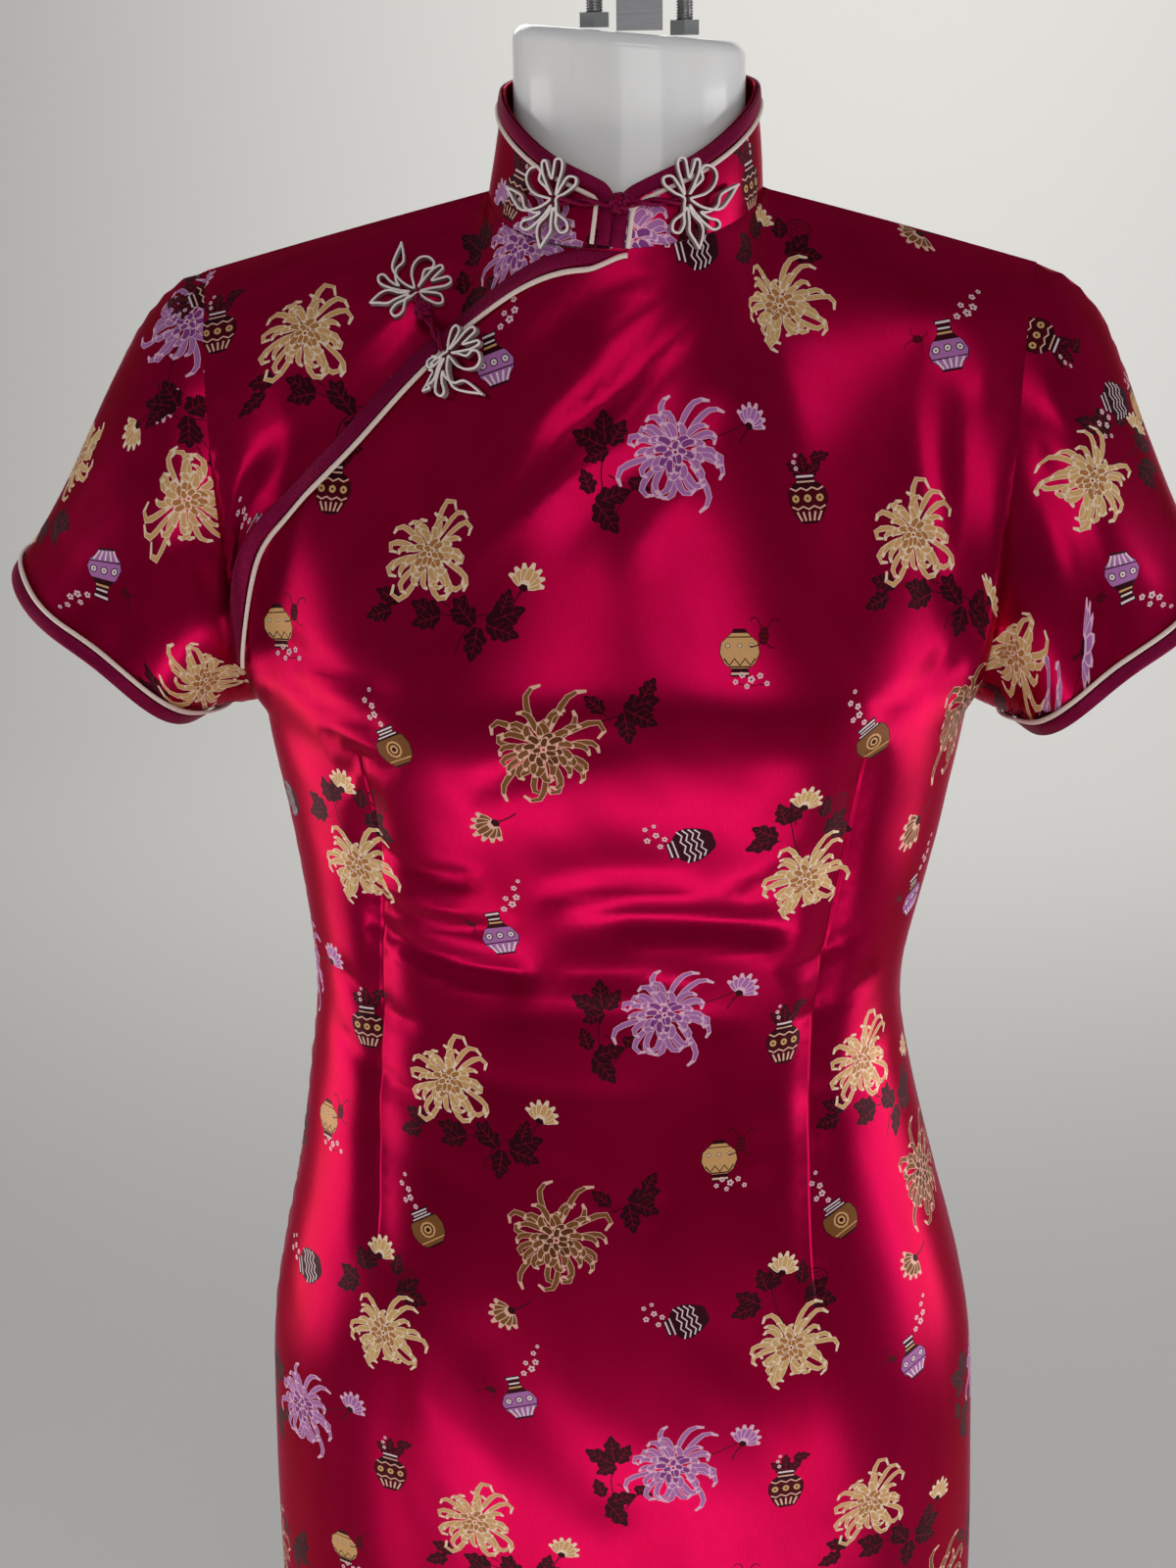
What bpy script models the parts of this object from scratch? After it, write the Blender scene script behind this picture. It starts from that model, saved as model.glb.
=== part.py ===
"""Cheongsam on a limbless dress form, in metres, +Z up.

The origin is on the floor under the middle of the stand's base. The dress faces -Y, and +X is the
wearer's left. The cloth skin is worked out as surfaces of two parameters: the body front and back,
the sleeves and the collar. Each sewn piece is a thin wall on its part of that skin, and what lies on
a panel (bindings, piping, frogs) is made from the panel's points, moved out.
"""
import math

import bmesh
import bpy
import numpy as np
from mathutils import Vector

# ---- driving dimensions -------------------------------------------------------------------------
CLOTH = 0.0015          # thickness of the lined satin wall
GAP = 0.0003            # clearance between pieces that touch
HEM_HEIGHT = 0.470
CHEST_HEIGHT = 1.165    # level of the underarm, where the armholes start
SQUARENESS = 2.3        # exponent of the body's rounded sections

BODY_SECTIONS = (       # height, half width, front depth, back depth
    (0.470, 0.186, 0.098, 0.104),
    (0.560, 0.193, 0.104, 0.115),
    (0.645, 0.1966, 0.109, 0.125),
    (0.750, 0.1945, 0.113, 0.131),
    (0.826, 0.189, 0.113, 0.127),
    (0.874, 0.179, 0.110, 0.117),
    (0.922, 0.167, 0.105, 0.103),
    (0.968, 0.158, 0.099, 0.090),
    (1.013, 0.1524, 0.096, 0.083),
    (1.057, 0.157, 0.098, 0.083),
    (1.100, 0.164, 0.104, 0.087),
    (1.165, 0.174, 0.113, 0.095),
    (1.220, 0.180, 0.118, 0.099),
)
LEAN = (                # height, how far the stance carries the body towards +X there
    (0.470, -0.0010), (0.826, -0.0012), (0.922, -0.0034), (1.013, -0.0054), (1.060, -0.0030),
    (1.100, -0.0010), (1.165, 0.0002), (1.280, 0.0016), (1.374, 0.0034), (1.410, 0.0078),
    (1.480, 0.0098),
)
BUST_REACH = 0.011      # how far the bust stands out of the body's section
BUST_SIDE = 0.080
BUST_HEIGHT = 1.178
BUST_SPREAD = (0.052, 0.052)

NECK_SHARE = 0.36       # share of the half panel whose columns end at the neckline
NECK_HALF = 0.0635
NECK_SIDE_HEIGHT = 1.409
NECK_FRONT = (0.068, 1.388)     # depth and height of the neckline at the centre front
NECK_BACK = (0.056, 1.417)      # the same at the centre back
SHOULDER_TIP = (0.195, 1.374)   # half width and height where the sleeve cap starts
SHOULDER_LIFT = 0.0005

COLUMN_RISE = 0.080     # how far a column keeps the body's slope above the chest
ARMHOLE_START = (0.008, 0.085, 0.022)   # out, forward and up, from the underarm
COLUMN_ARRIVAL = {      # side: rows of share across, out, forward, down before the top edge
    -1: ((0.00, 0.000, 0.014, 0.070), (0.36, 0.002, 0.046, 0.040),
         (0.70, -0.002, 0.066, 0.034), (1.00, -0.012, 0.078, 0.040)),
    1: ((0.00, 0.000, 0.012, 0.055), (0.36, 0.002, 0.046, 0.034),
        (0.70, -0.002, 0.066, 0.034), (1.00, -0.012, 0.078, 0.040)),
}

SOFT_FOLDS = (          # side, start x, start z, end x, end z, half width, depth
    (-1, 0.117, 1.160, 0.098, 1.015, 0.012, 0.0030),
    (-1, 0.098, 1.015, 0.100, 0.890, 0.012, 0.0026),
    (-1, -0.117, 1.150, -0.112, 1.015, 0.012, 0.0026),
    (-1, -0.112, 1.015, -0.118, 0.890, 0.012, 0.0026),
    (-1, -0.020, 1.079, 0.083, 1.080, 0.016, 0.0022),
    (-1, -0.116, 1.066, -0.038, 1.051, 0.014, 0.0020),
    (-1, -0.010, 1.350, -0.083, 1.270, 0.016, 0.0024),
    (-1, -0.168, 1.175, -0.120, 1.150, 0.013, 0.0030),
    (1, 0.085, 1.120, 0.080, 0.900, 0.011, 0.0030),
    (1, -0.085, 1.120, -0.080, 0.900, 0.011, 0.0030),
    (1, -0.090, 1.034, 0.070, 1.040, 0.013, 0.0024),
    (1, -0.130, 1.190, -0.060, 1.290, 0.015, 0.0024),
    (1, 0.135, 1.185, 0.065, 1.300, 0.015, 0.0024),
)

DEEPEST_FOLD = 0.0034

FLAP_EDGE = (           # share across towards the wearer's right, height of the flap's edge
    (0.00, 1.3890), (0.08, 1.3850), (0.17, 1.3750), (0.28, 1.3600), (0.40, 1.3425), (0.48, 1.3240),
    (0.56, 1.3045), (0.66, 1.2860), (0.76, 1.2690), (0.86, 1.2490), (0.93, 1.2270), (0.97, 1.2060),
    (1.00, 1.1820),
)
FLAP_OVERLAP = 0.026    # how far the underlap runs on under the flap
FLAP_OVERLAP_END = 0.003
UNDERLAP_GAP = 0.0010   # between the flap and the underlap
UNDERLAP_TUCK = 0.0024  # how much deeper it lies beside the armhole
UNDERLAP_END = -0.012   # where the underlap stops, just past the centre front
UNDERLAP_CLEAR = 0.008  # height above the flap's edge where it still lies that deep
UNDERLAP_BLEND = 0.030  # height over which the underlap comes up to the flap's level

SLIT_HEIGHT = 0.690     # top of the side slits
SLIT_SPREAD = 0.016     # how far each panel's edge draws back at the hem

SLEEVE_RINGS = 8
SLEEVE_GAP = 0.0010
SLEEVE_HEM_CENTRE = {-1: (0.2475, 1.1965), 1: (0.243, 1.1915)}   # out and height of its middle
SLEEVE_HEM_HALF = (0.0605, 0.070)       # half size across the opening, and front to back
SLEEVE_HEM_LEAN = math.radians(42.0)    # slope of the opening, measured from level
SLEEVE_WAVES = 3
SLEEVE_WAVE_REACH = 0.0035

COLLAR_TOP_HALF = 0.0580
COLLAR_TOP_FRONT = 0.0610
COLLAR_TOP_BACK = 0.0520
COLLAR_FULL_RISE = 0.045    # height above the neckline at which the collar has those sizes
COLLAR_RISE = (         # share round from the centre front to the centre back, height of the band
    (0.00, 0.024), (0.035, 0.0275), (0.15, 0.0345), (0.32, 0.0425), (0.50, 0.0455), (1.00, 0.0440),
)
COLLAR_END = 0.012      # share of the round where each band end stops short of the centre front

BINDING_WIDTH = 0.0072
COLLAR_BINDING_WIDTH = 0.0060
BINDING_THICK = 0.0010
FLAP_TRIM_END = -0.975  # across, where the flap's trims tuck under the sleeve
TRIM_LIFT = 0.0006      # how far the trims lie above the cloth, which bends under them
SLEEVE_TRIM_LIFT = 0.0009
ARMHOLE_LIFT = 0.0010   # how much more by the armhole, where the cloth turns in
TRIM_GAP = 0.0007       # between a binding and its piping
SLEEVE_BINDING_WIDTH = 0.0065
PIPING_WIDTH = 0.0024
PIPING_THICK = 0.0018

FROG_THICK = 0.0013     # cord flowers: ribbon thickness, then its height above the cloth
FROG_HEIGHT = 0.0030
FROG_PETALS = (         # direction in degrees from the cord, length, half width of each loop
    (42, 0.0140, 0.0030), (88, 0.0155, 0.0030), (134, 0.0150, 0.0030), (180, 0.0215, 0.0034),
    (226, 0.0150, 0.0030), (272, 0.0175, 0.0028), (318, 0.0135, 0.0028),
)
FROG_HEART = 0.0046
FROG_CORD_STOP = 0.0055     # how far from the heart's middle the closing cord ends
FROG_CORD_LIFT = 0.0009     # how far above the flower's foot it starts
KNOT_RADIUS = 0.0048
KNOT_FLATNESS = 0.72
COLLAR_FROG = (0.855, 0.50)        # round the collar and up it, of a flower's heart
CHEST_FROG_UPPER = (-0.464, 1.767)  # across and up the front, of the heart above the flap's edge
CHEST_FROG_KNOT = (-0.422, 1.719)
CHEST_FROG_LOWER = (-0.311, 1.663)
LOOP_RADIUS = 0.0016

FORM_CLEARANCE = 0.0042         # between the cloth's inside and the form, away from the seats
FORM_SEAT = 0.0004              # the same at the shoulders, where the dress hangs
FORM_BOTTOM = 0.735
NECK_TOP_HEIGHT = 1.4775
NECK_TOP_TILT = 0.095           # fall of the neck's cut top, per metre towards +X
NECK_TOP_HALF = (0.0530, 0.0500)
NECK_BEVEL = 0.007
STUMP_BULGE = 0.009             # how far the armhole caps stand out
FORM_FOOT = 0.012               # height of the rounded foot below the form's straight part

STUD_OUT = 0.0205
STUD_RADIUS = 0.0040
STUD_LENGTH = 0.042
NUT_ACROSS = 0.0130
NUT_HEIGHT = 0.0065
STRAP_WIDTH = 0.0210
STRAP_THICK = 0.0030
STRAP_HEIGHT = 0.060
STRAP_SLOT = (0.0130, 0.034)    # width and length of the slot
NECK_MIDDLE = (0.0145, 0.004)   # where the strap stands on the neck

POLE_RADIUS = 0.0125
BASE_RADIUS = 0.190
BASE_THICK = 0.008
SOCKET_RADIUS = 0.022
SOCKET_HEIGHT = 0.035
FLANGE_RADIUS = 0.050
FLANGE_THICK = 0.005

# ---- mesh density -------------------------------------------------------------------------------
NECK_COLUMNS = 5         # columns of each half panel that end at the neckline, then at the shoulder
SHOULDER_COLUMNS = 7
SKIRT_ROWS = 5           # rows below and above the waist's lower curve
BODICE_ROWS = 11
BODICE_LOW = 0.850
UPPER_ROWS = 10
FLAP_STATIONS = 44
PETAL_STATIONS = 6
FORM_SKIRT_ROWS = 2
TURN_STEPS = 24
UPWARD = np.array([0.0, 0.0, 1.0])


# ---- small tools --------------------------------------------------------------------------------
def spline(rows):
    """Natural cubic spline through a table whose first column rises; gives one function a column."""
    table = np.array(rows, float)
    xs = table[:, 0]
    step = np.diff(xs)
    size = len(xs)
    matrix = np.eye(size)
    for i in range(1, size - 1):
        matrix[i, i - 1:i + 2] = step[i - 1], 2 * (step[i - 1] + step[i]), step[i]

    def column(ys):
        right = np.zeros(size)
        right[1:-1] = 6 * (np.diff(ys[1:]) / step[1:] - np.diff(ys[:-1]) / step[:-1])
        bend = np.linalg.solve(matrix, right)

        def value(x):
            x = np.clip(x, xs[0], xs[-1])
            i = np.clip(np.searchsorted(xs, x) - 1, 0, size - 2)
            after = x - xs[i]
            before = xs[i + 1] - x
            width = step[i]
            curve = (bend[i] * before ** 3 + bend[i + 1] * after ** 3) / (6 * width)
            line = (ys[i] / width - bend[i] * width / 6) * before
            return curve + line + (ys[i + 1] / width - bend[i + 1] * width / 6) * after
        return value
    return [column(table[:, k]) for k in range(1, table.shape[1])]


def smooth(t):
    t = np.clip(t, 0.0, 1.0)
    return t * t * (3 - 2 * t)


def unit(vectors):
    return vectors / np.maximum(np.linalg.norm(vectors, axis=-1, keepdims=True), 1e-12)


def mix(a, b, share):
    share = np.asarray(share)[..., None]
    return a * (1 - share) + b * share


def bezier(p0, p1, p2, p3, t):
    t = np.asarray(t)[..., None]
    return (1 - t) ** 3 * p0 + 3 * (1 - t) ** 2 * t * p1 + 3 * (1 - t) * t * t * p2 + t ** 3 * p3


HALF_WIDTH, FRONT_DEPTH, BACK_DEPTH = spline(BODY_SECTIONS)
LEAN_SHIFT = spline(LEAN)[0]
NECK_SHIFT = LEAN_SHIFT(NECK_TOP_HEIGHT)
ARRIVAL = {side: spline(rows) for side, rows in COLUMN_ARRIVAL.items()}
FLAP_HEIGHT = spline(FLAP_EDGE)[0]
COLLAR_HEIGHT = spline(COLLAR_RISE)[0]


# ---- the cloth skin -----------------------------------------------------------------------------
def leaned(points):
    """Points carried sideways by the stance, each by the shift at its height."""
    return points + LEAN_SHIFT(points[..., 2])[..., None] * np.array([1.0, 0.0, 0.0])


def body_section(side, u, z):
    """A point of the body's section at height z; u runs from -1 to 1 across one side."""
    across = np.sin(u * math.pi / 2)
    depth = FRONT_DEPTH(z) if side < 0 else BACK_DEPTH(z)
    reach = (1 - np.minimum(np.abs(across), 1.0) ** SQUARENESS) ** (1 / SQUARENESS)
    return np.stack([HALF_WIDTH(z) * across, side * depth * reach, z + 0 * u], -1)


def top_edge(side, u):
    """The neckline in the middle of a side, then the shoulder seam out to the shoulder's tip."""
    share = np.abs(u)
    turn = np.clip(share / NECK_SHARE, 0, 1) * math.pi / 2
    depth, middle_height = NECK_FRONT if side < 0 else NECK_BACK
    run = np.clip((share - NECK_SHARE) / (1 - NECK_SHARE), 0, 1)
    x = NECK_HALF * np.sin(turn) + (SHOULDER_TIP[0] - NECK_HALF) * run
    y = side * depth * np.cos(turn)
    z = middle_height + (NECK_SIDE_HEIGHT - middle_height) * (1 - np.cos(turn))
    z = z + (SHOULDER_TIP[1] - NECK_SIDE_HEIGHT) * run + SHOULDER_LIFT * np.sin(math.pi * run)
    return np.stack([np.sign(u) * x, y, z], -1)


def folds(side, points):
    """Depth of the soft troughs (darts and creases) at points of one side."""
    depth = np.zeros(points.shape[:-1])
    for fold_side, x0, z0, x1, z1, half_width, deep in SOFT_FOLDS:
        if fold_side != side:
            continue
        along = np.array([x1 - x0, z1 - z0])
        length = np.linalg.norm(along)
        rel = points[..., [0, 2]] - np.array([x0, z0])
        run = rel @ along / length ** 2
        off = (rel[..., 0] * along[1] - rel[..., 1] * along[0]) / length
        ends = smooth(run / 0.2 + 0.5) * smooth((1 - run) / 0.2 + 0.5)
        depth += deep * np.exp(-(off / half_width) ** 2) * ends
    return np.minimum(depth, DEEPEST_FOLD)


def body(side, u, v, creased=True):
    """Outer surface of the bodice and skirt: v 0 is the hem, 1 the underarm level, 2 the top."""
    u = np.asarray(u, float)
    v = np.asarray(v, float)
    low_height = HEM_HEIGHT + (CHEST_HEIGHT - HEM_HEIGHT) * np.clip(v, 0, 1)
    low = body_section(side, u, low_height)
    start = body_section(side, u, CHEST_HEIGHT + 0 * u)
    slope = unit(start - body_section(side, u, CHEST_HEIGHT - 0.004 + 0 * u))
    sign = np.sign(u)
    out, forward, up = ARMHOLE_START
    corner = np.stack([sign * out, side * forward + 0 * u, up + 0 * u], -1)
    first = start + mix(slope * COLUMN_RISE, corner, smooth((np.abs(u) - 0.62) / 0.38))
    end = top_edge(side, u)
    out, forward, down = [value(np.abs(u)) for value in ARRIVAL[side]]
    second = end + np.stack([sign * out, side * forward, -down], -1)
    high = bezier(start, first, second, end, np.clip(v - 1, 0, 1))
    points = np.where((v > 1)[..., None], high, low)
    if side < 0:
        off_x = (np.abs(points[..., 0]) - BUST_SIDE) / BUST_SPREAD[0]
        off_z = (points[..., 2] - BUST_HEIGHT) / BUST_SPREAD[1]
        bust = BUST_REACH * np.exp(-(off_x ** 2 + off_z ** 2) / 2)
        points[..., 1] -= bust * smooth((1 - np.abs(u)) / 0.35)
    points = leaned(points)
    if creased:
        points[..., 1] -= side * folds(side, points) * smooth((1 - np.abs(u)) / 0.12)
    return points


def armhole(hand, q):
    """The armhole seam: q 0 and 1 are the underarm, 0.25 the front, 0.5 the shoulder's tip."""
    q = np.asarray(q, float)
    front = body(-1, hand + 0 * q, 1 + np.clip(2 * q, 0, 1))
    back = body(1, hand + 0 * q, 1 + np.clip(2 - 2 * q, 0, 1))
    return np.where((q <= 0.5)[..., None], front, back)


def sleeve(hand, q, r):
    """Outer surface of a sleeve: q runs round it, r from the armhole to the hem."""
    q = np.asarray(q, float)
    r = np.asarray(r, float)
    turn = 2 * math.pi * q
    top = 0.5 - 0.5 * np.cos(turn)
    start = armhole(hand, q % 1.0)
    lean = SLEEVE_HEM_LEAN
    across = -np.cos(turn) * SLEEVE_HEM_HALF[0]
    centre_x, centre_z = SLEEVE_HEM_CENTRE[hand]
    wave = SLEEVE_WAVE_REACH * np.sin(SLEEVE_WAVES * turn + 0.6) * np.sin(turn) ** 2
    x = centre_x + across * math.cos(lean) + wave * math.sin(lean)
    z = centre_z + across * math.sin(lean) - wave * math.cos(lean)
    y = -np.sin(turn) * SLEEVE_HEM_HALF[1]
    end = leaned(np.stack([hand * x, y, z], -1))
    leave = np.stack([hand * (0.006 + 0.038 * top), -0.016 * np.sin(turn), -0.004 - 0.006 * top], -1)
    enter_length = 0.006 + 0.052 * top
    enter = np.stack([hand * math.sin(lean) * enter_length, 0 * q, -math.cos(lean) * enter_length], -1)
    return bezier(start, start + leave, end - enter, end, r)


def neck_ring(w):
    """The neckline: w -1 and 1 are the centre front, 0 the centre back."""
    w = np.asarray(w, float)
    hand = np.where(w < 0, -1.0, 1.0)
    share = np.abs(w)
    front = top_edge(-1, hand * NECK_SHARE * np.clip(2 - 2 * share, 0, 1))
    back = top_edge(1, hand * NECK_SHARE * np.clip(2 * share, 0, 1))
    return np.where((share > 0.5)[..., None], front, back)


def collar(w, k):
    """Outer surface of the stand collar: k 0 is the neckline, 1 the top edge."""
    w = np.asarray(w, float)
    k = np.asarray(k, float)
    base = neck_ring(w)
    turn = w * math.pi
    depth = np.where(np.cos(turn) > 0, COLLAR_TOP_BACK, COLLAR_TOP_FRONT)
    rise = COLLAR_HEIGHT(1 - np.abs(w))
    high = np.stack([COLLAR_TOP_HALF * np.sin(turn), depth * np.cos(turn), base[..., 2] + COLLAR_FULL_RISE], -1)
    return leaned(mix(base, high, rise / COLLAR_FULL_RISE * k))


def normal(surface, a, b, flip=1.0):
    """Unit outward normal of a surface by central differences."""
    step = 0.004
    along = surface(a + step, b) - surface(a - step, b)
    up = surface(a, b + step) - surface(a, b - step)
    return unit(np.cross(along, up)) * flip


def front_skin(u, v):
    return body(-1, u, v)


def back_skin(u, v):
    return body(1, u, v)


def inner(value, low, high, margin=0.006):
    """Keep a parameter off its ends, where a difference would cross an edge."""
    return np.clip(value, low + margin, high - margin)


def body_normal(side, u, v):
    """Outward normal, shared along the side seams, shoulder seams, neckline and armholes."""
    u = np.asarray(u, float)
    v = np.asarray(v, float)
    skin = front_skin if side < 0 else back_skin
    own = normal(skin, inner(u, -1, 1), np.where(v > 1.5, inner(v, 0, 2), v), -side)
    other_skin = back_skin if side < 0 else front_skin
    other = normal(other_skin, inner(u, -1, 1), np.where(v > 1.5, inner(v, 0, 2), v), side)
    share = np.abs(u)
    on_side = (share > 0.999) & (v <= 1.001)
    on_shoulder = (v > 1.999) & (share >= NECK_SHARE - 0.001)
    on_arm = (share > 0.999) & (v >= 0.999)
    on_neck = (v > 1.999) & (share <= NECK_SHARE + 0.001)
    total = own + np.where((on_side | on_shoulder)[..., None], other, 0)
    q = np.where(side < 0, (np.clip(v, 1, 2) - 1) / 2, 1 - (np.clip(v, 1, 2) - 1) / 2)
    for hand in (-1, 1):
        arm = unit(sleeve_start_normal(hand, q))
        total = total + np.where((on_arm & (u * hand > 0))[..., None], arm, 0)
    w_share = share / NECK_SHARE / 2
    w = np.where(u < 0, -1.0, 1.0) * (w_share if side > 0 else 1 - w_share)
    total = total + np.where(on_neck[..., None], collar_normal(inner(w, -1, 1), 0.02 + 0 * w), 0)
    return unit(total)


def sleeve_start_normal(hand, q):
    """Normal of a sleeve beside the armhole, the same from both ends of q at the underarm."""
    own = normal(lambda a, b: sleeve(hand, a, b), inner(q, 0, 1), 0.01 + 0 * q, -hand)
    other = normal(lambda a, b: sleeve(hand, a, b), inner(1 - q, 0, 1), 0.01 + 0 * q, -hand)
    return own + np.where((np.abs(q - 0.5) > 0.499)[..., None], other, 0)


def sleeve_normal(hand, q, r):
    """Outward normal of a sleeve, shared with the body along the armhole."""
    own = normal(lambda a, b: sleeve(hand, a, b), inner(q, 0, 1), np.clip(r, 0.005, 0.995), -hand)
    side = np.where(q <= 0.5, -1, 1)
    v = 1 + np.where(q <= 0.5, 2 * q, 2 - 2 * q)
    front = body_normal(-1, hand + 0 * q, np.where(side < 0, v, 1.5))
    back = body_normal(1, hand + 0 * q, np.where(side > 0, v, 1.5))
    seam = np.where((side < 0)[..., None], front, back)
    return np.where((r < 0.001)[..., None], seam, own)


def collar_normal(w, k):
    return normal(collar, inner(w, -1, 1), np.clip(k, 0.005, 0.995), -1.0)


def column_at(u, height):
    """The parameter v where each column of the front passes a height."""
    u = np.asarray(u, float)
    low = np.full(u.shape, 0.8)
    high = np.full(u.shape, 2.0)
    for _ in range(30):
        middle = (low + high) / 2
        below = body(-1, u, middle)[..., 2] < height
        low = np.where(below, middle, low)
        high = np.where(below, high, middle)
    return high


def flap_top(u):
    """The top of the front panel: the flap's edge on the wearer's right, else the panel's top."""
    u = np.asarray(u, float)
    return np.where(u < 0, column_at(u, FLAP_HEIGHT(np.abs(u))), 2.0)


# ---- meshes -------------------------------------------------------------------------------------
def collection(name):
    group = bpy.data.collections.new(name)
    bpy.context.scene.collection.children.link(group)
    return group


def material(name, color, roughness, metallic=0.0):
    made = bpy.data.materials.new(name)
    made.use_nodes = True
    shader = made.node_tree.nodes["Principled BSDF"]
    shader.inputs["Base Color"].default_value = (*color, 1.0)
    shader.inputs["Roughness"].default_value = roughness
    shader.inputs["Metallic"].default_value = metallic
    return made


def add_object(name, mesh, finish):
    made = bpy.data.objects.new(name, mesh)
    mesh.materials.append(finish)
    GARMENT.objects.link(made)
    return made


def from_faces(name, points, faces, finish, sharp=50.0):
    """A closed mesh from points and faces, welded, with its faces turned outwards."""
    mesh = bpy.data.meshes.new(name)
    mesh.from_pydata([tuple(map(float, p)) for p in points], [], faces)
    shape = bmesh.new()
    shape.from_mesh(mesh)
    bmesh.ops.remove_doubles(shape, verts=shape.verts, dist=1e-5)
    bmesh.ops.recalc_face_normals(shape, faces=shape.faces)
    shape.to_mesh(mesh)
    shape.free()
    mesh.shade_smooth()
    mesh.set_sharp_from_angle(angle=math.radians(sharp))
    return add_object(name, mesh, finish)


def draw_back(points, edges, gap=GAP * 0.7):
    """Draw the named edges of a grid back from the seam by half the sewing gap."""
    points = points.copy()
    steps = {"first_column": (0, 1), "last_column": (-1, -2)}
    for edge in edges:
        if edge in steps:
            at, next_to = steps[edge]
            points[at] += unit(points[next_to] - points[at]) * gap
        else:
            at, next_to = (0, 1) if edge == "first_row" else (-1, -2)
            points[:, at] += unit(points[:, next_to] - points[:, at]) * gap
    return points


def wall(name, outside, inside, finish, ring=False):
    """A closed wall between two grids; a ring joins the last column to the first."""
    columns, rows = outside.shape[:2]
    points = np.concatenate([outside.reshape(-1, 3), inside.reshape(-1, 3)])
    half = columns * rows

    def at(i, j, layer):
        return layer * half + (i % columns) * rows + j

    spans = columns if ring else columns - 1
    faces = []
    for i in range(spans):
        for j in range(rows - 1):
            faces.append((at(i, j, 0), at(i + 1, j, 0), at(i + 1, j + 1, 0), at(i, j + 1, 0)))
            faces.append((at(i, j, 1), at(i, j + 1, 1), at(i + 1, j + 1, 1), at(i + 1, j, 1)))
        for j in (0, rows - 1):
            faces.append((at(i, j, 0), at(i + 1, j, 0), at(i + 1, j, 1), at(i, j, 1)))
    if not ring:
        for j in range(rows - 1):
            for i in (0, columns - 1):
                faces.append((at(i, j, 0), at(i, j + 1, 0), at(i, j + 1, 1), at(i, j, 1)))
    return from_faces(name, points, faces, finish)


def columns_across():
    """The columns shared by the front, the back, the collar and the form."""
    half = np.concatenate([np.linspace(0, NECK_SHARE, NECK_COLUMNS + 1),
                           np.linspace(NECK_SHARE, 1, SHOULDER_COLUMNS + 1)[1:]])
    return np.concatenate([-half[:0:-1], half])


def lower_rows(low_height, skirt_rows):
    """The rows from a height up to just below the underarm, closer together in the bodice."""
    skirt = np.linspace(low_height, BODICE_LOW, skirt_rows + 1)[:-1]
    bodice = np.linspace(BODICE_LOW, CHEST_HEIGHT, BODICE_ROWS + 1)[:-1]
    return (np.concatenate([skirt, bodice]) - HEM_HEIGHT) / (CHEST_HEIGHT - HEM_HEIGHT)


def spread_slits(points, u, v, side):
    """Draw the panel's side edges back below the slit, more towards the hem."""
    height = points[..., 2]
    share = np.clip((SLIT_HEIGHT - height) / (SLIT_HEIGHT - HEM_HEIGHT), 0, 1) * (v < 1)
    shift = SLIT_SPREAD * share * smooth((np.abs(u) - 0.75) / 0.25)
    points = points.copy()
    points[..., 1] += side * shift
    return points


def front_panel(satin):
    u = columns_across()
    lower = lower_rows(HEM_HEIGHT, SKIRT_ROWS)
    upper = np.linspace(0, 1, UPPER_ROWS + 1)
    v = np.array([np.concatenate([lower, 1 + upper * (flap_top(np.array(a)) - 1)]) for a in u])
    u = np.repeat(u[:, None], v.shape[1], 1)
    outside = spread_slits(body(-1, u, v), u, v, -1)
    inside = outside - body_normal(-1, u, v) * CLOTH
    edges = ("first_column", "last_column", "last_row")
    return wall("front_panel", draw_back(outside, edges), draw_back(inside, edges), satin)


def underlap_inset(points, u):
    """How deep the underlap lies under the flap's level, from its height above the flap's edge."""
    above = points[..., 2] - FLAP_HEIGHT(np.abs(u))
    deep = CLOTH + UNDERLAP_GAP + UNDERLAP_TUCK * smooth((-u - 0.6) / 0.3)
    return deep * (1 - smooth((above - UNDERLAP_CLEAR) / UNDERLAP_BLEND))


def front_underlap(satin):
    u = columns_across()
    u = np.minimum(u[u <= 0], UNDERLAP_END)
    v = underlap_rows(u)
    u = np.repeat(u[:, None], v.shape[1], 1)
    skin = body(-1, u, v)
    away = body_normal(-1, u, v)
    outside = skin - away * underlap_inset(skin, u)[..., None]
    inside = outside - away * CLOTH
    edges = ("first_column", "last_row")
    return wall("front_underlap", draw_back(outside, edges), draw_back(inside, edges), satin)


def back_panel(satin):
    u = columns_across()
    v = np.concatenate([lower_rows(HEM_HEIGHT, SKIRT_ROWS), np.linspace(1, 2, UPPER_ROWS + 1)])
    u, v = np.meshgrid(u, v, indexing="ij")
    outside = spread_slits(body(1, u, v), u, v, 1)
    inside = outside - body_normal(1, u, v) * CLOTH
    edges = ("first_column", "last_column", "last_row")
    return wall("back_panel", draw_back(outside, edges), draw_back(inside, edges), satin)


def underlap_rows(u):
    """The underlap's rows in each column, from its hidden edge to the panel's top."""
    overlap = FLAP_OVERLAP_END + (FLAP_OVERLAP - FLAP_OVERLAP_END) * smooth((1 + u) / 0.3)
    bottom = column_at(u, FLAP_HEIGHT(np.abs(u)) - overlap)
    return bottom[:, None] + (2 - bottom)[:, None] * np.linspace(0, 1, UPPER_ROWS + 1)[None, :]


def sleeve_spokes(hand):
    """Places round a sleeve that meet the rows of the panels at its armhole."""
    back = np.linspace(2, 1, UPPER_ROWS + 1)[1:-1]
    front = np.linspace(1, 2, UPPER_ROWS + 1)
    if hand < 0:
        edge = np.array([-1.0])
        rows = underlap_rows(edge)[0]
        flap = flap_top(edge)[0]
        front = np.concatenate([[1.0, flap], rows[rows > flap + 0.04]])
    return np.concatenate([(front - 1) / 2, 1 - (back - 1) / 2])


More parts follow.
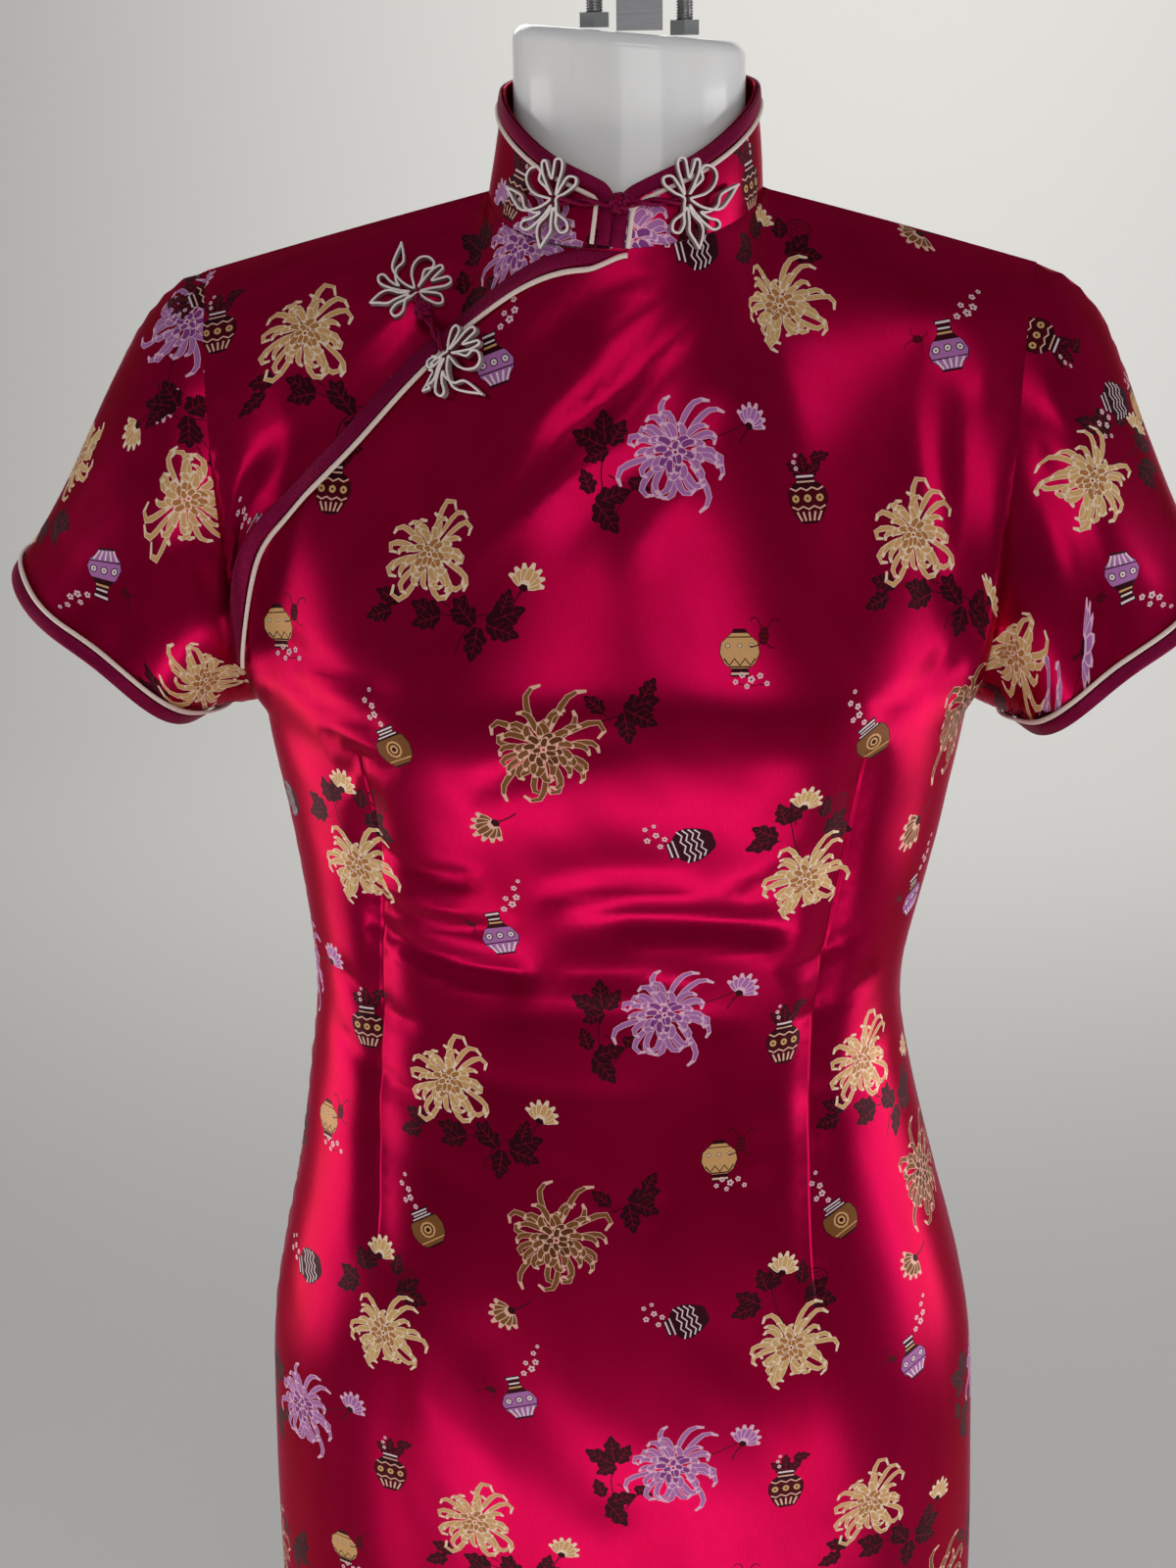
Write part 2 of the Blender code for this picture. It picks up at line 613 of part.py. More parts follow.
def sleeve_panel(hand, name, satin):
    q = sleeve_spokes(hand)
    r = np.linspace(0, 1, SLEEVE_RINGS)
    q, r = np.meshgrid(q, r, indexing="ij")
    outside = sleeve(hand, q, r)
    inside = outside - sleeve_normal(hand, q, r) * CLOTH
    edges = ("first_row",)
    return wall(name, draw_back(outside, edges, SLEEVE_GAP), draw_back(inside, edges, SLEEVE_GAP),
                satin, ring=True)


def collar_columns():
    """The collar's columns, which meet those of the neckline, with the band's two free ends."""
    u = columns_across()
    share = u[(u > -1e-9) & (u < NECK_SHARE + 1e-9)] / NECK_SHARE / 2
    half = np.concatenate([share, 1 - share[-2::-1]])
    half[-1] = 1 - COLLAR_END
    return np.concatenate([-half[:0:-1], half])


def collar_band(satin):
    w = collar_columns()
    k = np.linspace(0, 1, 4)
    w, k = np.meshgrid(w, k, indexing="ij")
    outside = collar(w, k)
    inside = outside - collar_normal(w, k) * CLOTH
    edges = ("first_row",)
    return wall("collar_band", draw_back(outside, edges), draw_back(inside, edges), satin)


# ---- trims that lie on a panel ------------------------------------------------------------------
def tangents(surface, a, b, step=0.002):
    """The surface's two tangent vectors, per unit of its parameters."""
    along = (surface(a + step, b) - surface(a - step, b)) / (2 * step)
    up = (surface(a, b + step) - surface(a, b - step)) / (2 * step)
    return along, up


def slide(surface, a, b, move, steps=4):
    """Parameters of the point reached from (a, b) by a small move along the surface."""
    part = move / steps
    for _ in range(steps):
        along, up = tangents(surface, a, b)
        aa = np.sum(along * along, -1)
        bb = np.sum(up * up, -1)
        ab = np.sum(along * up, -1)
        ma = np.sum(along * part, -1)
        mb = np.sum(up * part, -1)
        scale = np.maximum(aa * bb - ab * ab, 1e-12)
        a = a + (bb * ma - ab * mb) / scale
        b = b + (aa * mb - ab * ma) / scale
    return a, b


def inset(surface, away, a, b, width, ring=False):
    """A path moved to its left along the surface, as seen from outside."""
    points = surface(a, b)
    ahead = unit(np.roll(points, -1, 0) - points)
    behind = np.roll(ahead, 1, 0)
    if not ring:
        ahead[-1] = behind[-1]
        behind[0] = ahead[0]
    run = (ahead + behind) / 2
    mitre = 1 / np.maximum(np.linalg.norm(run, axis=-1, keepdims=True), 0.5)
    move = unit(np.cross(away(a, b), unit(run))) * width * mitre
    return slide(surface, a, b, move)


FLAT_SECTION = ((0, 0), (0, 1), (1, 1), (1, 0))
ROUND_SECTION = ((0, 0), (0, 0.6), (0.28, 1), (0.72, 1), (1, 0.6), (1, 0))


def trim(name, surface, away, path, widths, heights, section, finish, ring=False):
    """A strip along a path: widths from the path, heights above the cloth, and its cross section."""
    a, b = path
    near, far = widths
    low, high = heights
    corners = []
    for share, rise in section:
        ca, cb = inset(surface, away, a, b, near + (far - near) * share, ring)
        height = np.broadcast_to(low + (high - low) * rise, a.shape)
        corners.append(surface(ca, cb) + away(ca, cb) * height[..., None])
    return tube(name, np.stack(corners, 1), finish, ring)


def tube(name, rings, finish, ring=False):
    """A closed solid through equal rings of corners, one ring a station."""
    stations, corners = rings.shape[:2]
    faces = []
    for i in range(stations if ring else stations - 1):
        for j in range(corners):
            after = (i + 1) % stations
            side = (j + 1) % corners
            faces.append((i * corners + j, i * corners + side, after * corners + side,
                          after * corners + j))
    if not ring:
        faces.append(tuple(range(corners)))
        faces.append(tuple((stations - 1) * corners + j for j in reversed(range(corners))))
    return from_faces(name, rings.reshape(-1, 3), faces, finish, sharp=40.0)


def front_away(u, v):
    return body_normal(-1, inner(u, -1, 1, 0.002), np.minimum(v, 1.995))


def flap_trims(binding, piping):
    run = 1 - (1 - np.linspace(0, 1, FLAP_STATIONS)) ** 1.5
    u = UNDERLAP_END + (FLAP_TRIM_END - UNDERLAP_END) * run
    path = (u, flap_top(u) - 0.004)
    low = TRIM_LIFT + ARMHOLE_LIFT * smooth((-u - 0.42) / 0.15)
    trim("flap_binding", front_skin, front_away, path, (0.0, BINDING_WIDTH),
         (low, low + BINDING_THICK), FLAT_SECTION, binding)
    trim("flap_piping", front_skin, front_away, path,
         (BINDING_WIDTH + TRIM_GAP, BINDING_WIDTH + TRIM_GAP + PIPING_WIDTH),
         (low, low + PIPING_THICK), ROUND_SECTION, piping)


def sleeve_trims(hand, wearer_side, binding, piping):
    q = sleeve_spokes(hand)[::-1] if hand < 0 else sleeve_spokes(hand)
    path = (q, 0.997 + 0 * q)

    def skin(a, b):
        return sleeve(hand, a % 1.0, b)

    def away(a, b):
        return sleeve_normal(hand, a % 1.0, b)

    trim("sleeve_binding_" + wearer_side, skin, away, path, (0.0, SLEEVE_BINDING_WIDTH),
         (SLEEVE_TRIM_LIFT, SLEEVE_TRIM_LIFT + BINDING_THICK), FLAT_SECTION, binding, ring=True)
    near = SLEEVE_BINDING_WIDTH + TRIM_GAP
    trim("sleeve_piping_" + wearer_side, skin, away, path, (near, near + PIPING_WIDTH),
         (SLEEVE_TRIM_LIFT, SLEEVE_TRIM_LIFT + PIPING_THICK), ROUND_SECTION, piping, ring=True)


def collar_edge():
    """The collar's free edge, up one end, round the top and down the other end."""
    rise = np.array([0.08, 0.34, 0.60])
    round_w = collar_columns()
    end = round_w[-1]
    w = np.concatenate([-end + 0 * rise, round_w, end + 0 * rise])
    k = np.concatenate([rise, 0.998 + 0 * round_w, rise[::-1]])
    return w, k


def collar_trims(binding, piping):
    path = collar_edge()
    trim("collar_binding", collar, collar_normal, path, (0.0, COLLAR_BINDING_WIDTH),
         (TRIM_LIFT, TRIM_LIFT + BINDING_THICK), FLAT_SECTION, binding)
    near = COLLAR_BINDING_WIDTH + TRIM_GAP
    trim("collar_piping", collar, collar_normal, path, (near, near + PIPING_WIDTH * 0.85),
         (TRIM_LIFT, TRIM_LIFT + PIPING_THICK), ROUND_SECTION, piping)


def flower_outline(petals, turn, mirror):
    """The cord's line in the flower's own plane: out and back round each loop in order."""
    line = []
    for direction, length, half_width in petals:
        angle = math.radians(direction)
        for t in np.linspace(0.0, 1.0, PETAL_STATIONS):
            out = math.sin(math.pi * t) ** 0.7
            along = FROG_HEART + (length - FROG_HEART) * out
            across = -math.cos(math.pi * t) * half_width * (0.36 + 0.64 * out)
            x = along * math.cos(angle) - across * math.sin(angle)
            y = along * math.sin(angle) + across * math.cos(angle)
            line.append((x, y * mirror))
    line = np.array(line)
    c, s = math.cos(turn), math.sin(turn)
    return line @ np.array([[c, s], [-s, c]])


def frog_flower(name, surface, away, centre, knot_point, mirror, base, finish):
    """A flower of cord standing on edge round its centre, open on the side of its knot."""
    a0 = np.array(float(centre[0]))
    b0 = np.array(float(centre[1]))
    out = away(a0, b0)
    right = unit(np.cross(UPWARD, out))
    above = np.cross(out, right)
    toward = knot_point - surface(a0, b0)
    line = flower_outline(FROG_PETALS, math.atan2(toward @ above, toward @ right), mirror)
    run = unit(np.roll(line, -1, 0) - np.roll(line, 1, 0))
    side = np.stack([-run[:, 1], run[:, 0]], -1) * FROG_THICK / 2
    corners = []
    for flat, height in ((line - side, base), (line - side, base + FROG_HEIGHT),
                         (line + side, base + FROG_HEIGHT), (line + side, base)):
        move = flat[:, :1] * right + flat[:, 1:] * above
        a, b = slide(surface, a0 + 0 * flat[:, 0], b0 + 0 * flat[:, 0], move)
        corners.append(surface(a, b) + away(a, b) * height)
    return tube(name, np.stack(corners, 1), finish, ring=True)


def spot(surface, away, centre, height):
    a = np.array(float(centre[0]))
    b = np.array(float(centre[1]))
    return surface(a, b) + away(a, b) * height


def knot(name, centre, out, finish):
    """A cord ball button, flattened towards the cloth."""
    bpy.ops.mesh.primitive_uv_sphere_add(segments=12, ring_count=8, radius=KNOT_RADIUS)
    ball = bpy.context.object
    ball.scale = (1.0, 1.0, KNOT_FLATNESS)
    ball.rotation_euler = Vector(out).to_track_quat("Z", "Y").to_euler()
    ball.location = centre
    adopt(ball, name, finish)
    ball.data.shade_smooth()


def adopt(made, name, finish):
    """Name an operator's object, give it its finish and move it to the garment's collection."""
    made.name = name
    made.data.name = name
    made.data.materials.append(finish)
    for group in list(made.users_collection):
        group.objects.unlink(made)
    GARMENT.objects.link(made)
    return made


def cord(name, points, radius, finish):
    """A short length of cord as a bevelled curve."""
    curve = bpy.data.curves.new(name, "CURVE")
    curve.dimensions = "3D"
    curve.bevel_depth = radius
    curve.bevel_resolution = 2
    curve.use_fill_caps = True
    line = curve.splines.new("POLY")
    line.points.add(len(points) - 1)
    for point, place in zip(line.points, points):
        point.co = (*map(float, place), 1.0)
    return add_object(name, curve, finish)


def close_frog(place, flowers, middle, out, ribbon, binding):
    """One frog closure: two flowers, the knot between them, and the cord from each to the knot."""
    knot("frog_knot_" + place, middle, out, binding)
    for name, surface, away, centre, base, mirror in flowers:
        frog_flower("frog_flower_" + name, surface, away, centre, middle, mirror, base, ribbon)
        end = spot(surface, away, centre, base + FROG_CORD_LIFT + LOOP_RADIUS)
        back = unit(middle - end)
        points = [end + back * FROG_CORD_STOP, middle - back * (KNOT_RADIUS + GAP)]
        cord("frog_loop_" + name, points, LOOP_RADIUS, binding)


def frogs(ribbon, binding):
    """Two frog closures: one across the collar's ends, one over the flap's edge."""
    over_trims = TRIM_LIFT + GAP + PIPING_THICK
    around, up = COLLAR_FROG
    flowers = (("collar_right", collar, collar_normal, (-around, up), over_trims, 1),
               ("collar_left", collar, collar_normal, (around, up), over_trims, -1))
    rise = over_trims + KNOT_RADIUS * KNOT_FLATNESS
    middle = spot(collar, collar_normal, (1 - COLLAR_END, up), rise + GAP)
    middle[0] = LEAN_SHIFT(middle[2])
    close_frog("collar", flowers, middle, (0, -1, 0.12), ribbon, binding)
    flowers = (("chest_upper", front_under_skin, front_away, CHEST_FROG_UPPER, GAP, 1),
               ("chest_lower", front_skin, front_away, CHEST_FROG_LOWER, over_trims, -1))
    middle = spot(front_skin, front_away, CHEST_FROG_KNOT, rise)
    out = front_away(np.array(CHEST_FROG_KNOT[0]), np.array(CHEST_FROG_KNOT[1]))
    close_frog("chest", flowers, middle, out, ribbon, binding)


def front_under_skin(u, v):
    """The underlap's outer surface."""
    skin = body(-1, u, v)
    return skin - front_away(u, v) * underlap_inset(skin, u)[..., None]


# ---- the form and its stand ---------------------------------------------------------------------
def form_point(side, u, v):
    """The form's skin, inside the cloth and its deepest folds, and close to it at the shoulders."""
    seat = smooth((v - 1.72) / 0.25) * smooth((np.abs(u) - NECK_SHARE - 0.03) / 0.14)
    over_underlap = smooth((0.08 - u) / 0.08) if side < 0 else smooth((-u - 0.85) / 0.15)
    under = smooth((v - 0.90) / 0.08) * over_underlap
    under = under * (1 - smooth((v - 1.8) / 0.2) * smooth((-u - 0.2) / 0.16))
    deep = FORM_CLEARANCE + (CLOTH + UNDERLAP_GAP + UNDERLAP_TUCK) * under
    deep = CLOTH + deep + (FORM_SEAT - deep) * seat
    return body(side, u, v, creased=False) - body_normal(side, u, v) * deep[..., None]


def dress_form(plastic):
    u = columns_across()
    v = np.concatenate([lower_rows(FORM_BOTTOM, FORM_SKIRT_ROWS), np.linspace(1, 2, UPPER_ROWS + 1)])
    chest = len(v) - UPPER_ROWS - 1
    grids = {}
    for side in (-1, 1):
        gu, gv = np.meshgrid(u, v, indexing="ij")
        grids[side] = form_point(side, gu, gv)
    points = []
    faces = []

    def add_grid(grid):
        start = len(points)
        columns, rows = grid.shape[:2]
        points.extend(grid.reshape(-1, 3))
        for i in range(columns - 1):
            for j in range(rows - 1):
                corner = start + i * rows + j
                faces.append((corner, corner + rows, corner + rows + 1, corner + 1))

    add_grid(grids[-1])
    add_grid(grids[1])
    rim = np.concatenate([grids[-1][:, 0], grids[1][::-1, 0][1:-1]])
    tuck = mix(rim, rim.mean(0), 0 * rim[:, 0] + 0.10) - np.array([0, 0, FORM_FOOT])
    add_grid(closed(np.stack([rim, mix(rim, tuck, 0 * rim[:, 0] + 0.4) - [0, 0, FORM_FOOT * 0.35],
                              tuck], 1)))
    faces.append(tuple(range(len(points), len(points) + len(tuck))))
    points.extend(tuck)
    for column in (0, -1):
        loop = np.concatenate([grids[-1][column, chest:], grids[1][column, chest:][::-1][1:-1]])
        hand = math.copysign(1.0, loop[0, 0])
        middle = loop.mean(0)
        rings = [loop]
        for share, bulge in ((0.12, 0.55), (0.35, 0.85), (0.65, 1.0)):
            rings.append(mix(loop, middle, 0 * loop[:, 0] + share) + [hand * STUMP_BULGE * bulge, 0, 0])
        add_grid(closed(np.stack(rings, 1)))
        faces.append(tuple(range(len(points), len(points) + len(loop))))
        points.extend(rings[-1])
    inside = np.abs(u) <= NECK_SHARE + 1e-9
    ring = np.concatenate([grids[-1][inside, -1], grids[1][inside, -1][::-1][1:-1]])
    round_x = ring[:, 0] - LEAN_SHIFT(ring[:, 2])
    angle = np.arctan2(round_x / NECK_HALF, -ring[:, 1] / NECK_FRONT[0])
    rings = [ring]
    for rise, share in ((0.30, 0.72), (0.62, 0.96), (1.0, 1.0)):
        rings.append(mix(ring, neck_top(angle, 0.0, NECK_BEVEL), 0 * angle + share))
        rings[-1][:, 2] = ring[:, 2] + (neck_top(angle, 0.0, NECK_BEVEL)[:, 2] - ring[:, 2]) * rise
    for bend in (0.35, 0.7, 1.0):
        drop = NECK_BEVEL * (1 - math.sin(bend * math.pi / 2))
        rings.append(neck_top(angle, NECK_BEVEL * (1 - math.cos(bend * math.pi / 2)), drop))
    add_grid(closed(np.stack(rings, 1)))
    faces.append(tuple(range(len(points), len(points) + len(angle))))
    points.extend(rings[-1])
    return from_faces("dress_form", points, faces, plastic, sharp=70.0)


def closed(grid):
    return np.concatenate([grid, grid[:1]])


def neck_top(angle, inward, drop):
    """A ring of the neck's cut top, drawn inward and down from its full size."""
    x = NECK_SHIFT + (NECK_TOP_HALF[0] - inward) * np.sin(angle)
    y = -(NECK_TOP_HALF[1] - inward) * np.cos(angle)
    return np.stack([x, y, neck_height(x) - drop], -1)


def turned(name, profile, finish):
    """A ring turned round the upright axis from a closed profile of radius and height."""
    mesh = bpy.data.meshes.new(name)
    points = [(radius, 0.0, height) for radius, height in profile]
    count = len(points)
    mesh.from_pydata(points, [(i, (i + 1) % count) for i in range(count)], [])
    made = add_object(name, mesh, finish)
    screw = made.modifiers.new("turn", "SCREW")
    screw.steps = TURN_STEPS
    screw.render_steps = TURN_STEPS
    screw.use_merge_vertices = True
    screw.merge_threshold = 0.00001
    return made


def cylinder(name, radius, low, high, finish, centre=(0.0, 0.0), sides=24, bevel=0.0, turn=0.0):
    bpy.ops.mesh.primitive_cylinder_add(vertices=sides, radius=radius, depth=high - low)
    made = adopt(bpy.context.object, name, finish)
    made.location = (centre[0], centre[1], (low + high) / 2)
    made.rotation_euler = (0, 0, turn)
    if bevel:
        edge = made.modifiers.new("edge", "BEVEL")
        edge.width = bevel
        edge.segments = 2
    return made


def neck_height(x):
    """Height of the neck's cut top."""
    return NECK_TOP_HEIGHT - NECK_TOP_TILT * (x - NECK_SHIFT)


def neck_fittings(steel):
    """Two threaded studs with their nuts, and the slotted strap between them."""
    middle_x, middle_y = NECK_MIDDLE
    half_nut = NUT_ACROSS / math.sqrt(3)
    for hand, name in ((-1, "right"), (1, "left")):
        x = middle_x + hand * STUD_OUT
        seat = neck_height(x - half_nut) + GAP
        cylinder("neck_stud_" + name, STUD_RADIUS, seat, seat + STUD_LENGTH, steel, (x, middle_y), 16)
        nut = cylinder("neck_nut_" + name, half_nut, seat, seat + NUT_HEIGHT, steel, (x, middle_y), 6)
        hole = cylinder("neck_nut_hole_" + name, STUD_RADIUS + GAP, seat - 0.01, seat + 0.03, steel,
                        (x, middle_y), 16)
        as_cutter(hole)
        cut = nut.modifiers.new("hole", "BOOLEAN")
        cut.object = hole
        cut.operation = "DIFFERENCE"
    foot = neck_height(middle_x - STRAP_WIDTH / 2) + GAP
    curve = bpy.data.curves.new("neck_strap", "CURVE")
    curve.dimensions = "2D"
    curve.fill_mode = "BOTH"
    curve.extrude = STRAP_THICK / 2
    width, length = STRAP_SLOT
    half = STRAP_WIDTH / 2
    outline = [(-half, 0.0), (half, 0.0)] + arc(0, STRAP_HEIGHT - half, half, 0, 180)
    slot = arc(0, STRAP_HEIGHT - half, width / 2, 0, 180)
    slot += arc(0, STRAP_HEIGHT - half - length + width, width / 2, 180, 360)
    for loop in (outline, slot):
        line = curve.splines.new("POLY")
        line.use_cyclic_u = True
        line.points.add(len(loop) - 1)
        for point, (x, y) in zip(line.points, loop):
            point.co = (x, y, 0.0, 1.0)
    strap = add_object("neck_strap", curve, steel)
    strap.rotation_euler = (math.pi / 2, 0, 0)
    strap.location = (middle_x, middle_y, foot)


def arc(x, y, radius, start, end, steps=8):
    turns = [math.radians(start + (end - start) * i / steps) for i in range(steps + 1)]
    return [(x + radius * math.cos(t), y + radius * math.sin(t)) for t in turns]


def as_cutter(made):
    made.hide_render = True
    made.display_type = "WIRE"
    GARMENT.objects.unlink(made)
    CUTTERS.objects.link(made)


def stand(steel):
    """Round base, pole, the socket that holds the pole and the flange under the form."""
    cylinder("stand_base", BASE_RADIUS, 0.0, BASE_THICK, steel, sides=48, bevel=0.002)
    top = FORM_BOTTOM - FORM_FOOT - GAP
    cylinder("stand_pole", POLE_RADIUS, BASE_THICK + GAP, top, steel)
    bore = POLE_RADIUS + GAP
    low = BASE_THICK + GAP
    turned("stand_socket", ((bore, low + SOCKET_HEIGHT), (SOCKET_RADIUS, low + SOCKET_HEIGHT),
                            (SOCKET_RADIUS, low), (bore, low)), steel)
    under = top - FLANGE_THICK
    turned("stand_flange", ((bore, top), (FLANGE_RADIUS, top), (FLANGE_RADIUS, under),
                            (SOCKET_RADIUS, under), (SOCKET_RADIUS, under - SOCKET_HEIGHT),
                            (bore, under - SOCKET_HEIGHT)), steel)


# ---- run ----------------------------------------------------------------------------------------
for old in list(bpy.data.objects):
    bpy.data.objects.remove(old, do_unlink=True)

GARMENT = collection("cheongsam_on_dress_form")
CUTTERS = collection("cutters")
SATIN = material("crimson_satin", (0.40, 0.002, 0.028), 0.3)
BINDING = material("maroon_binding", (0.16, 0.004, 0.045), 0.45)
PIPING = material("cream_piping", (0.90, 0.72, 0.62), 0.5)
RIBBON = material("cream_ribbon", (0.62, 0.50, 0.45), 0.5)
PLASTIC = material("white_form", (0.80, 0.79, 0.76), 0.2)
STEEL = material("steel", (0.45, 0.45, 0.44), 0.3, 1.0)

front_panel(SATIN)
front_underlap(SATIN)
back_panel(SATIN)
collar_band(SATIN)
flap_trims(BINDING, PIPING)
collar_trims(BINDING, PIPING)
for hand, wearer_side in ((-1, "right"), (1, "left")):
    sleeve_panel(hand, "sleeve_" + wearer_side, SATIN)
    sleeve_trims(hand, wearer_side, BINDING, PIPING)
frogs(RIBBON, BINDING)
dress_form(PLASTIC)
neck_fittings(STEEL)
stand(STEEL)
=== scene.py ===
"""Looks of a brocade satin cheongsam on its dress form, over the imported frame.

Metres, +Z up; the dress faces -Y and +X is the wearer's left. The cloth's surfaces are the same
functions of two parameters that shape the solids. Each panel is cut flat, in cloth coordinates
measured along the fabric, its woven motifs are drawn there as outlines, and one triangulation of
panel and motifs together is laid on the surface, so that the figures lie in the cloth.
"""

import math

import bmesh
import bpy
import numpy as np
from mathutils import Matrix, Vector
from mathutils.geometry import delaunay_2d_cdt


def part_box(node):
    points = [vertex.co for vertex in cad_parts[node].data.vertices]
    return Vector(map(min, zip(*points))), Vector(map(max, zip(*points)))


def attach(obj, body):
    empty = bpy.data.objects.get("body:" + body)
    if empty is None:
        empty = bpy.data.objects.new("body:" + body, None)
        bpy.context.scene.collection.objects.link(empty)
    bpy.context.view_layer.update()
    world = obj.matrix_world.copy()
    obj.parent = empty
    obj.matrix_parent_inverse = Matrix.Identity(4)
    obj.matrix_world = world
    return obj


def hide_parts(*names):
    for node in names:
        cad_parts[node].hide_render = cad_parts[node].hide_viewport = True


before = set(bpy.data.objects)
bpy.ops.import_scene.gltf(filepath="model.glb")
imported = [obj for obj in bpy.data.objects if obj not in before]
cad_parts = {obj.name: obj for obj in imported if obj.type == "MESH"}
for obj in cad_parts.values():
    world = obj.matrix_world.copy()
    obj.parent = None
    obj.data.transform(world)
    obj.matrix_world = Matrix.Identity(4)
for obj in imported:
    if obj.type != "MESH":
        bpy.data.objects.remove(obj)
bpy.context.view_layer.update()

# ---- the garment's sizes, as in the solids -------------------------------------------------------
CLOTH = 0.0015          # thickness of the lined satin wall
GAP = 0.0003            # clearance between pieces that touch
HEM_HEIGHT = 0.470
CHEST_HEIGHT = 1.165    # level of the underarm, where the armholes start
SQUARENESS = 2.3        # exponent of the body's rounded sections

BODY_SECTIONS = (       # height, half width, front depth, back depth
    (0.470, 0.186, 0.098, 0.104),
    (0.560, 0.193, 0.104, 0.115),
    (0.645, 0.1966, 0.109, 0.125),
    (0.750, 0.1945, 0.113, 0.131),
    (0.826, 0.189, 0.113, 0.127),
    (0.874, 0.179, 0.110, 0.117),
    (0.922, 0.167, 0.105, 0.103),
    (0.968, 0.158, 0.099, 0.090),
    (1.013, 0.1524, 0.096, 0.083),
    (1.057, 0.157, 0.098, 0.083),
    (1.100, 0.164, 0.104, 0.087),
    (1.165, 0.174, 0.113, 0.095),
    (1.220, 0.180, 0.118, 0.099),
)
LEAN = (                # height, how far the stance carries the body towards +X there
    (0.470, -0.0010), (0.826, -0.0012), (0.922, -0.0034), (1.013, -0.0054), (1.060, -0.0030),
    (1.100, -0.0010), (1.165, 0.0002), (1.280, 0.0016), (1.374, 0.0034), (1.410, 0.0078),
    (1.480, 0.0098),
)
BUST_REACH = 0.011      # how far the bust stands out of the body's section
BUST_SIDE = 0.080
BUST_HEIGHT = 1.178
BUST_SPREAD = (0.052, 0.052)
BUST_FADE = 0.35        # share across over which the bust fades at the side seams

NECK_SHARE = 0.36       # share of the half panel whose columns end at the neckline
NECK_HALF = 0.0635
NECK_SIDE_HEIGHT = 1.409
NECK_FRONT = (0.068, 1.388)     # depth and height of the neckline at the centre front
NECK_BACK = (0.056, 1.417)      # the same at the centre back
SHOULDER_TIP = (0.195, 1.374)   # half width and height where the sleeve cap starts
SHOULDER_LIFT = 0.0005

COLUMN_RISE = 0.080     # how far a column keeps the body's slope above the chest
SLOPE_STEP = 0.004      # height over which that slope is read
ARM_COLUMNS = 0.62      # share across from which the columns bend to the armhole instead
ARMHOLE_START = (0.008, 0.085, 0.022)   # out, forward and up, from the underarm
COLUMN_ARRIVAL = {      # side: rows of share across, out, forward, down before the top edge
    -1: ((0.00, 0.000, 0.014, 0.070), (0.36, 0.002, 0.046, 0.040),
         (0.70, -0.002, 0.066, 0.034), (1.00, -0.012, 0.078, 0.040)),
    1: ((0.00, 0.000, 0.012, 0.055), (0.36, 0.002, 0.046, 0.034),
        (0.70, -0.002, 0.066, 0.034), (1.00, -0.012, 0.078, 0.040)),
}

SOFT_FOLDS = (          # side, start x, start z, end x, end z, half width, depth
    (-1, 0.117, 1.160, 0.098, 1.015, 0.012, 0.0030),
    (-1, 0.098, 1.015, 0.100, 0.890, 0.012, 0.0026),
    (-1, -0.117, 1.150, -0.112, 1.015, 0.012, 0.0026),
    (-1, -0.112, 1.015, -0.118, 0.890, 0.012, 0.0026),
    (-1, -0.020, 1.079, 0.083, 1.080, 0.016, 0.0022),
    (-1, -0.116, 1.066, -0.038, 1.051, 0.014, 0.0020),
    (-1, -0.010, 1.350, -0.083, 1.270, 0.016, 0.0024),
    (-1, -0.168, 1.175, -0.120, 1.150, 0.013, 0.0030),
    (1, 0.085, 1.120, 0.080, 0.900, 0.011, 0.0030),
    (1, -0.085, 1.120, -0.080, 0.900, 0.011, 0.0030),
    (1, -0.090, 1.034, 0.070, 1.040, 0.013, 0.0024),
    (1, -0.130, 1.190, -0.060, 1.290, 0.015, 0.0024),
    (1, 0.135, 1.185, 0.065, 1.300, 0.015, 0.0024),
)

DEEPEST_FOLD = 0.0034
FOLD_END = 0.2          # share of a soft fold's length over which each end fades
FOLD_FADE = 0.12        # share across over which soft folds fade at the side seams

FLAP_EDGE = (           # share across towards the wearer's right, height of the flap's edge
    (0.00, 1.3890), (0.08, 1.3872), (0.17, 1.3775), (0.28, 1.3623), (0.40, 1.3475), (0.48, 1.3290),
    (0.56, 1.3080), (0.66, 1.2895), (0.76, 1.2745), (0.86, 1.2590), (0.93, 1.2360), (0.97, 1.2060),
    (1.00, 1.1690),
)
FLAP_OVERLAP = 0.026    # how far the underlap runs on under the flap
FLAP_OVERLAP_END = 0.003    # the same at the armhole, and the share across where it has grown
FLAP_OVERLAP_RUN = 0.3
UNDERLAP_GAP = 0.0010   # between the flap and the underlap
UNDERLAP_TUCK = 0.0024  # how much deeper it lies beside the armhole
UNDERLAP_TUCK_START = 0.6   # share across where it starts to, and over which it does
UNDERLAP_TUCK_RUN = 0.3
UNDERLAP_END = -0.012   # where the underlap stops, just past the centre front
UNDERLAP_CLEAR = 0.008  # height above the flap's edge where it still lies that deep
UNDERLAP_BLEND = 0.030  # height over which the underlap comes up to the flap's level

SLIT_HEIGHT = 0.690     # top of the side slits
SLIT_SPREAD = 0.016     # how far each panel's edge draws back at the hem

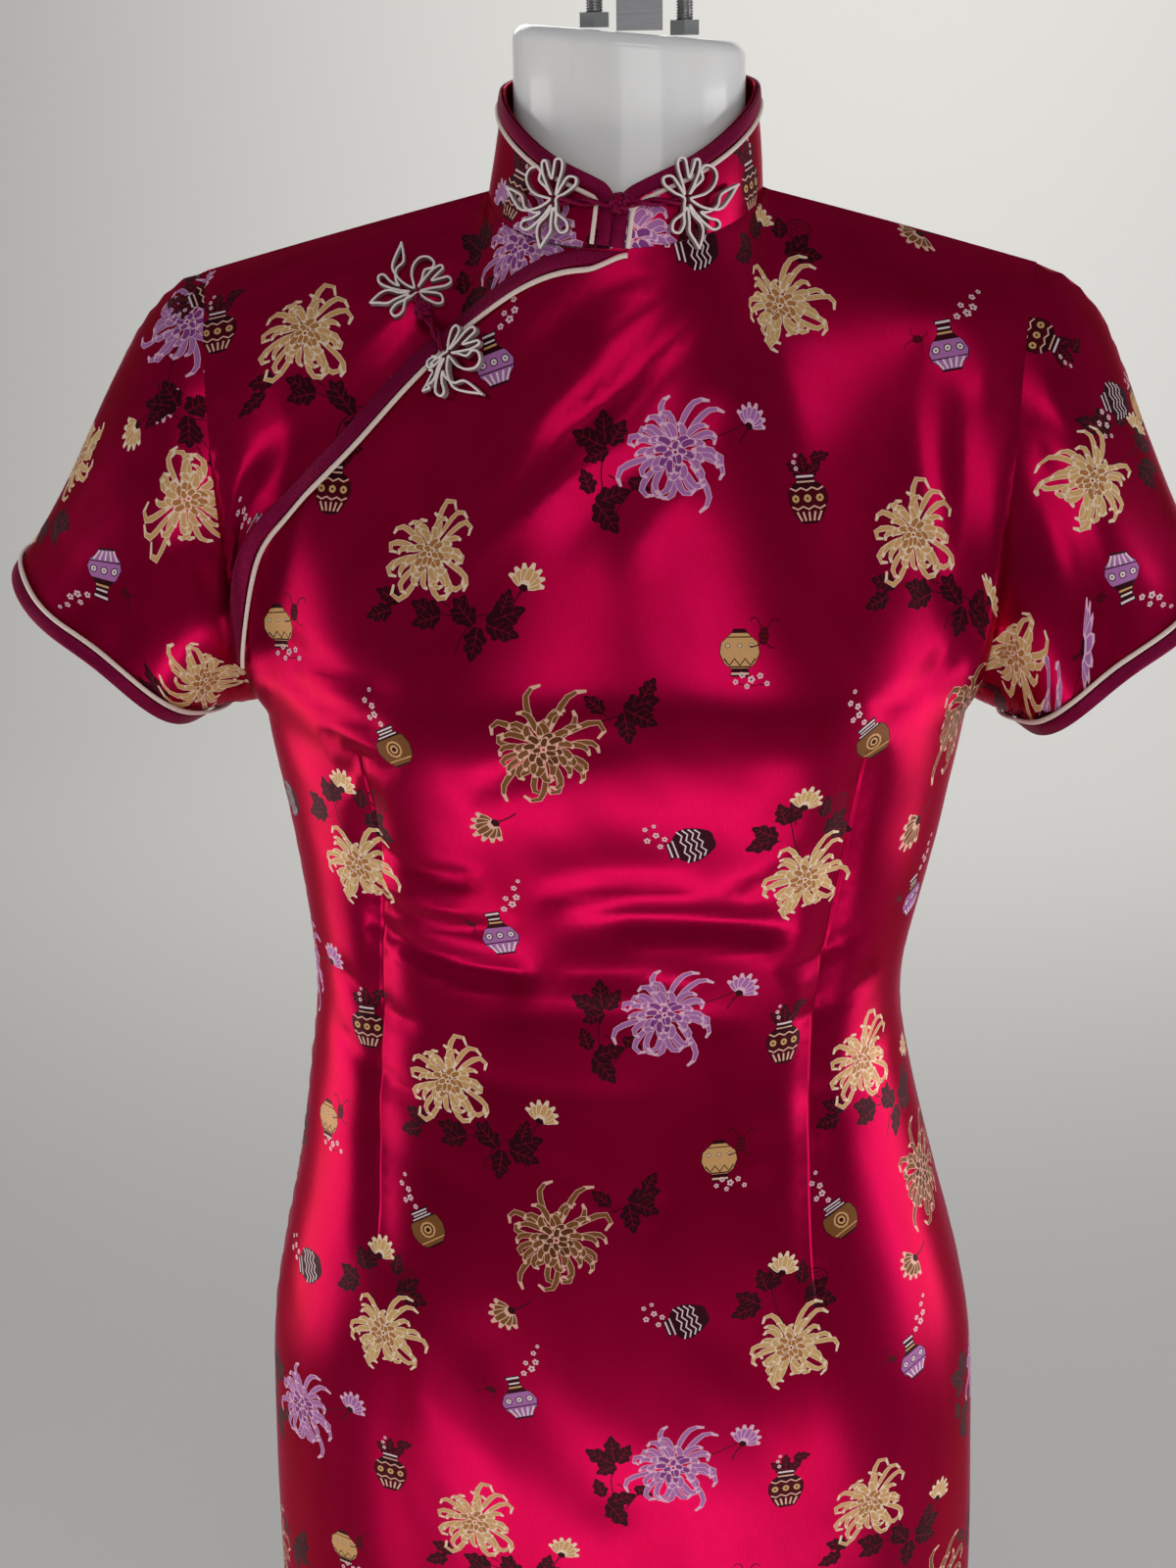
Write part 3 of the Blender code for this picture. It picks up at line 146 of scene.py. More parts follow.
SLEEVE_HEM_CENTRE = {-1: (0.2475, 1.1965), 1: (0.243, 1.1915)}   # out and height of its middle
SLEEVE_HEM_HALF = (0.0605, 0.070)       # half size across the opening, and front to back
SLEEVE_HEM_LEAN = math.radians(42.0)    # slope of the opening, measured from level
SLEEVE_WAVES = 3        # waves round the opening: count, reach and start
SLEEVE_WAVE_REACH = 0.0035
SLEEVE_WAVE_PHASE = 0.6
SLEEVE_OUT = (0.006, 0.038)     # how far a sleeve runs straight out of the armhole, and down,
SLEEVE_DOWN = (0.004, 0.006)    # at the underarm, and how much more over the shoulder
SLEEVE_FORWARD = 0.016          # the same forward in front and backward behind
SLEEVE_ENTER = (0.006, 0.052)   # how far it runs straight to its hem, as for the armhole

COLLAR_TOP_HALF = 0.0580
COLLAR_TOP_FRONT = 0.0610
COLLAR_TOP_BACK = 0.0520
COLLAR_FULL_RISE = 0.045    # height above the neckline at which the collar has those sizes
COLLAR_RISE = (         # share round from the centre front to the centre back, height of the band
    (0.00, 0.024), (0.035, 0.0275), (0.15, 0.0345), (0.32, 0.0425), (0.50, 0.0455), (1.00, 0.0440),
)
COLLAR_END = 0.012      # share of the round from the centre front to the collar's knot

BINDING_WIDTH = 0.0072
COLLAR_BINDING_WIDTH = 0.0060
BINDING_THICK = 0.0010
FLAP_TRIM_END = -0.975  # across, where the flap's trims tuck under the sleeve
TRIM_LIFT = 0.0006      # how far the trims lie above the cloth, which bends under them
SLEEVE_TRIM_LIFT = 0.0009
ARMHOLE_LIFT = 0.0010   # how much more by the armhole, where the cloth turns in
TRIM_GAP = 0.0007       # between a binding and its piping
SLEEVE_BINDING_WIDTH = 0.0065
PIPING_WIDTH = 0.0024
PIPING_THICK = 0.0018

FROG_THICK = 0.0013     # cord flowers: ribbon thickness, then its height above the cloth
FROG_HEIGHT = 0.0030
FROG_CORD_LIFT = 0.0009     # how far above the flower's foot the closing cord starts
KNOT_RADIUS = 0.0048
KNOT_FLATNESS = 0.72
COLLAR_FROG = (0.855, 0.50)        # round the collar and up it, of a flower's heart
CHEST_FROG_UPPER = (-0.464, 1.767)  # across and up the front, of the heart above the flap's edge
CHEST_FROG_KNOT = (-0.422, 1.719)
CHEST_FROG_LOWER = (-0.311, 1.663)
LOOP_RADIUS = 0.0016

FORM_CLEARANCE = 0.0042         # between the cloth's inside and the form, away from the seats
FORM_SEAT = 0.0004              # the same at the shoulders, where the dress hangs
FORM_WAIST_EASE = 0.0034        # more of it round the waist, where the cloth's creases are deep
FORM_BOTTOM = 0.735
NECK_TOP_HEIGHT = 1.4775
NECK_TOP_TILT = 0.095           # fall of the neck's cut top, per metre towards +X
NECK_TOP_HALF = (0.0530, 0.0500)
NECK_BEVEL = 0.007
STUMP_BULGE = 0.009             # how far the armhole caps stand out
FORM_FOOT = 0.012               # height of the rounded foot below the form's straight part

# ---- fineness of the meshes ----------------------------------------------------------------------
CHART_LINES = 400       # lines of a chart's tables back to the parameters, and rounds of look-up
CHART_ROUNDS = 14
BODY_COLUMNS = 97       # columns of a body panel's chart, and rows below and above the underarm
BODY_ROWS = (71, 41)
SLEEVE_LINES = (121, 31)    # lines of a sleeve's chart round and along it
COLLAR_LINES = (161, 15)    # the same of the collar's, round and up it
COLUMN_ROUNDS = 30      # halvings that find a height on a column, from this parameter up
COLUMN_START = 0.8
INSIDE_BATCH = 2000     # points looked at in one go
COVER_CELL = 0.006      # cell in which the figures over a place are looked for
LATTICE_CLEAR = 0.55    # least distance of inner points from an outline, in steps
MOTIF_MERGE = 0.06      # how near two corners of a motif may lie, in millimetres
CDT_MERGE = 8e-5        # how near two corners of a panel's mesh may lie, in metres
FINE_STEP = 0.0063      # spacing of the cloth's points outside, and inside where nothing shows
COARSE_STEP = 0.0120
NORMAL_STEP = 0.0015    # share of the parameters' span over which a fine normal is read
PLAIN_STEP = 0.004      # the same for the plain surfaces, in parameters
INNER_MARGIN = 0.006    # how far those normals are kept off the ends
ROW_MARGIN = 0.005      # the same along a sleeve and up the collar
BESIDE_ARMHOLE = 0.01   # along a sleeve and up the collar, where their seams' normals are read
BESIDE_NECKLINE = 0.02
NEAR = 0.001            # parameters this near an edge count as on it
EDGE_CORNERS = 60       # corners of the outlines: up a panel's sides and along its hem,
HALF_CORNERS = 40       # along half of its top, round a sleeve or the collar, up their ends
ROUND_CORNERS = 90
SLEEVE_END_CORNERS = 10
COLLAR_END_CORNERS = 8
UNDERLAP_CORNERS = (50, 12, 24)     # along the underlap's bottom, its middle end and its side
EDGE = 0.9994           # how near a panel's edge comes to its seam
SLEEVE_START = 0.0012   # along a sleeve and round it, where its cloth starts
SLEEVE_SEAM = 0.0004
COLLAR_START = 0.006    # up the collar, where its cloth starts

EASE_ROUNDS = 24        # rounds that even out the body's columns, off its top and side edges
EASE_TOP = 0.12
EASE_SIDE = 0.05
BODY_TABLE = (161, 241)     # rows and columns of the tables that hold the plain surfaces
SLEEVE_TABLE = (241, 41)
RIPPLE_WAVES = 9        # waves that make up the cloth's unevenness, and their share upright
RIPPLE_UPRIGHT = 0.55
RIPPLE_LENGTHS = (0.05, 0.16)
RIPPLE_REACH = 0.00045
CRINKLE_LENGTHS = (0.020, 0.048)    # the small ones, which come and go in patches
CRINKLE_REACH = 0.00013
PATCH_LENGTHS = (0.10, 0.22)
PATCH_SWING = 0.5
PATCH_SHARE = 0.45
SEEDS = {"body": 7, "collar": 17, "sleeve": 21}
PATCH_SEED = 100        # added to a seed for the patches and for the small waves
CRINKLE_SEED = 200
RELIEF_SIDE = 0.06      # over which creases fade at a panel's side edges and at its top
RELIEF_TOP = 0.05
SEAM_DIP = 0.0007       # dip along the seams
SEAM_DIP_WIDTH = 0.014
PUCKER_LOW = 0.80       # puckers beside the wearer's-right side seam, between these heights
PUCKER_HIGH = 1.16
PUCKER_FADE = 0.04
PUCKER_PITCH = 0.0085
PUCKER_DEPTH = 0.0011
PUCKER_OFF = 0.05       # share across from the seam to their middle, and their half width
PUCKER_HALF = 0.06
DARTS = (               # side, then height parameter and share across up each dart's seam
    (-1, ((0.55, 0.395), (0.61, 0.407), (0.73, 0.463), (0.78, 0.479), (0.82, 0.479), (0.864, 0.471),
          (0.918, 0.471), (0.994, 0.475), (1.03, 0.478))),
    (-1, ((0.60, -0.480), (0.65, -0.495), (0.74, -0.519), (0.82, -0.503), (0.90, -0.463),
          (0.979, -0.455), (1.03, -0.470))),
)
DART_REACH = 0.25       # metres along the cloth for a whole share across
DART_HALF = 0.0011      # the seam's narrow groove, then the wide dip that it lies in
DART_DEPTH = 0.0009
DART_DIP = 0.0012
DART_DIP_HALF = 0.010
DART_FADE = 0.05        # height parameter over which both fade at a dart's points
DART_STEP = 0.006       # the same between the mesh's points along a dart
DART_LINES = (-2.2, -1.1, 0.0, 1.1, 2.2)    # lines of the mesh along it, in groove half widths
CREASE_END = 0.3        # share of a crease's length over which each end fades

CREASES = (             # side, x0, z0, x1, z1, half width, depth, bow to the left: all in mm
    (-1, -160, 1197, 160, 1197, 26, -2.2, 0),
    (-1, -150, 1130, 150, 1130, 24, 1.5, 0),
    (-1, 3, 1373, -79, 1300, 9, 1.9, 4),
    (-1, 30, 1372, -60, 1270, 10, -1.6, 6),
    (-1, 36, 1356, -50, 1279, 8, 2.0, 0),
    (-1, 10, 1330, -90, 1262, 7, 1.3, 5),
    (-1, 20, 1310, -70, 1246, 7, -0.9, 6),
    (-1, 60, 1350, -20, 1262, 12, 1.4, 0),
    (-1, 66, 1330, 10, 1255, 9, -0.9, 0),
    (-1, 80, 1370, 30, 1290, 12, 1.4, -5),
    (-1, 10, 1180, -60, 1152, 8, 0.9, 4),
    (-1, 96, 1120, 60, 1096, 6, 1.0, -3),
    (-1, -120, 1120, -64, 1104, 6, 1.3, 4),
    (-1, -126, 1100, -70, 1086, 5, -0.8, 3),
    (-1, -120, 1090, -50, 1078, 6, 1.3, 5),
    (-1, 40, 1102, -30, 1096, 7, 0.9, 4),
    (-1, -20, 1052, 40, 1044, 6, 0.9, -3),
    (-1, 120, 1068, 84, 1052, 6, 1.2, -3),
    (-1, 128, 1040, 90, 1022, 6, 1.1, -4),
    (-1, -136, 1040, -96, 1018, 7, 1.3, 4),
    (-1, -140, 1004, -96, 980, 7, 1.2, 4),
    (-1, 138, 1000, 96, 978, 7, 1.1, -4),
    (-1, -30, 950, 30, 930, 10, 0.9, 6),
    (-1, 151, 1350, 150, 1237, 10, 1.6, 6),
    (-1, 168, 1330, 163, 1225, 8, -1.2, 4),
    (-1, -150, 1330, -158, 1230, 10, 1.4, -5),
    (-1, -161, 1217, -96, 1200, 7, 2.0, 4),
    (-1, -150, 1196, -100, 1180, 6, 1.4, 3),
    (-1, -132, 1173, -96, 1160, 6, 1.2, 2),
    (-1, 158, 1205, 122, 1185, 7, 1.6, -3),
    (-1, -116, 1072, -40, 1052, 6, 1.4, 5),
    (-1, -110, 1060, -50, 1046, 5, -0.9, 4),
    (-1, 0, 1083, 82, 1076, 7, 1.5, -4),
    (-1, 10, 1070, 78, 1064, 6, -0.8, -3),
    (-1, -60, 1030, 60, 1026, 9, 1.1, -4),
    (-1, -90, 1000, 20, 990, 9, 0.8, 5),
    (-1, -130, 960, -60, 930, 12, 1.0, 0),
    (-1, 60, 950, 130, 975, 12, 1.0, 0),
    (-1, -70, 870, 10, 760, 22, 1.4, 8),
    (-1, 60, 880, 110, 720, 20, 1.3, 6),
    (-1, -120, 840, -90, 600, 20, 1.6, 0),
    (-1, 20, 760, 40, 500, 22, 1.8, 0),
    (-1, 110, 700, 120, 500, 18, 1.6, 0),
    (1, -110, 1330, -60, 1230, 14, 1.6, 6),
    (1, 110, 1330, 60, 1230, 14, 1.6, -6),
    (1, -100, 1060, 90, 1052, 8, 1.4, 4),
    (1, -90, 1010, 100, 1002, 9, 1.4, -4),
    (1, -70, 960, 60, 955, 10, 1.0, 3),
    (1, -80, 860, -60, 560, 22, 1.8, 0),
    (1, 30, 840, 40, 520, 24, 1.8, 0),
    (1, 110, 820, 120, 560, 20, 1.6, 0),
)
ARMHOLE_STATIONS = 481      # places round the armhole where the sleeve's shift is found
ARMHOLE_EDGE = 0.995        # where under the body's edge a sleeve starts, and how deep
ARMHOLE_TUCK = 0.0003
ARMHOLE_BLEND = 0.10        # along the sleeve, where that shift has faded
HEM_WAVE = 0.0034           # the sleeve hems' waves: reach, count round the hem, start
HEM_WAVES = 4
HEM_PHASE = 0.9
HEM_WAVE_START = 0.3        # along the sleeve, where they start
SLEEVE_FADE = (0.12, 0.10)  # over which a sleeve's folds fade at the armhole and at the hem
COLLAR_FADE = 0.4           # the same for the collar's unevenness at both of its edges
SPREAD_START = 0.75         # share across from which the side edges draw back below the slit
SLEEVE_FOLDS = (        # hand, place round the sleeve, drift to the hem, half width, depth
    (-1, 0.36, 0.06, 0.030, 0.0014), (-1, 0.47, -0.05, 0.040, -0.0012),
    (-1, 0.24, 0.08, 0.028, 0.0016), (-1, 0.60, 0.02, 0.040, 0.0014),
    (1, 0.38, -0.06, 0.032, 0.0016), (1, 0.27, -0.10, 0.026, 0.0016),
    (1, 0.48, 0.04, 0.040, -0.0012), (1, 0.64, 0.03, 0.040, 0.0014),
)
FRONT_EASE = (          # along the even repeat, along the panel, ease across: in millimetres
    (-1100, -1160, 0.97), (-524, -626, 0.97), (-262, -381, 0.97), (0, -136, 1.0), (262, 143, 1.08),
    (524, 412, 1.08),
)
EVEN = ((-2000, -2000, 1.0), (2000, 2000, 1.0))
FRONT_ORIGIN = (31.0, 0.0)      # where each panel's repeat begins, across and along
UNDERLAP_ORIGIN = (-49.0, 94.0)
BACK_ORIGIN = (20.0, 60.0)
HANDS = ((-1, "right"), (1, "left"))
MOTIF_REACH = 55.0      # how far a motif reaches from its middle, in millimetres
PATTERN_TILES = 5       # repeats laid each way round a panel's origin
STRETCH_STEP = 0.005    # flat distance over which the stretch is read
STRETCH_LIMITS = (0.22, 8.0)    # squared stretches of the flat coordinates that are undone
STRETCH_EDGE = (0.4, 1.3)       # below both of these a place lies past a panel's edge

# ---- the brocade ---------------------------------------------------------------------------------
THREADS = {             # sRGB colours of the figures' threads
    "pink": (0.93, 0.74, 0.84), "lilac": (0.70, 0.45, 0.70), "violet": (0.52, 0.25, 0.54),
    "cream": (0.98, 0.88, 0.75), "straw": (0.86, 0.67, 0.44), "ochre": (0.72, 0.49, 0.27),
    "rose": (0.94, 0.75, 0.65), "bronze": (0.50, 0.33, 0.16), "umber": (0.36, 0.22, 0.10),
    "gold": (0.86, 0.70, 0.45), "white": (0.95, 0.87, 0.88), "blush": (0.97, 0.80, 0.82),
    "leaf": (0.12, 0.01, 0.04), "vein": (0.46, 0.02, 0.12), "stem": (0.24, 0.01, 0.06),
    # ribbon is the frog ribbon's cream inner face, painted grey as the shade that falls inside its
    # loops
    "shadow": (0.28, 0.00, 0.05), "binding": (0.42, 0.02, 0.16), "ribbon": (0.56, 0.50, 0.50),
    "ribbon_edge": (1.00, 0.95, 0.93),
}
CURL_START = 0.55       # share of a line's length after which it curls, and over which it does
CURL_RUN = 0.45
PETAL_EDGE = 0.33       # millimetres of light edge thread on each side of a petal
PETAL_TIP = 0.34        # least width of the edge as a share of the petal's, and of the filling in mm
PETAL_FILL = 0.18
FLOWER_STRAY = 0.16     # how far a petal's heading strays, and how much longer side petals are
FLOWER_WIDER = 0.16
FLOWER_PARTING = 0.45   # how strongly the petals part to the left and right of the top
FLOWER_BEND = (0.4, 1.2)        # spread of each petal's bend and curl
FLOWER_CURL = (0.3, 1.2)
FLOWER_RINGS = (        # count, start radius, length, width, bend, curl, spread of length
    (14, 7.0, 14.5, 2.5, 0.75, 2.8, 0.36),
    (15, 5.5, 10.0, 2.6, 0.70, 2.0, 0.22),
    (13, 4.2, 6.6, 2.9, 1.20, 0.9, 0.12),
    (9, 2.2, 5.4, 2.9, 1.50, 0.6, 0.10),
    (5, 0.5, 4.0, 2.6, 1.70, 0.4, 0.10),
)
HEART_START = 2.5       # rings that start nearer the middle than this are the deep heart
LEAF_POINTS = 11
LEAF_SCALE = 1.28
VASE_SCALE = 1.25
# Half width and height up each vase's outline, in millimetres.
JAR = ((2.4, -9.0), (4.0, -8.2), (6.0, -5.0), (7.6, -0.8), (7.4, 2.6), (5.4, 5.2), (3.6, 6.4),
       (3.4, 8.0), (4.4, 9.0))
GOURD = ((3.0, -9.4), (3.6, -8.6), (3.0, -6.8), (5.8, -4.6), (7.4, -1.0), (6.8, 2.6), (4.2, 5.0),
         (3.2, 6.0), (2.0, 7.6))
BOTTLE = ((3.6, -10.0), (4.2, -9.2), (4.0, -8.0), (6.8, -5.2), (7.6, -2.0), (6.0, 1.2), (3.2, 3.6),
          (2.4, 7.0), (3.4, 9.6))
ROUND_JAR = ((3.6, -8.2), (4.2, -7.4), (6.8, -4.6), (7.8, -0.8), (7.0, 2.8), (4.4, 5.0), (3.6, 6.0),
             (4.4, 7.4), (4.8, 8.0))
VASE_RIM = 0.35
# Kind of band, its height, its size (or the height where it ends) and its thread.
JAR_BANDS = (("fill", 3.4, 8.8, "leaf"), ("line", 8.2, 0.8, "white"), ("line", 6.3, 0.6, "rose"),
             ("zigzag", 3.6, 0.5, "rose"), ("discs", 0.2, 2.0, "straw"), ("zigzag", -3.2, 0.5, "rose"),
             ("stripes", -7.9, -4.6, "rose"))
GOURD_BANDS = (("fill", -8.9, -6.4, "leaf"), ("line", -8.3, 0.8, "rose"), ("zigzag", -4.2, 1.2, "leaf"),
               ("line", -5.9, 0.5, "leaf"), ("discs", 1.6, 0.9, "cream"), ("line", 4.6, 0.4, "leaf"))
BOTTLE_BANDS = (("fill", 2.0, 9.2, "leaf"), ("line", 8.6, 0.9, "white"), ("line", 6.2, 0.7, "white"),
                ("line", 4.4, 0.8, "straw"), ("discs", -1.4, 1.6, "white"), ("line", -4.4, 0.5, "leaf"),
                ("stripes", -9.0, -5.2, "white"))
ROUND_BANDS = (("fill", 3.6, 7.6, "leaf"), ("line", 7.0, 0.6, "white"), ("line", 5.8, 0.5, "white"),
               ("line", 4.6, 0.5, "white"), ("eye", -1.0, 3.4, "straw"), ("line", -5.6, 0.5, "straw"))
WAVE_BANDS = (("zigzag", 2.6, 0.7, "white"), ("zigzag", 0.4, 0.7, "white"),
              ("zigzag", -1.8, 0.7, "white"), ("zigzag", -4.0, 0.7, "white"),
              ("line", 6.0, 0.6, "white"), ("line", 8.0, 0.7, "white"))
VASES = {               # motif: outline, body's thread, bands, turn, then its parts from below
    "dark_vase": (JAR, "shadow", JAR_BANDS, 0, ("spray", "blossoms", "vase")),
    "gourd": (GOURD, "straw", GOURD_BANDS, 0, ("vase", "bow", "blossoms")),
    "lilac_vase": (BOTTLE, "lilac", BOTTLE_BANDS, 0.28, ("vase", "blossoms", "bow")),
    "tilted_vase": (JAR, "leaf", WAVE_BANDS, 1.9, ("vase", "blossoms")),
    "gold_vase": (ROUND_JAR, "bronze", ROUND_BANDS, 0.5, ("vase", "blossoms")),
}
BOWS = {"gourd": ((11, 6), -0.1), "lilac_vase": ((-14, 3), 1.2, 0.7)}   # place, turn and size
BLOSSOMS = {            # motif: the place and size of each blossom beside it
    "dark_vase": ((-3.5, 14, 0.7), (-4.2, 17, 0.7), (-3.0, 20, 0.6)),
    "gourd": ((1, -11, 0.9), (5, -13, 1.1), (9, -11.5, 0.9), (12, -15, 0.8), (3, -16, 0.8),
              (-2, -14, 0.8)),
    "lilac_vase": ((3, 14, 1.0), (7, 17, 1.2), (4, 20, 0.9), (9, 21, 1.1), (8, 26, 0.9),
                   (10, 30, 0.7)),
    "tilted_vase": ((-12, 3, 0.9), (-16, 5, 1.0), (-14, -1, 0.9), (-20, 2, 1.0), (-21, 8, 0.8),
                    (-17, 10, 0.7)),
    "gold_vase": ((-6, 10, 0.9), (-9, 14, 1.1), (-12, 12, 0.9), (-10, 18, 1.0), (-14, 20, 0.9),
                  (-12, 25, 0.7)),
}
FLOWERS = {             # motif: threads, seed, size, then the bud's place, turn and size
    "lilac_flower": (("pink", "lilac", "violet"), 11, 1.28, (36, 12), -0.5, 1.3),
    "cream_flower": (("cream", "straw", "ochre"), 23, 1.16, (46, -14), -0.4, 1.3),
    "brown_flower": (("rose", "bronze", "umber"), 37, 1.36, (-24, -40), 2.2, 1.45),
    "gold_flower": (("cream", "gold", "ochre"), 51, 1.14, (-4, 42), -0.3, 1.3),
}
SPRAYS = {              # motif: stems as x, y, direction, length, bend; leaves as x, y, direction, size
    "lilac_flower": (
        ((0, 0, 212, 46, 35), (-30, -20, 110, 16, -30), (-22, -14, 150, 8, 0), (10, 4, 15, 26, 10)),
        ((-30, 2, 150, 13), (-30, 4, 95, 12), (-29, 1, 205, 9), (-34, -22, 20, 12),
         (-34, -22, -55, 13), (-36, -18, 110, 9), (-20, -12, -30, 8), (-28, 3, 60, 10))),
    "cream_flower": (
        ((2, -12, -75, 16, 60), (6, -26, -10, 32, 25), (24, -30, -140, 16, 40), (36, -24, 60, 10, 20)),
        ((8, -27, 160, 12), (8, -27, 200, 11), (16, -30, 75, 10), (24, -31, 130, 12),
         (30, -30, 20, 14), (30, -31, -20, 12), (26, -32, -100, 12), (36, -26, 70, 9),
         (-16, -26, 200, 10), (-12, -22, 160, 10))),
    "brown_flower": (
        ((8, 6, 28, 44, -20), (30, 14, 130, 14, 20)),
        ((36, 19, 20, 13), (37, 19, -25, 12), (36, 18, -80, 12), (27, 18, 140, 9), (44, 24, 60, 9))),
    "gold_flower": (
        ((-2, 10, 118, 40, -30), (-14, 24, 190, 12, 20), (-10, 34, 40, 12, 30)),
        ((-16, 26, 200, 12), (-16, 26, 150, 11), (-12, 34, 60, 12), (-12, 33, 110, 10),
         (8, 24, 40, 12), (10, 26, -20, 12), (6, 34, 80, 9))),
    "dark_vase": (
        ((0, 8, 80, 10, -60), (0, 8, 110, 8, 50)),
        ((1, 11, 35, 7), (-1, 11, 140, 7), (4, 18, 10, 7), (0, 12, 90, 7))),
}
TILE = (                # motif, across and along from the lilac flower, in millimetres
    ("medallion", 77, -158), ("gold_vase", 91, -127), ("tilted_vase", 8, -173),
    ("lilac_vase", -80, -220), ("gourd", 27, -82), ("dark_vase", 60, -21),
    ("gold_flower", 62, -195), ("brown_flower", -56, -125), ("cream_flower", -107, -43),
    ("lilac_flower", 0, 0),
)
TILE_SIZE = (215.0, 262.0)
PLACED = {              # panels whose figures fall one by one: motif, across, along, turn
    "cloth_sleeve_right": (
        ("lilac_flower", -32, 9, 2.4), ("dark_vase", -17, -2, 0.3), ("gold_flower", -26, 96, 0.2),
        ("cream_flower", -116, 13, 0.6), ("lilac_vase", -90, 75, 0.5), ("gold_flower", -186, 22, 0.0),
        ("gourd", 22, 62, 0.2), ("brown_flower", 74, 40, 0.0), ("tilted_vase", 38, 12, 0.1),
        ("lilac_flower", 150, 30, 0.2), ("dark_vase", 118, 66, 0.0), ("cream_flower", 190, 62, 0.0),
    ),
    "cloth_sleeve_left": (
        ("gold_flower", -86, 43, -1.5), ("dark_vase", -44, 5, 0.2), ("lilac_vase", -89, 76, 0.4),
        ("lilac_flower", -160, 60, -0.4), ("gold_flower", -190, 12, 0.3), ("gourd", -12, 82, 0.2),
        ("cream_flower", 22, 36, 0.2), ("tilted_vase", -36, 58, 0.3), ("brown_flower", 96, 44, 0.0),
        ("gold_vase", 58, 82, 0.0), ("lilac_flower", 168, 30, 0.1), ("dark_vase", 134, 70, 0.0),
    ),
    "cloth_collar": (
        ("dark_vase", -138, 14, 0.0), ("lilac_flower", -164, -5, 0.0), ("lilac_flower", 194, 3, 0.5),
        ("dark_vase", 121, 11, 0.0), ("brown_flower", 50, 20, 0.3), ("cream_flower", -44, 22, 0.4),
        ("gourd", 4, 24, 0.0), ("lilac_vase", 84, 20, 0.0), ("gold_vase", -92, 22, 0.0),
    ),
}

# ---- trims and frogs -----------------------------------------------------------------------------
FLAP_STATIONS = 260         # stations along each trim
SLEEVE_STATIONS = 220
COLLAR_STATIONS = 200
COLLAR_END_STATIONS = 14
COLLAR_CORNER_STATIONS = 12
COLLAR_KNOT_UP = 0.74    # share of the band's height at the centre front
COLLAR_SPAN = (-0.988, 1.0105)  # round the collar, from its wearer's-right end to its left end
COLLAR_CORNER = 0.036       # how far its rounded front corners reach round it, and down it
COLLAR_CORNER_DROP = 0.22
COLLAR_TRIM_EDGE = 0.998    # up the collar, how near the trims come to its edge
COLLAR_TRIM_START = 0.04    # up the collar, where they start
COLLAR_PIPING_SHARE = 0.85  # its piping's width as a share of the others'
SLEEVE_TRIM_EDGE = 0.997    # along a sleeve, the line of its trims
FLAP_TRIM_EDGE = 0.004      # height parameter from the flap's edge down to its trims' line
FLAP_TRIM_START = 0.020     # across, where the flap's trims start narrow, and the run of widening
FLAP_TRIM_RUN = 0.070
FLAP_TRIM_NARROW = 0.05
FLAP_TRIM_CROWD = 1.25      # how much closer its stations stand towards the armhole
ARMHOLE_LIFT_START = 0.42   # across, where the trims rise to it, and over which they do
ARMHOLE_LIFT_RUN = 0.15
TRIM_MARGIN = 0.002         # share across that the normals under the trims keep off the edges
TANGENT_STEP = 0.002        # parameters over which a surface's tangents are read
SLIDE_STEPS = 3
FROG_LINE = (           # the ribbon's line round one flower in mm; +x points to the knot
    (1.4, 1.4), (5.4, 3.6), (9.4, 7.2), (9.6, 10.2), (6.2, 10.6), (3.4, 6.6), (1.2, 2.6),
    (1.6, 6.6), (3.4, 14.0), (2.8, 17.8), (0.2, 17.6), (-0.6, 13.2), (-1.3, 9.6), (-3.0, 13.0),
    (-4.6, 17.0), (-6.4, 16.2), (-5.8, 11.8), (-3.2, 6.4), (-1.2, 2.8),
    (-3.6, 5.6), (-7.4, 8.8), (-7.0, 12.4), (-9.2, 14.4), (-13.0, 13.2), (-14.6, 9.8), (-12.6, 5.6),
    (-8.6, 2.8), (-4.0, 1.6), (-1.6, 0.6),
    (-6.6, -2.6), (-12.6, -3.8), (-17.0, -3.2), (-21.6, 0.6), (-26.4, 5.6), (-26.8, 5.8), (-21.0, 4.2),
    (-16.4, 2.0), (-14.4, -2.4), (-9.4, -4.8), (-6.0, -4.8),
    (-9.8, -7.2), (-14.6, -8.4), (-15.4, -10.8), (-12.2, -12.0), (-8.0, -9.6), (-3.6, -5.4),
    (-1.0, -1.8), (-2.4, -5.8), (-6.2, -9.8), (-6.8, -14.0), (-5.0, -19.6), (-4.8, -19.8),
    (-3.0, -16.8), (-0.6, -13.0), (-0.6, -8.8), (0.1, -2.9),
    (2.2, -5.4), (6.2, -8.6), (6.8, -12.4), (4.0, -13.4), (1.8, -10.0), (1.7, -5.8), (1.4, -1.6),
)
FROG_STEPS = 5              # steps of the smooth line between two of those points
KNOT_STATIONS = 180
KNOT_LOOPS = 5              # waves of the knot's cord up and down, and its turns round the ball
KNOT_TURNS = 3
KNOT_SWING = 1.05
KNOT_CORD = 0.00115         # the cord's radius, and how far it weaves over and under itself
KNOT_WEAVE = 0.00045
KNOT_CORE = 1.5             # cord radii from the knot's outside to its core
COLLAR_KNOT_OUT = (0, -1, 0.12)
STRAND_RADIUS = 0.00105     # the closing cord's two strands, and how close they lie
STRAND_TOUCH = 0.98
STRAND_STATIONS = 26
STRAND_TWISTS = 2.0
STRAND_SIDES = 8
STRAND_START = 0.0028       # from the flower's heart, and into the knot
STRAND_HIDDEN = 0.0004
STUD_ROWS = 240
STUD_SIDES = 24
STUD_PITCH = 0.00125        # pitch and depth of the studs' thread, and its run-out at each end
STUD_THREAD = 0.00062
STUD_RUN_OUT = (0.0004, 0.0008)
FORM_NECK_COLUMNS = 20
FORM_SHOULDER_COLUMNS = 24
FORM_LOW_ROWS = 36
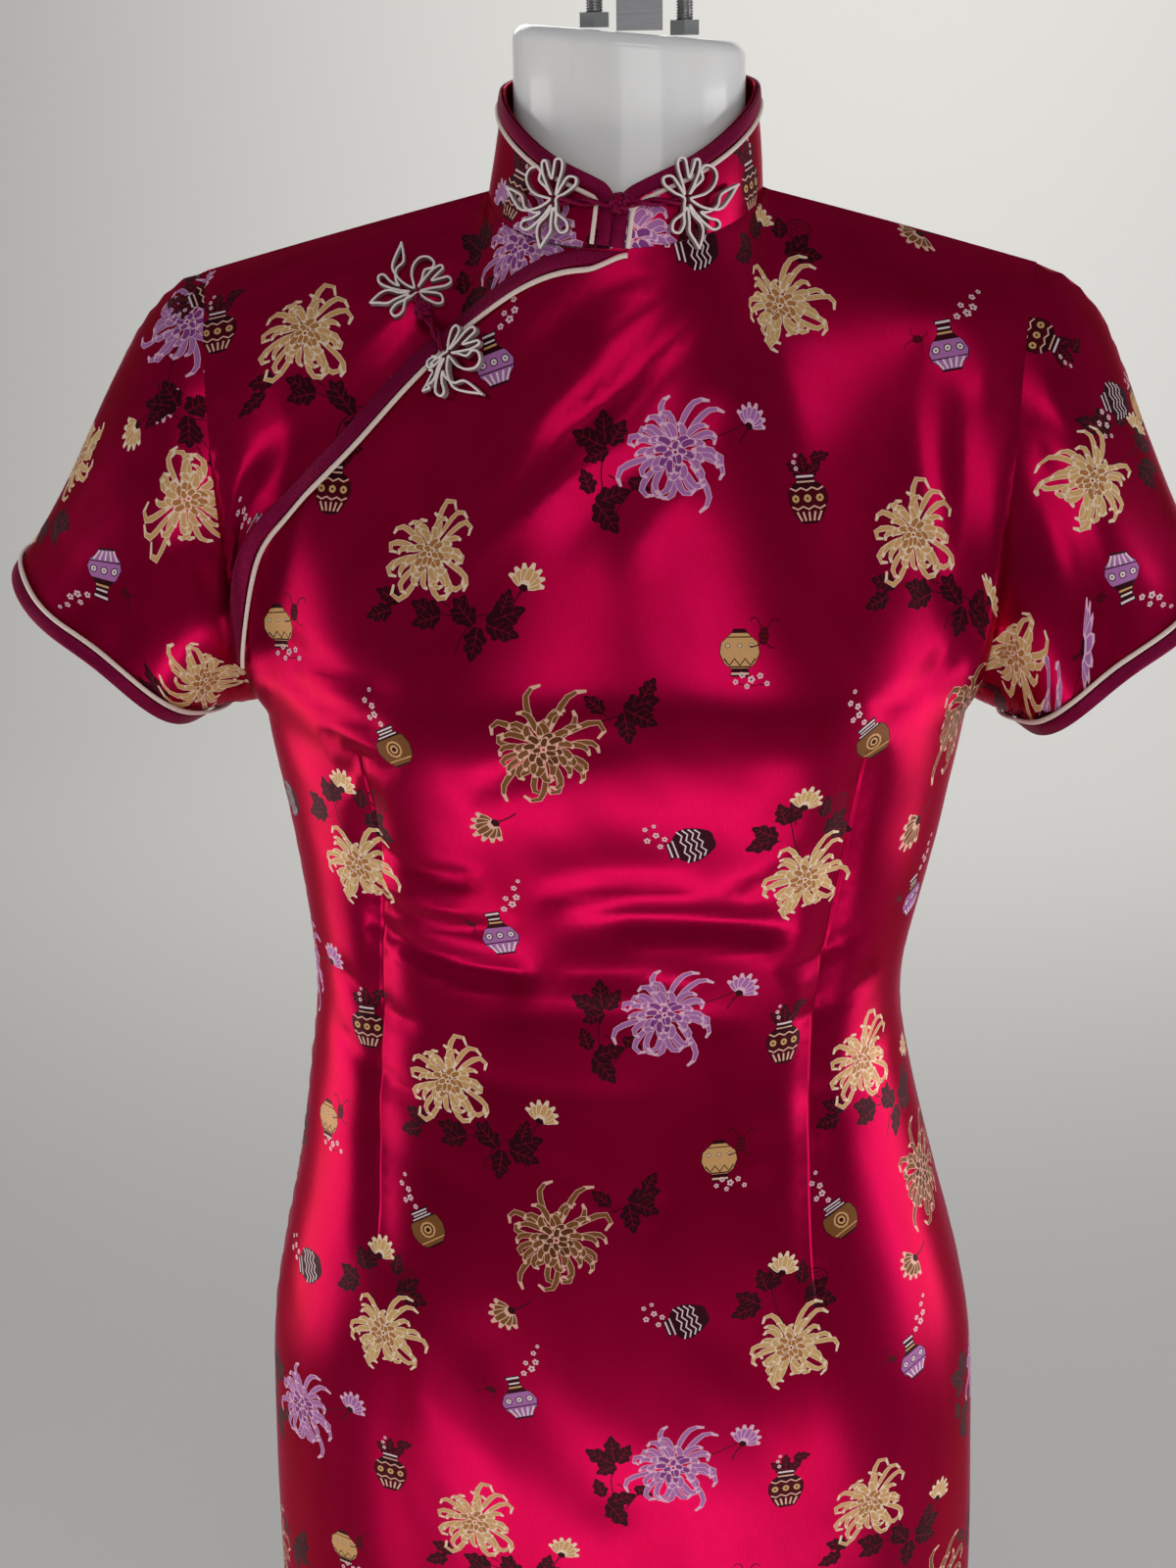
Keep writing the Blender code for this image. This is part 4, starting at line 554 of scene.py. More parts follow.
FORM_UPPER_ROWS = 30
FORM_SMOOTH_ANGLE = 70.0
FORM_MERGE = 1e-5
FOOT_TUCK = 0.10            # share that the form's rounded foot draws in
FOOT_BEND = (0.4, 0.35)     # shares in and down of the ring on its way
# Shares in and out of each ring of the cap that closes an armhole.
STUMP_RINGS = ((0.05, 0.35), (0.12, 0.60), (0.22, 0.76), (0.35, 0.88), (0.65, 1.0))
# Shares up the neck and in from its root to its top, then the steps round its bevel.
NECK_RINGS = ((0.10, 0.28), (0.20, 0.52), (0.30, 0.72), (0.46, 0.88), (0.62, 0.96), (0.80, 0.99),
              (1.0, 1.0))
NECK_BENDS = (0.18, 0.35, 0.52, 0.7, 0.85, 1.0)
# Where each of these starts, and the run over which it grows: up the panels, or across them.
FORM_SEAT_UP = (1.72, 0.25)
FORM_SEAT_OUT = (0.03, 0.14)            # counted from the neckline's end
FORM_UNDER_UP = (0.90, 0.08)            # room for the underlap
FORM_UNDER_ACROSS = {-1: (-0.08, 0.08), 1: (0.85, 0.15)}
FORM_UNDER_END = ((1.8, 0.2), (0.2, 0.16))      # where that room ends by the shoulder
FORM_WAIST = ((0.56, 0.10), (0.97, 0.12))       # the waist's ease, and its end
UPWARD = np.array([0.0, 0.0, 1.0])

# ---- finishes ------------------------------------------------------------------------------------
SATIN_DARK = (0.32, 0.000, 0.031)
SATIN_LIGHT = (0.43, 0.001, 0.050)
SATIN_DEEP = (0.12, 0.000, 0.009)
SATIN_ROUGHNESS = 0.24
SATIN_METAL = 0.84
SATIN_SHEEN = (1.0, 0.22, 0.38, 1.0)    # tint of the satin's highlights
SLUB = (2600.0, 140.0, 1.0)     # frequencies of the uneven threads, across and along
HATCH_PITCH = 0.00062           # pitch of the figures' thread hatching
WEAR = 1500.0                   # frequency of the bare spots in the figures, and their strength
WEAR_SHARE = 0.27
BINDING_DARK = (0.180, 0.001, 0.030)
BINDING_LIGHT = (0.270, 0.003, 0.058)
BINDING_DEEP = (0.070, 0.000, 0.012)
BINDING_SHEEN = (1.0, 0.3, 0.5, 1.0)
RIB_PITCH = 0.00085
PIPING_DARK = (0.80, 0.58, 0.50)
PIPING_LIGHT = (0.93, 0.78, 0.70)
TWIST_PITCH = 0.0011
RIBBON_DEEP = (0.20, 0.13, 0.12)
RIBBON_PITCH = 0.0006
PLASTIC_DARK = (0.88, 0.87, 0.85)
PLASTIC_LIGHT = (0.94, 0.93, 0.92)
PLASTIC_SCUFF = (0.45, 0.42, 0.38)
ZINC = (0.50, 0.50, 0.49)
PLATED = (0.30, 0.30, 0.31)

# ---- the view ------------------------------------------------------------------------------------
VIEW_TURN = math.radians(2.5)       # how far the camera stands round towards +X
VIEW_ASIDE = math.radians(0.78)     # how far past the axis it looks
VIEW_DOWN = math.radians(19.0)
VIEW_ROLL = math.radians(0.9)
VIEW_DISTANCE = 1.039
VIEW_HEIGHT = 1.475
VIEW_LENS = 49.66
SENSOR = 36.0
FLOOR_COLOR = (0.62, 0.61, 0.59)
FLOOR_ROUGHNESS = 0.8
STAGE_REACH = 6.0
STAGE_FLOOR = -0.0005   # just under the base
COVE_STEPS = 25
COVE_START = 3.4        # where the floor starts to curve up into the backdrop, and its curve
COVE_RADIUS = 1.8
WALL_HEIGHT = 3.0
WORLD_LIGHT = 0.28
WORLD_COLOR = (0.78, 0.80, 0.84)
LAMPS = (               # name, place, aim, size, power, colour
    ("ceiling", (0.32, -1.30, 2.55), (0.05, -0.1, 1.3), (1.1, 0.25), 2.6, (1.0, 0.99, 0.97)),
    ("low_card", (0.0, -0.93, 0.03), (0, -0.93, 2.0), (1.8, 0.34), 6.5, (1.0, 0.99, 0.98)),
    ("left_card", (-1.5, 0.05, 0.85), (0, 0, 1.0), (0.9, 1.2), 10.0, (1.0, 0.98, 0.97)),
    ("right_card", (1.5, 0.05, 0.85), (0, 0, 1.0), (0.9, 1.2), 11.0, (0.98, 0.98, 1.0)),
    ("front_soft", (0.7, -3.2, 1.9), (0, 0, 1.1), (2.2, 1.6), 19.0, (1.0, 0.99, 0.98)),
    ("wall_wash", (0.6, 2.8, 2.9), (0.6, 4.8, 1.1), (3.6, 0.6), 92.0, (1.0, 0.99, 0.97)),
    ("back_soft", (-0.6, 2.7, 2.3), (0, 0, 1.1), (1.6, 1.0), 9.0, (1.0, 0.99, 0.98)),
)


# ---- small tools ---------------------------------------------------------------------------------
def spline(rows):
    """Natural cubic spline through a table whose first column rises; gives one function a column."""
    table = np.array(rows, float)
    xs = table[:, 0]
    step = np.diff(xs)
    size = len(xs)
    matrix = np.eye(size)
    for i in range(1, size - 1):
        matrix[i, i - 1:i + 2] = step[i - 1], 2 * (step[i - 1] + step[i]), step[i]

    def column(ys):
        right = np.zeros(size)
        right[1:-1] = 6 * (np.diff(ys[1:]) / step[1:] - np.diff(ys[:-1]) / step[:-1])
        bend = np.linalg.solve(matrix, right)

        def value(x):
            x = np.clip(x, xs[0], xs[-1])
            i = np.clip(np.searchsorted(xs, x) - 1, 0, size - 2)
            after = x - xs[i]
            before = xs[i + 1] - x
            width = step[i]
            curve = (bend[i] * before ** 3 + bend[i + 1] * after ** 3) / (6 * width)
            line = (ys[i] / width - bend[i] * width / 6) * before
            return curve + line + (ys[i + 1] / width - bend[i + 1] * width / 6) * after
        return value
    return [column(table[:, k]) for k in range(1, table.shape[1])]


def smooth(t):
    t = np.clip(t, 0.0, 1.0)
    return t * t * (3 - 2 * t)


def unit(vectors):
    return vectors / np.maximum(np.linalg.norm(vectors, axis=-1, keepdims=True), 1e-12)


def mix(a, b, share):
    share = np.asarray(share)[..., None]
    return a * (1 - share) + b * share


def bezier(p0, p1, p2, p3, t):
    t = np.asarray(t)[..., None]
    return (1 - t) ** 3 * p0 + 3 * (1 - t) ** 2 * t * p1 + 3 * (1 - t) * t * t * p2 + t ** 3 * p3


def placed(name, data):
    """A new object of the scene."""
    made = bpy.data.objects.new(name, data)
    bpy.context.scene.collection.objects.link(made)
    return made


def finished(name, mesh, smooth_angle, merge=0.0):
    """A new object of a closed mesh, faced outward and smooth up to an angle in degrees."""
    shape = bmesh.new()
    shape.from_mesh(mesh)
    if merge:
        bmesh.ops.remove_doubles(shape, verts=shape.verts, dist=merge)
    bmesh.ops.recalc_face_normals(shape, faces=shape.faces)
    shape.to_mesh(mesh)
    shape.free()
    mesh.shade_smooth()
    mesh.set_sharp_from_angle(angle=math.radians(smooth_angle))
    return placed(name, mesh)


HALF_WIDTH, FRONT_DEPTH, BACK_DEPTH = spline(BODY_SECTIONS)
LEAN_SHIFT = spline(LEAN)[0]
NECK_SHIFT = LEAN_SHIFT(NECK_TOP_HEIGHT)
ARRIVAL = {side: spline(rows) for side, rows in COLUMN_ARRIVAL.items()}
FLAP_HEIGHT = spline(FLAP_EDGE)[0]
COLLAR_HEIGHT = spline(COLLAR_RISE)[0]


# ---- the cloth skin ------------------------------------------------------------------------------
def leaned(points):
    """Points carried sideways by the stance, each by the shift at its height."""
    return points + LEAN_SHIFT(points[..., 2])[..., None] * np.array([1.0, 0.0, 0.0])


def body_section(side, u, z):
    """A point of the body's section at height z; u runs from -1 to 1 across one side."""
    across = np.sin(u * math.pi / 2)
    depth = FRONT_DEPTH(z) if side < 0 else BACK_DEPTH(z)
    reach = (1 - np.minimum(np.abs(across), 1.0) ** SQUARENESS) ** (1 / SQUARENESS)
    return np.stack([HALF_WIDTH(z) * across, side * depth * reach, z + 0 * u], -1)


def top_edge(side, u):
    """The neckline in the middle of a side, then the shoulder seam out to the shoulder's tip."""
    share = np.abs(u)
    turn = np.clip(share / NECK_SHARE, 0, 1) * math.pi / 2
    depth, middle_height = NECK_FRONT if side < 0 else NECK_BACK
    run = np.clip((share - NECK_SHARE) / (1 - NECK_SHARE), 0, 1)
    x = NECK_HALF * np.sin(turn) + (SHOULDER_TIP[0] - NECK_HALF) * run
    y = side * depth * np.cos(turn)
    z = middle_height + (NECK_SIDE_HEIGHT - middle_height) * (1 - np.cos(turn))
    z = z + (SHOULDER_TIP[1] - NECK_SIDE_HEIGHT) * run + SHOULDER_LIFT * np.sin(math.pi * run)
    return np.stack([np.sign(u) * x, y, z], -1)


def off_sides(u, width):
    """0 at a panel's side edges, rising to 1 at a width from them in shares across."""
    return smooth((1 - np.abs(u)) / width)


def trough(points, ends, half_width, deep, fade, bow_out=0.0):
    """Depth at points of one soft trough between two places, bowed to the left of its run."""
    x0, z0, x1, z1 = ends
    along = np.array([x1 - x0, z1 - z0])
    length = np.linalg.norm(along)
    rel = points[..., [0, 2]] - np.array([x0, z0])
    run = rel @ along / length ** 2
    off = (rel[..., 0] * along[1] - rel[..., 1] * along[0]) / length
    off = off - bow_out * 4 * run * (1 - run)
    shown = smooth(run / fade + 0.5) * smooth((1 - run) / fade + 0.5)
    return deep * np.exp(-(off / half_width) ** 2) * shown


def folds(side, points):
    """Depth of the soft troughs (darts and creases) at points of one side."""
    depth = np.zeros(points.shape[:-1])
    for row_side, *ends, half_width, deep in SOFT_FOLDS:
        if row_side == side:
            depth += trough(points, ends, half_width, deep, FOLD_END)
    return np.minimum(depth, DEEPEST_FOLD)


def body(side, u, v, creased=True):
    """Outer surface of the bodice and skirt: v 0 is the hem, 1 the underarm level, 2 the top."""
    u = np.asarray(u, float)
    v = np.asarray(v, float)
    low_height = HEM_HEIGHT + (CHEST_HEIGHT - HEM_HEIGHT) * np.clip(v, 0, 1)
    low = body_section(side, u, low_height)
    start = body_section(side, u, CHEST_HEIGHT + 0 * u)
    slope = unit(start - body_section(side, u, CHEST_HEIGHT - SLOPE_STEP + 0 * u))
    sign = np.sign(u)
    out, forward, up = ARMHOLE_START
    corner = np.stack([sign * out, side * forward + 0 * u, up + 0 * u], -1)
    by_arm = smooth((np.abs(u) - ARM_COLUMNS) / (1 - ARM_COLUMNS))
    first = start + mix(slope * COLUMN_RISE, corner, by_arm)
    end = top_edge(side, u)
    out, forward, down = [value(np.abs(u)) for value in ARRIVAL[side]]
    second = end + np.stack([sign * out, side * forward, -down], -1)
    high = bezier(start, first, second, end, np.clip(v - 1, 0, 1))
    points = np.where((v > 1)[..., None], high, low)
    if side < 0:
        off_x = (np.abs(points[..., 0]) - BUST_SIDE) / BUST_SPREAD[0]
        off_z = (points[..., 2] - BUST_HEIGHT) / BUST_SPREAD[1]
        bust = BUST_REACH * np.exp(-(off_x ** 2 + off_z ** 2) / 2)
        points[..., 1] -= bust * off_sides(u, BUST_FADE)
    points = leaned(points)
    if creased:
        points[..., 1] -= side * folds(side, points) * off_sides(u, FOLD_FADE)
    return points


def arm_height(q):
    """The panels' height parameter round the armhole: 1 at the underarm, 2 at the tip."""
    return 1 + np.where(q <= 0.5, 2 * q, 2 - 2 * q)


def armhole(hand, q):
    """The armhole seam: q 0 and 1 are the underarm, 0.25 the front, 0.5 the shoulder's tip."""
    q = np.asarray(q, float)
    front, back = [body(side, hand + 0 * q, arm_height(q)) for side in (-1, 1)]
    return np.where((q <= 0.5)[..., None], front, back)


def sleeve(hand, q, r):
    """Outer surface of a sleeve: q runs round it, r from the armhole to the hem."""
    q = np.asarray(q, float)
    r = np.asarray(r, float)
    turn = 2 * math.pi * q
    top = 0.5 - 0.5 * np.cos(turn)
    start = armhole(hand, q % 1.0)
    lean = SLEEVE_HEM_LEAN
    across = -np.cos(turn) * SLEEVE_HEM_HALF[0]
    centre_x, centre_z = SLEEVE_HEM_CENTRE[hand]
    wave = (SLEEVE_WAVE_REACH * np.sin(SLEEVE_WAVES * turn + SLEEVE_WAVE_PHASE)
            * np.sin(turn) ** 2)
    x = centre_x + across * math.cos(lean) + wave * math.sin(lean)
    z = centre_z + across * math.sin(lean) - wave * math.cos(lean)
    y = -np.sin(turn) * SLEEVE_HEM_HALF[1]
    end = leaned(np.stack([hand * x, y, z], -1))
    out, down, straight = [low + more * top for low, more in (SLEEVE_OUT, SLEEVE_DOWN, SLEEVE_ENTER)]
    leave = np.stack([hand * out, -SLEEVE_FORWARD * np.sin(turn), -down], -1)
    enter = np.stack([hand * math.sin(lean) * straight, 0 * q, -math.cos(lean) * straight], -1)
    return bezier(start, start + leave, end - enter, end, r)


def neck_ring(w):
    """The neckline: w -1 and 1 are the centre front, 0 the centre back."""
    w = np.asarray(w, float)
    hand = np.where(w < 0, -1.0, 1.0)
    share = np.abs(w)
    front = top_edge(-1, hand * NECK_SHARE * np.clip(2 - 2 * share, 0, 1))
    back = top_edge(1, hand * NECK_SHARE * np.clip(2 * share, 0, 1))
    return np.where((share > 0.5)[..., None], front, back)


def collar(w, k):
    """Outer surface of the stand collar: k 0 is the neckline, 1 the top edge."""
    w = np.asarray(w, float)
    k = np.asarray(k, float)
    base = neck_ring(w)
    turn = w * math.pi
    depth = np.where(np.cos(turn) > 0, COLLAR_TOP_BACK, COLLAR_TOP_FRONT)
    rise = COLLAR_HEIGHT(1 - np.abs(w))
    high = np.stack([COLLAR_TOP_HALF * np.sin(turn), depth * np.cos(turn),
                     base[..., 2] + COLLAR_FULL_RISE], -1)
    return leaned(mix(base, high, rise / COLLAR_FULL_RISE * k))


def normal(surface, a, b, flip=1.0):
    """Unit outward normal of a surface by central differences."""
    along = surface(a + PLAIN_STEP, b) - surface(a - PLAIN_STEP, b)
    up = surface(a, b + PLAIN_STEP) - surface(a, b - PLAIN_STEP)
    return unit(np.cross(along, up)) * flip


def inner(value, low, high, margin=INNER_MARGIN):
    """Keep a parameter off its ends, where a difference would cross an edge."""
    return np.clip(value, low + margin, high - margin)


def side_normal(side, u, v):
    """Outward normal of one side's surface, read a little inside its edges."""
    v = np.where(v > 1.5, inner(v, 0, 2), v)
    return normal(lambda a, b: body(side, a, b), inner(u, -1, 1), v, -side)


def body_normal(side, u, v):
    """Outward normal, shared along the side seams, shoulder seams, neckline and armholes."""
    u = np.asarray(u, float)
    v = np.asarray(v, float)
    share = np.abs(u)
    at_top = v > 2 - NEAR
    on_side = (share > 1 - NEAR) & (v <= 1 + NEAR)
    on_shoulder = at_top & (share >= NECK_SHARE - NEAR)
    on_arm = (share > 1 - NEAR) & (v >= 1 - NEAR)
    on_neck = at_top & (share <= NECK_SHARE + NEAR)
    other = np.where((on_side | on_shoulder)[..., None], side_normal(-side, u, v), 0)
    total = side_normal(side, u, v) + other
    up = (np.clip(v, 1, 2) - 1) / 2
    q = np.where(side < 0, up, 1 - up)
    for hand in (-1, 1):
        arm = unit(sleeve_start_normal(hand, q))
        total = total + np.where((on_arm & (u * hand > 0))[..., None], arm, 0)
    w = share / NECK_SHARE / 2
    w = np.where(u < 0, -1.0, 1.0) * (w if side > 0 else 1 - w)
    band = collar_normal(inner(w, -1, 1), BESIDE_NECKLINE + 0 * w)
    total = total + np.where(on_neck[..., None], band, 0)
    return unit(total)


def sleeve_start_normal(hand, q):
    """Normal of a sleeve beside the armhole, the same from both ends of q at the underarm."""
    own, other = [normal(lambda a, b: sleeve(hand, a, b), inner(place, 0, 1),
                         BESIDE_ARMHOLE + 0 * q, -hand) for place in (q, 1 - q)]
    return own + np.where((np.abs(q - 0.5) > 0.5 - NEAR)[..., None], other, 0)


def sleeve_normal(hand, q, r):
    """Outward normal of a sleeve, shared with the body along the armhole."""
    own = normal(lambda a, b: sleeve(hand, a, b), inner(q, 0, 1), inner(r, 0, 1, ROW_MARGIN), -hand)
    front_half = q <= 0.5
    v = arm_height(q)
    front = body_normal(-1, hand + 0 * q, np.where(front_half, v, 1.5))
    back = body_normal(1, hand + 0 * q, np.where(front_half, 1.5, v))
    seam = np.where(front_half[..., None], front, back)
    return np.where((r < NEAR)[..., None], seam, own)


def collar_normal(w, k):
    return normal(collar, inner(w, -1, 1), inner(k, 0, 1, ROW_MARGIN), -1.0)


def column_at(u, height):
    """The parameter v where each column of the front passes a height."""
    u = np.asarray(u, float)
    low = np.full(u.shape, COLUMN_START)
    high = np.full(u.shape, 2.0)
    for _ in range(COLUMN_ROUNDS):
        middle = (low + high) / 2
        below = body(-1, u, middle)[..., 2] < height
        low = np.where(below, middle, low)
        high = np.where(below, high, middle)
    return high


def flap_top(u):
    """The top of the front panel: the flap's edge on the wearer's right, else the panel's top."""
    u = np.asarray(u, float)
    return np.where(u < 0, column_at(u, FLAP_HEIGHT(np.abs(u))), 2.0)


# ---- the cloth as it is cut: flat coordinates along the fabric -----------------------------------
class Chart:
    """Flat cloth coordinates (s across, t along) of a surface of two parameters, both ways."""

    def __init__(self, surface, a_values, b_values, a_zero, b_zero):
        self.a = np.asarray(a_values, float)
        self.b = np.asarray(b_values, float)
        ga, gb = np.meshgrid(self.a, self.b, indexing="ij")
        points = surface(ga, gb)
        self.s = self.run(points, 0)
        self.t = self.run(points, 1)
        self.s -= self.at(self.s, a_zero + 0 * self.b, self.b)[None, :]
        self.t -= self.at(self.t, self.a, b_zero + 0 * self.a)[:, None]
        self.s_line = np.linspace(self.s.min(), self.s.max(), CHART_LINES)
        self.t_line = np.linspace(self.t.min(), self.t.max(), CHART_LINES)
        self.a_of = np.array([np.interp(self.s_line, self.s[:, j], self.a)
                              for j in range(len(self.b))]).T
        self.b_of = np.array([np.interp(self.t_line, self.t[i], self.b)
                              for i in range(len(self.a))])

    @staticmethod
    def run(points, axis):
        steps = np.linalg.norm(np.diff(points, axis=axis), axis=-1)
        total = np.cumsum(steps, axis=axis)
        return np.concatenate([np.zeros_like(total.take([0], axis)), total], axis)

    @staticmethod
    def table(values, rows, columns, x, y):
        """Bilinear look-up in a table over two rising lists."""
        i = np.clip(np.searchsorted(rows, x) - 1, 0, len(rows) - 2)
        j = np.clip(np.searchsorted(columns, y) - 1, 0, len(columns) - 2)
        p = np.clip((x - rows[i]) / (rows[i + 1] - rows[i]), 0, 1)
        q = np.clip((y - columns[j]) / (columns[j + 1] - columns[j]), 0, 1)
        return ((values[i, j] * (1 - p) + values[i + 1, j] * p) * (1 - q)
                + (values[i, j + 1] * (1 - p) + values[i + 1, j + 1] * p) * q)

    def at(self, values, a, b):
        return self.table(values, self.a, self.b, a, b)

    def flat(self, a, b):
        """Cloth coordinates of surface parameters."""
        return np.stack([self.at(self.s, a, b), self.at(self.t, a, b)], -1)

    def place(self, flat):
        """Surface parameters of cloth coordinates."""
        s, t = flat[..., 0], flat[..., 1]
        b = self.table(self.b_of, self.a, self.t_line, 0 * t + self.a.mean(), t)
        for _ in range(CHART_ROUNDS):
            a = self.table(self.a_of, self.s_line, self.b, s, b)
            b = self.table(self.b_of, self.a, self.t_line, a, t)
        return a, b


def signed_area(loop):
    x, y = loop[:, 0], loop[:, 1]
    return 0.5 * np.sum(x * np.roll(y, -1) - np.roll(x, -1) * y)


def inside(points, loop):
    """Which flat points lie inside a closed outline."""
    x0, y0 = loop[:, 0], loop[:, 1]
    x1, y1 = np.roll(x0, -1), np.roll(y0, -1)
    hits = np.zeros(len(points), bool)
    for start in range(0, len(points), INSIDE_BATCH):
        part = points[start:start + INSIDE_BATCH]
        px, py = part[:, :1], part[:, 1:]
        spans = (y0 > py) != (y1 > py)
        cross = x0 + (py - y0) * (x1 - x0) / np.where(y1 == y0, 1e-12, y1 - y0)
        hits[start:start + INSIDE_BATCH] = (np.sum(spans & (px < cross), 1) % 2) == 1
    return hits


def lattice(loop, step):
    """Points of a triangular lattice that lie well inside an outline."""
    low, high = loop.min(0), loop.max(0)
    rows = np.arange(low[1] + step / 2, high[1], step * math.sqrt(3) / 2)
    points = []
    for k, y in enumerate(rows):
        xs = np.arange(low[0] + step * (0.25 + 0.5 * (k % 2)), high[0], step)
        points.append(np.stack([xs, y + 0 * xs], -1))
    points = np.concatenate(points)
    points = points[inside(points, loop)]
    near = np.full(len(points), np.inf)
    for corner in loop:
        near = np.minimum(near, np.hypot(*(points - corner).T))
    return points[near > step * LATTICE_CLEAR]


def triangulate(loop, lines, step_points):
    """Triangles inside a panel's outline that follow every line of its figures."""
    corners = list(map(tuple, loop))
    edges = []
    for points, pairs in lines:
        edges += [(a + len(corners), b + len(corners)) for a, b in pairs]
        corners.extend(map(tuple, points))
    corners.extend(map(tuple, step_points))
    out = delaunay_2d_cdt([Vector(c) for c in corners], edges, [list(range(len(loop)))], 0,
                          CDT_MERGE, True)
    points = np.array([tuple(p) for p in out[0]])
    faces = [list(face) for face, held in zip(out[2], out[5]) if held]
    return points, faces, out[3]


def winding(points, outline):
    """How many times an outline turns round each point."""
    x0, y0 = outline[:, 0], outline[:, 1]
    x1, y1 = np.roll(x0, -1), np.roll(y0, -1)
    px, py = points[:, :1], points[:, 1:]
    side = (x1 - x0) * (py - y0) - (px - x0) * (y1 - y0)
    up = (y0 <= py) & (y1 > py) & (side > 0)
    down = (y0 > py) & (y1 <= py) & (side < 0)
    return up.sum(1) - down.sum(1)


def topmost(centres, outlines):
    """The number, from one, of the last outline that covers each centre; 0 where none does."""
    low = centres.min(0)
    cell = ((centres - low) / COVER_CELL).astype(int)
    rows = cell[:, 1].max() + 1
    key = cell[:, 0] * rows + cell[:, 1]
    order = np.argsort(key, kind="stable")
    columns = cell[:, 0].max() + 1
    starts = np.searchsorted(key[order], np.arange(columns * rows + 1))
    top = np.zeros(len(centres), int)
    for number, outline in enumerate(outlines, 1):
        first = np.maximum(((outline.min(0) - low) / COVER_CELL).astype(int), 0)
        last = np.minimum(((outline.max(0) - low) / COVER_CELL).astype(int), (columns - 1, rows - 1))
        if last[1] < first[1]:
            continue
        near = [order[starts[i * rows + first[1]]:starts[i * rows + last[1] + 1]]
                for i in range(first[0], last[0] + 1)]
        near = np.concatenate(near) if near else np.zeros(0, int)
        if len(near):
            top[near[winding(centres[near], outline) != 0]] = number
    return top


def shown_lines(shapes):
    """Points and edges of a drawing where its thread colour changes; covered lines fall away."""
    corners = []
    edges = []
    for outline, thread in shapes:
        start, count = len(corners), len(outline)
        edges += [(start + k, start + (k + 1) % count) for k in range(count)]
        corners.extend(map(tuple, outline))
    out = delaunay_2d_cdt([Vector(c) for c in corners], edges, [], 0, MOTIF_MERGE, False)
    points = np.array([tuple(p) for p in out[0]])
    faces = np.array([list(face) for face in out[2]])
    tops = topmost(points[faces].mean(1), [outline for outline, thread in shapes])
    tones = [None] + [thread for outline, thread in shapes]
    beside = {}
    for face, top in zip(faces.tolist(), tops):
        for a, b in zip(face, face[1:] + face[:1]):
            beside.setdefault((min(a, b), max(a, b)), []).append(tones[top])
    shown = [key for key, pair in beside.items()
             if (pair[0] != pair[1] if len(pair) == 2 else pair[0] is not None)]
    used = sorted({v for key in shown for v in key})
    place = {v: k for k, v in enumerate(used)}
    return points[used], [(place[a], place[b]) for a, b in shown]


# ---- woven motifs, drawn flat in millimetres -----------------------------------------------------
class Drawing:
    """Outlines with their thread colours; a later outline covers an earlier one."""

    def __init__(self):
        self.shapes = []

    def add(self, outline, thread):
        self.shapes.append((np.asarray(outline, float), thread))

    def stroke(self, line, widths, thread):
        """A band of changing width along a line."""
        line = np.asarray(line, float)
        run = np.gradient(line, axis=0)
        run /= np.maximum(np.hypot(run[:, 0], run[:, 1]), 1e-9)[:, None]
        side = np.stack([-run[:, 1], run[:, 0]], -1)
        half = np.broadcast_to(np.asarray(widths, float) / 2, (len(line),))[:, None]
        self.add(np.concatenate([line + side * half, (line - side * half)[::-1]]), thread)

    def disc(self, centre, radius, thread, corners=8, tall=1.0):
        turn = np.linspace(0, 2 * math.pi, corners, endpoint=False)
        round_line = np.stack([np.cos(turn), np.sin(turn) * tall], -1) * radius
        self.add(round_line + np.asarray(centre, float), thread)

    def draw(self, other, place=(0, 0), turn=0.0, scale=1.0):
        """Another drawing, turned, scaled and moved."""
        c, s = math.cos(turn) * scale, math.sin(turn) * scale
        for outline, thread in other.shapes:
            self.add(outline @ np.array([[c, s], [-s, c]]) + np.asarray(place, float), thread)


def bent_line(start, heading, length, bend, curl=0.0, points=6):
    """A line that turns evenly by bend, and by curl more towards its tip."""
    t = np.linspace(0, 1, points)
    step = length / (points - 1)
    middle = (t[1:] + t[:-1]) / 2
    angle = heading + bend * middle + curl * np.maximum(middle - CURL_START, 0) / CURL_RUN
    moves = np.stack([np.cos(angle), np.sin(angle)], -1) * step
    return np.concatenate([[start], np.asarray(start) + np.cumsum(moves, 0)])


def petal(drawing, start, heading, length, width, bend, curl, edge, fill, points=7):
    """A petal: a light edge thread round a darker filling."""
    line = bent_line(start, heading, length, bend, curl, points)
    t = np.linspace(0, 1, points)
    swell = np.sin(math.pi * (0.10 + 0.80 * t ** 0.85)) ** 0.8
    drawing.stroke(line, width * np.maximum(swell, PETAL_TIP), edge)
    core = width * swell - 2 * PETAL_EDGE
    drawing.stroke(line[1:-1], np.maximum(core[1:-1], PETAL_FILL), fill)


def chrysanthemum(edge, fill, deep, seed, size):
    """A ragged flower: long outer petals, a ring of shorter ones and a heart of curled scales."""
    drawing = Drawing()
    rng = np.random.default_rng(seed)
    for count, start, length, width, bend, curl, spread in FLOWER_RINGS:
        turns = np.linspace(0, 2 * math.pi, count, endpoint=False) + rng.uniform(0, 1)
        for k in rng.permutation(count):
            heading = turns[k] + rng.uniform(-FLOWER_STRAY, FLOWER_STRAY)
            hand = 1 if rng.uniform() < 0.5 + FLOWER_PARTING * math.cos(heading) else -1
            long = length * (1 + spread * rng.uniform(-1, 1))
            long = long * (1 + FLOWER_WIDER * abs(math.sin(heading)))
            origin = start * np.array([math.cos(heading), math.sin(heading)])
            petal(drawing, origin * size, heading, long * size, width * size ** 0.7,
                  -hand * bend * rng.uniform(*FLOWER_BEND),
                  -hand * curl * rng.uniform(*FLOWER_CURL),
                  edge, fill if start > HEART_START else deep)
    return drawing


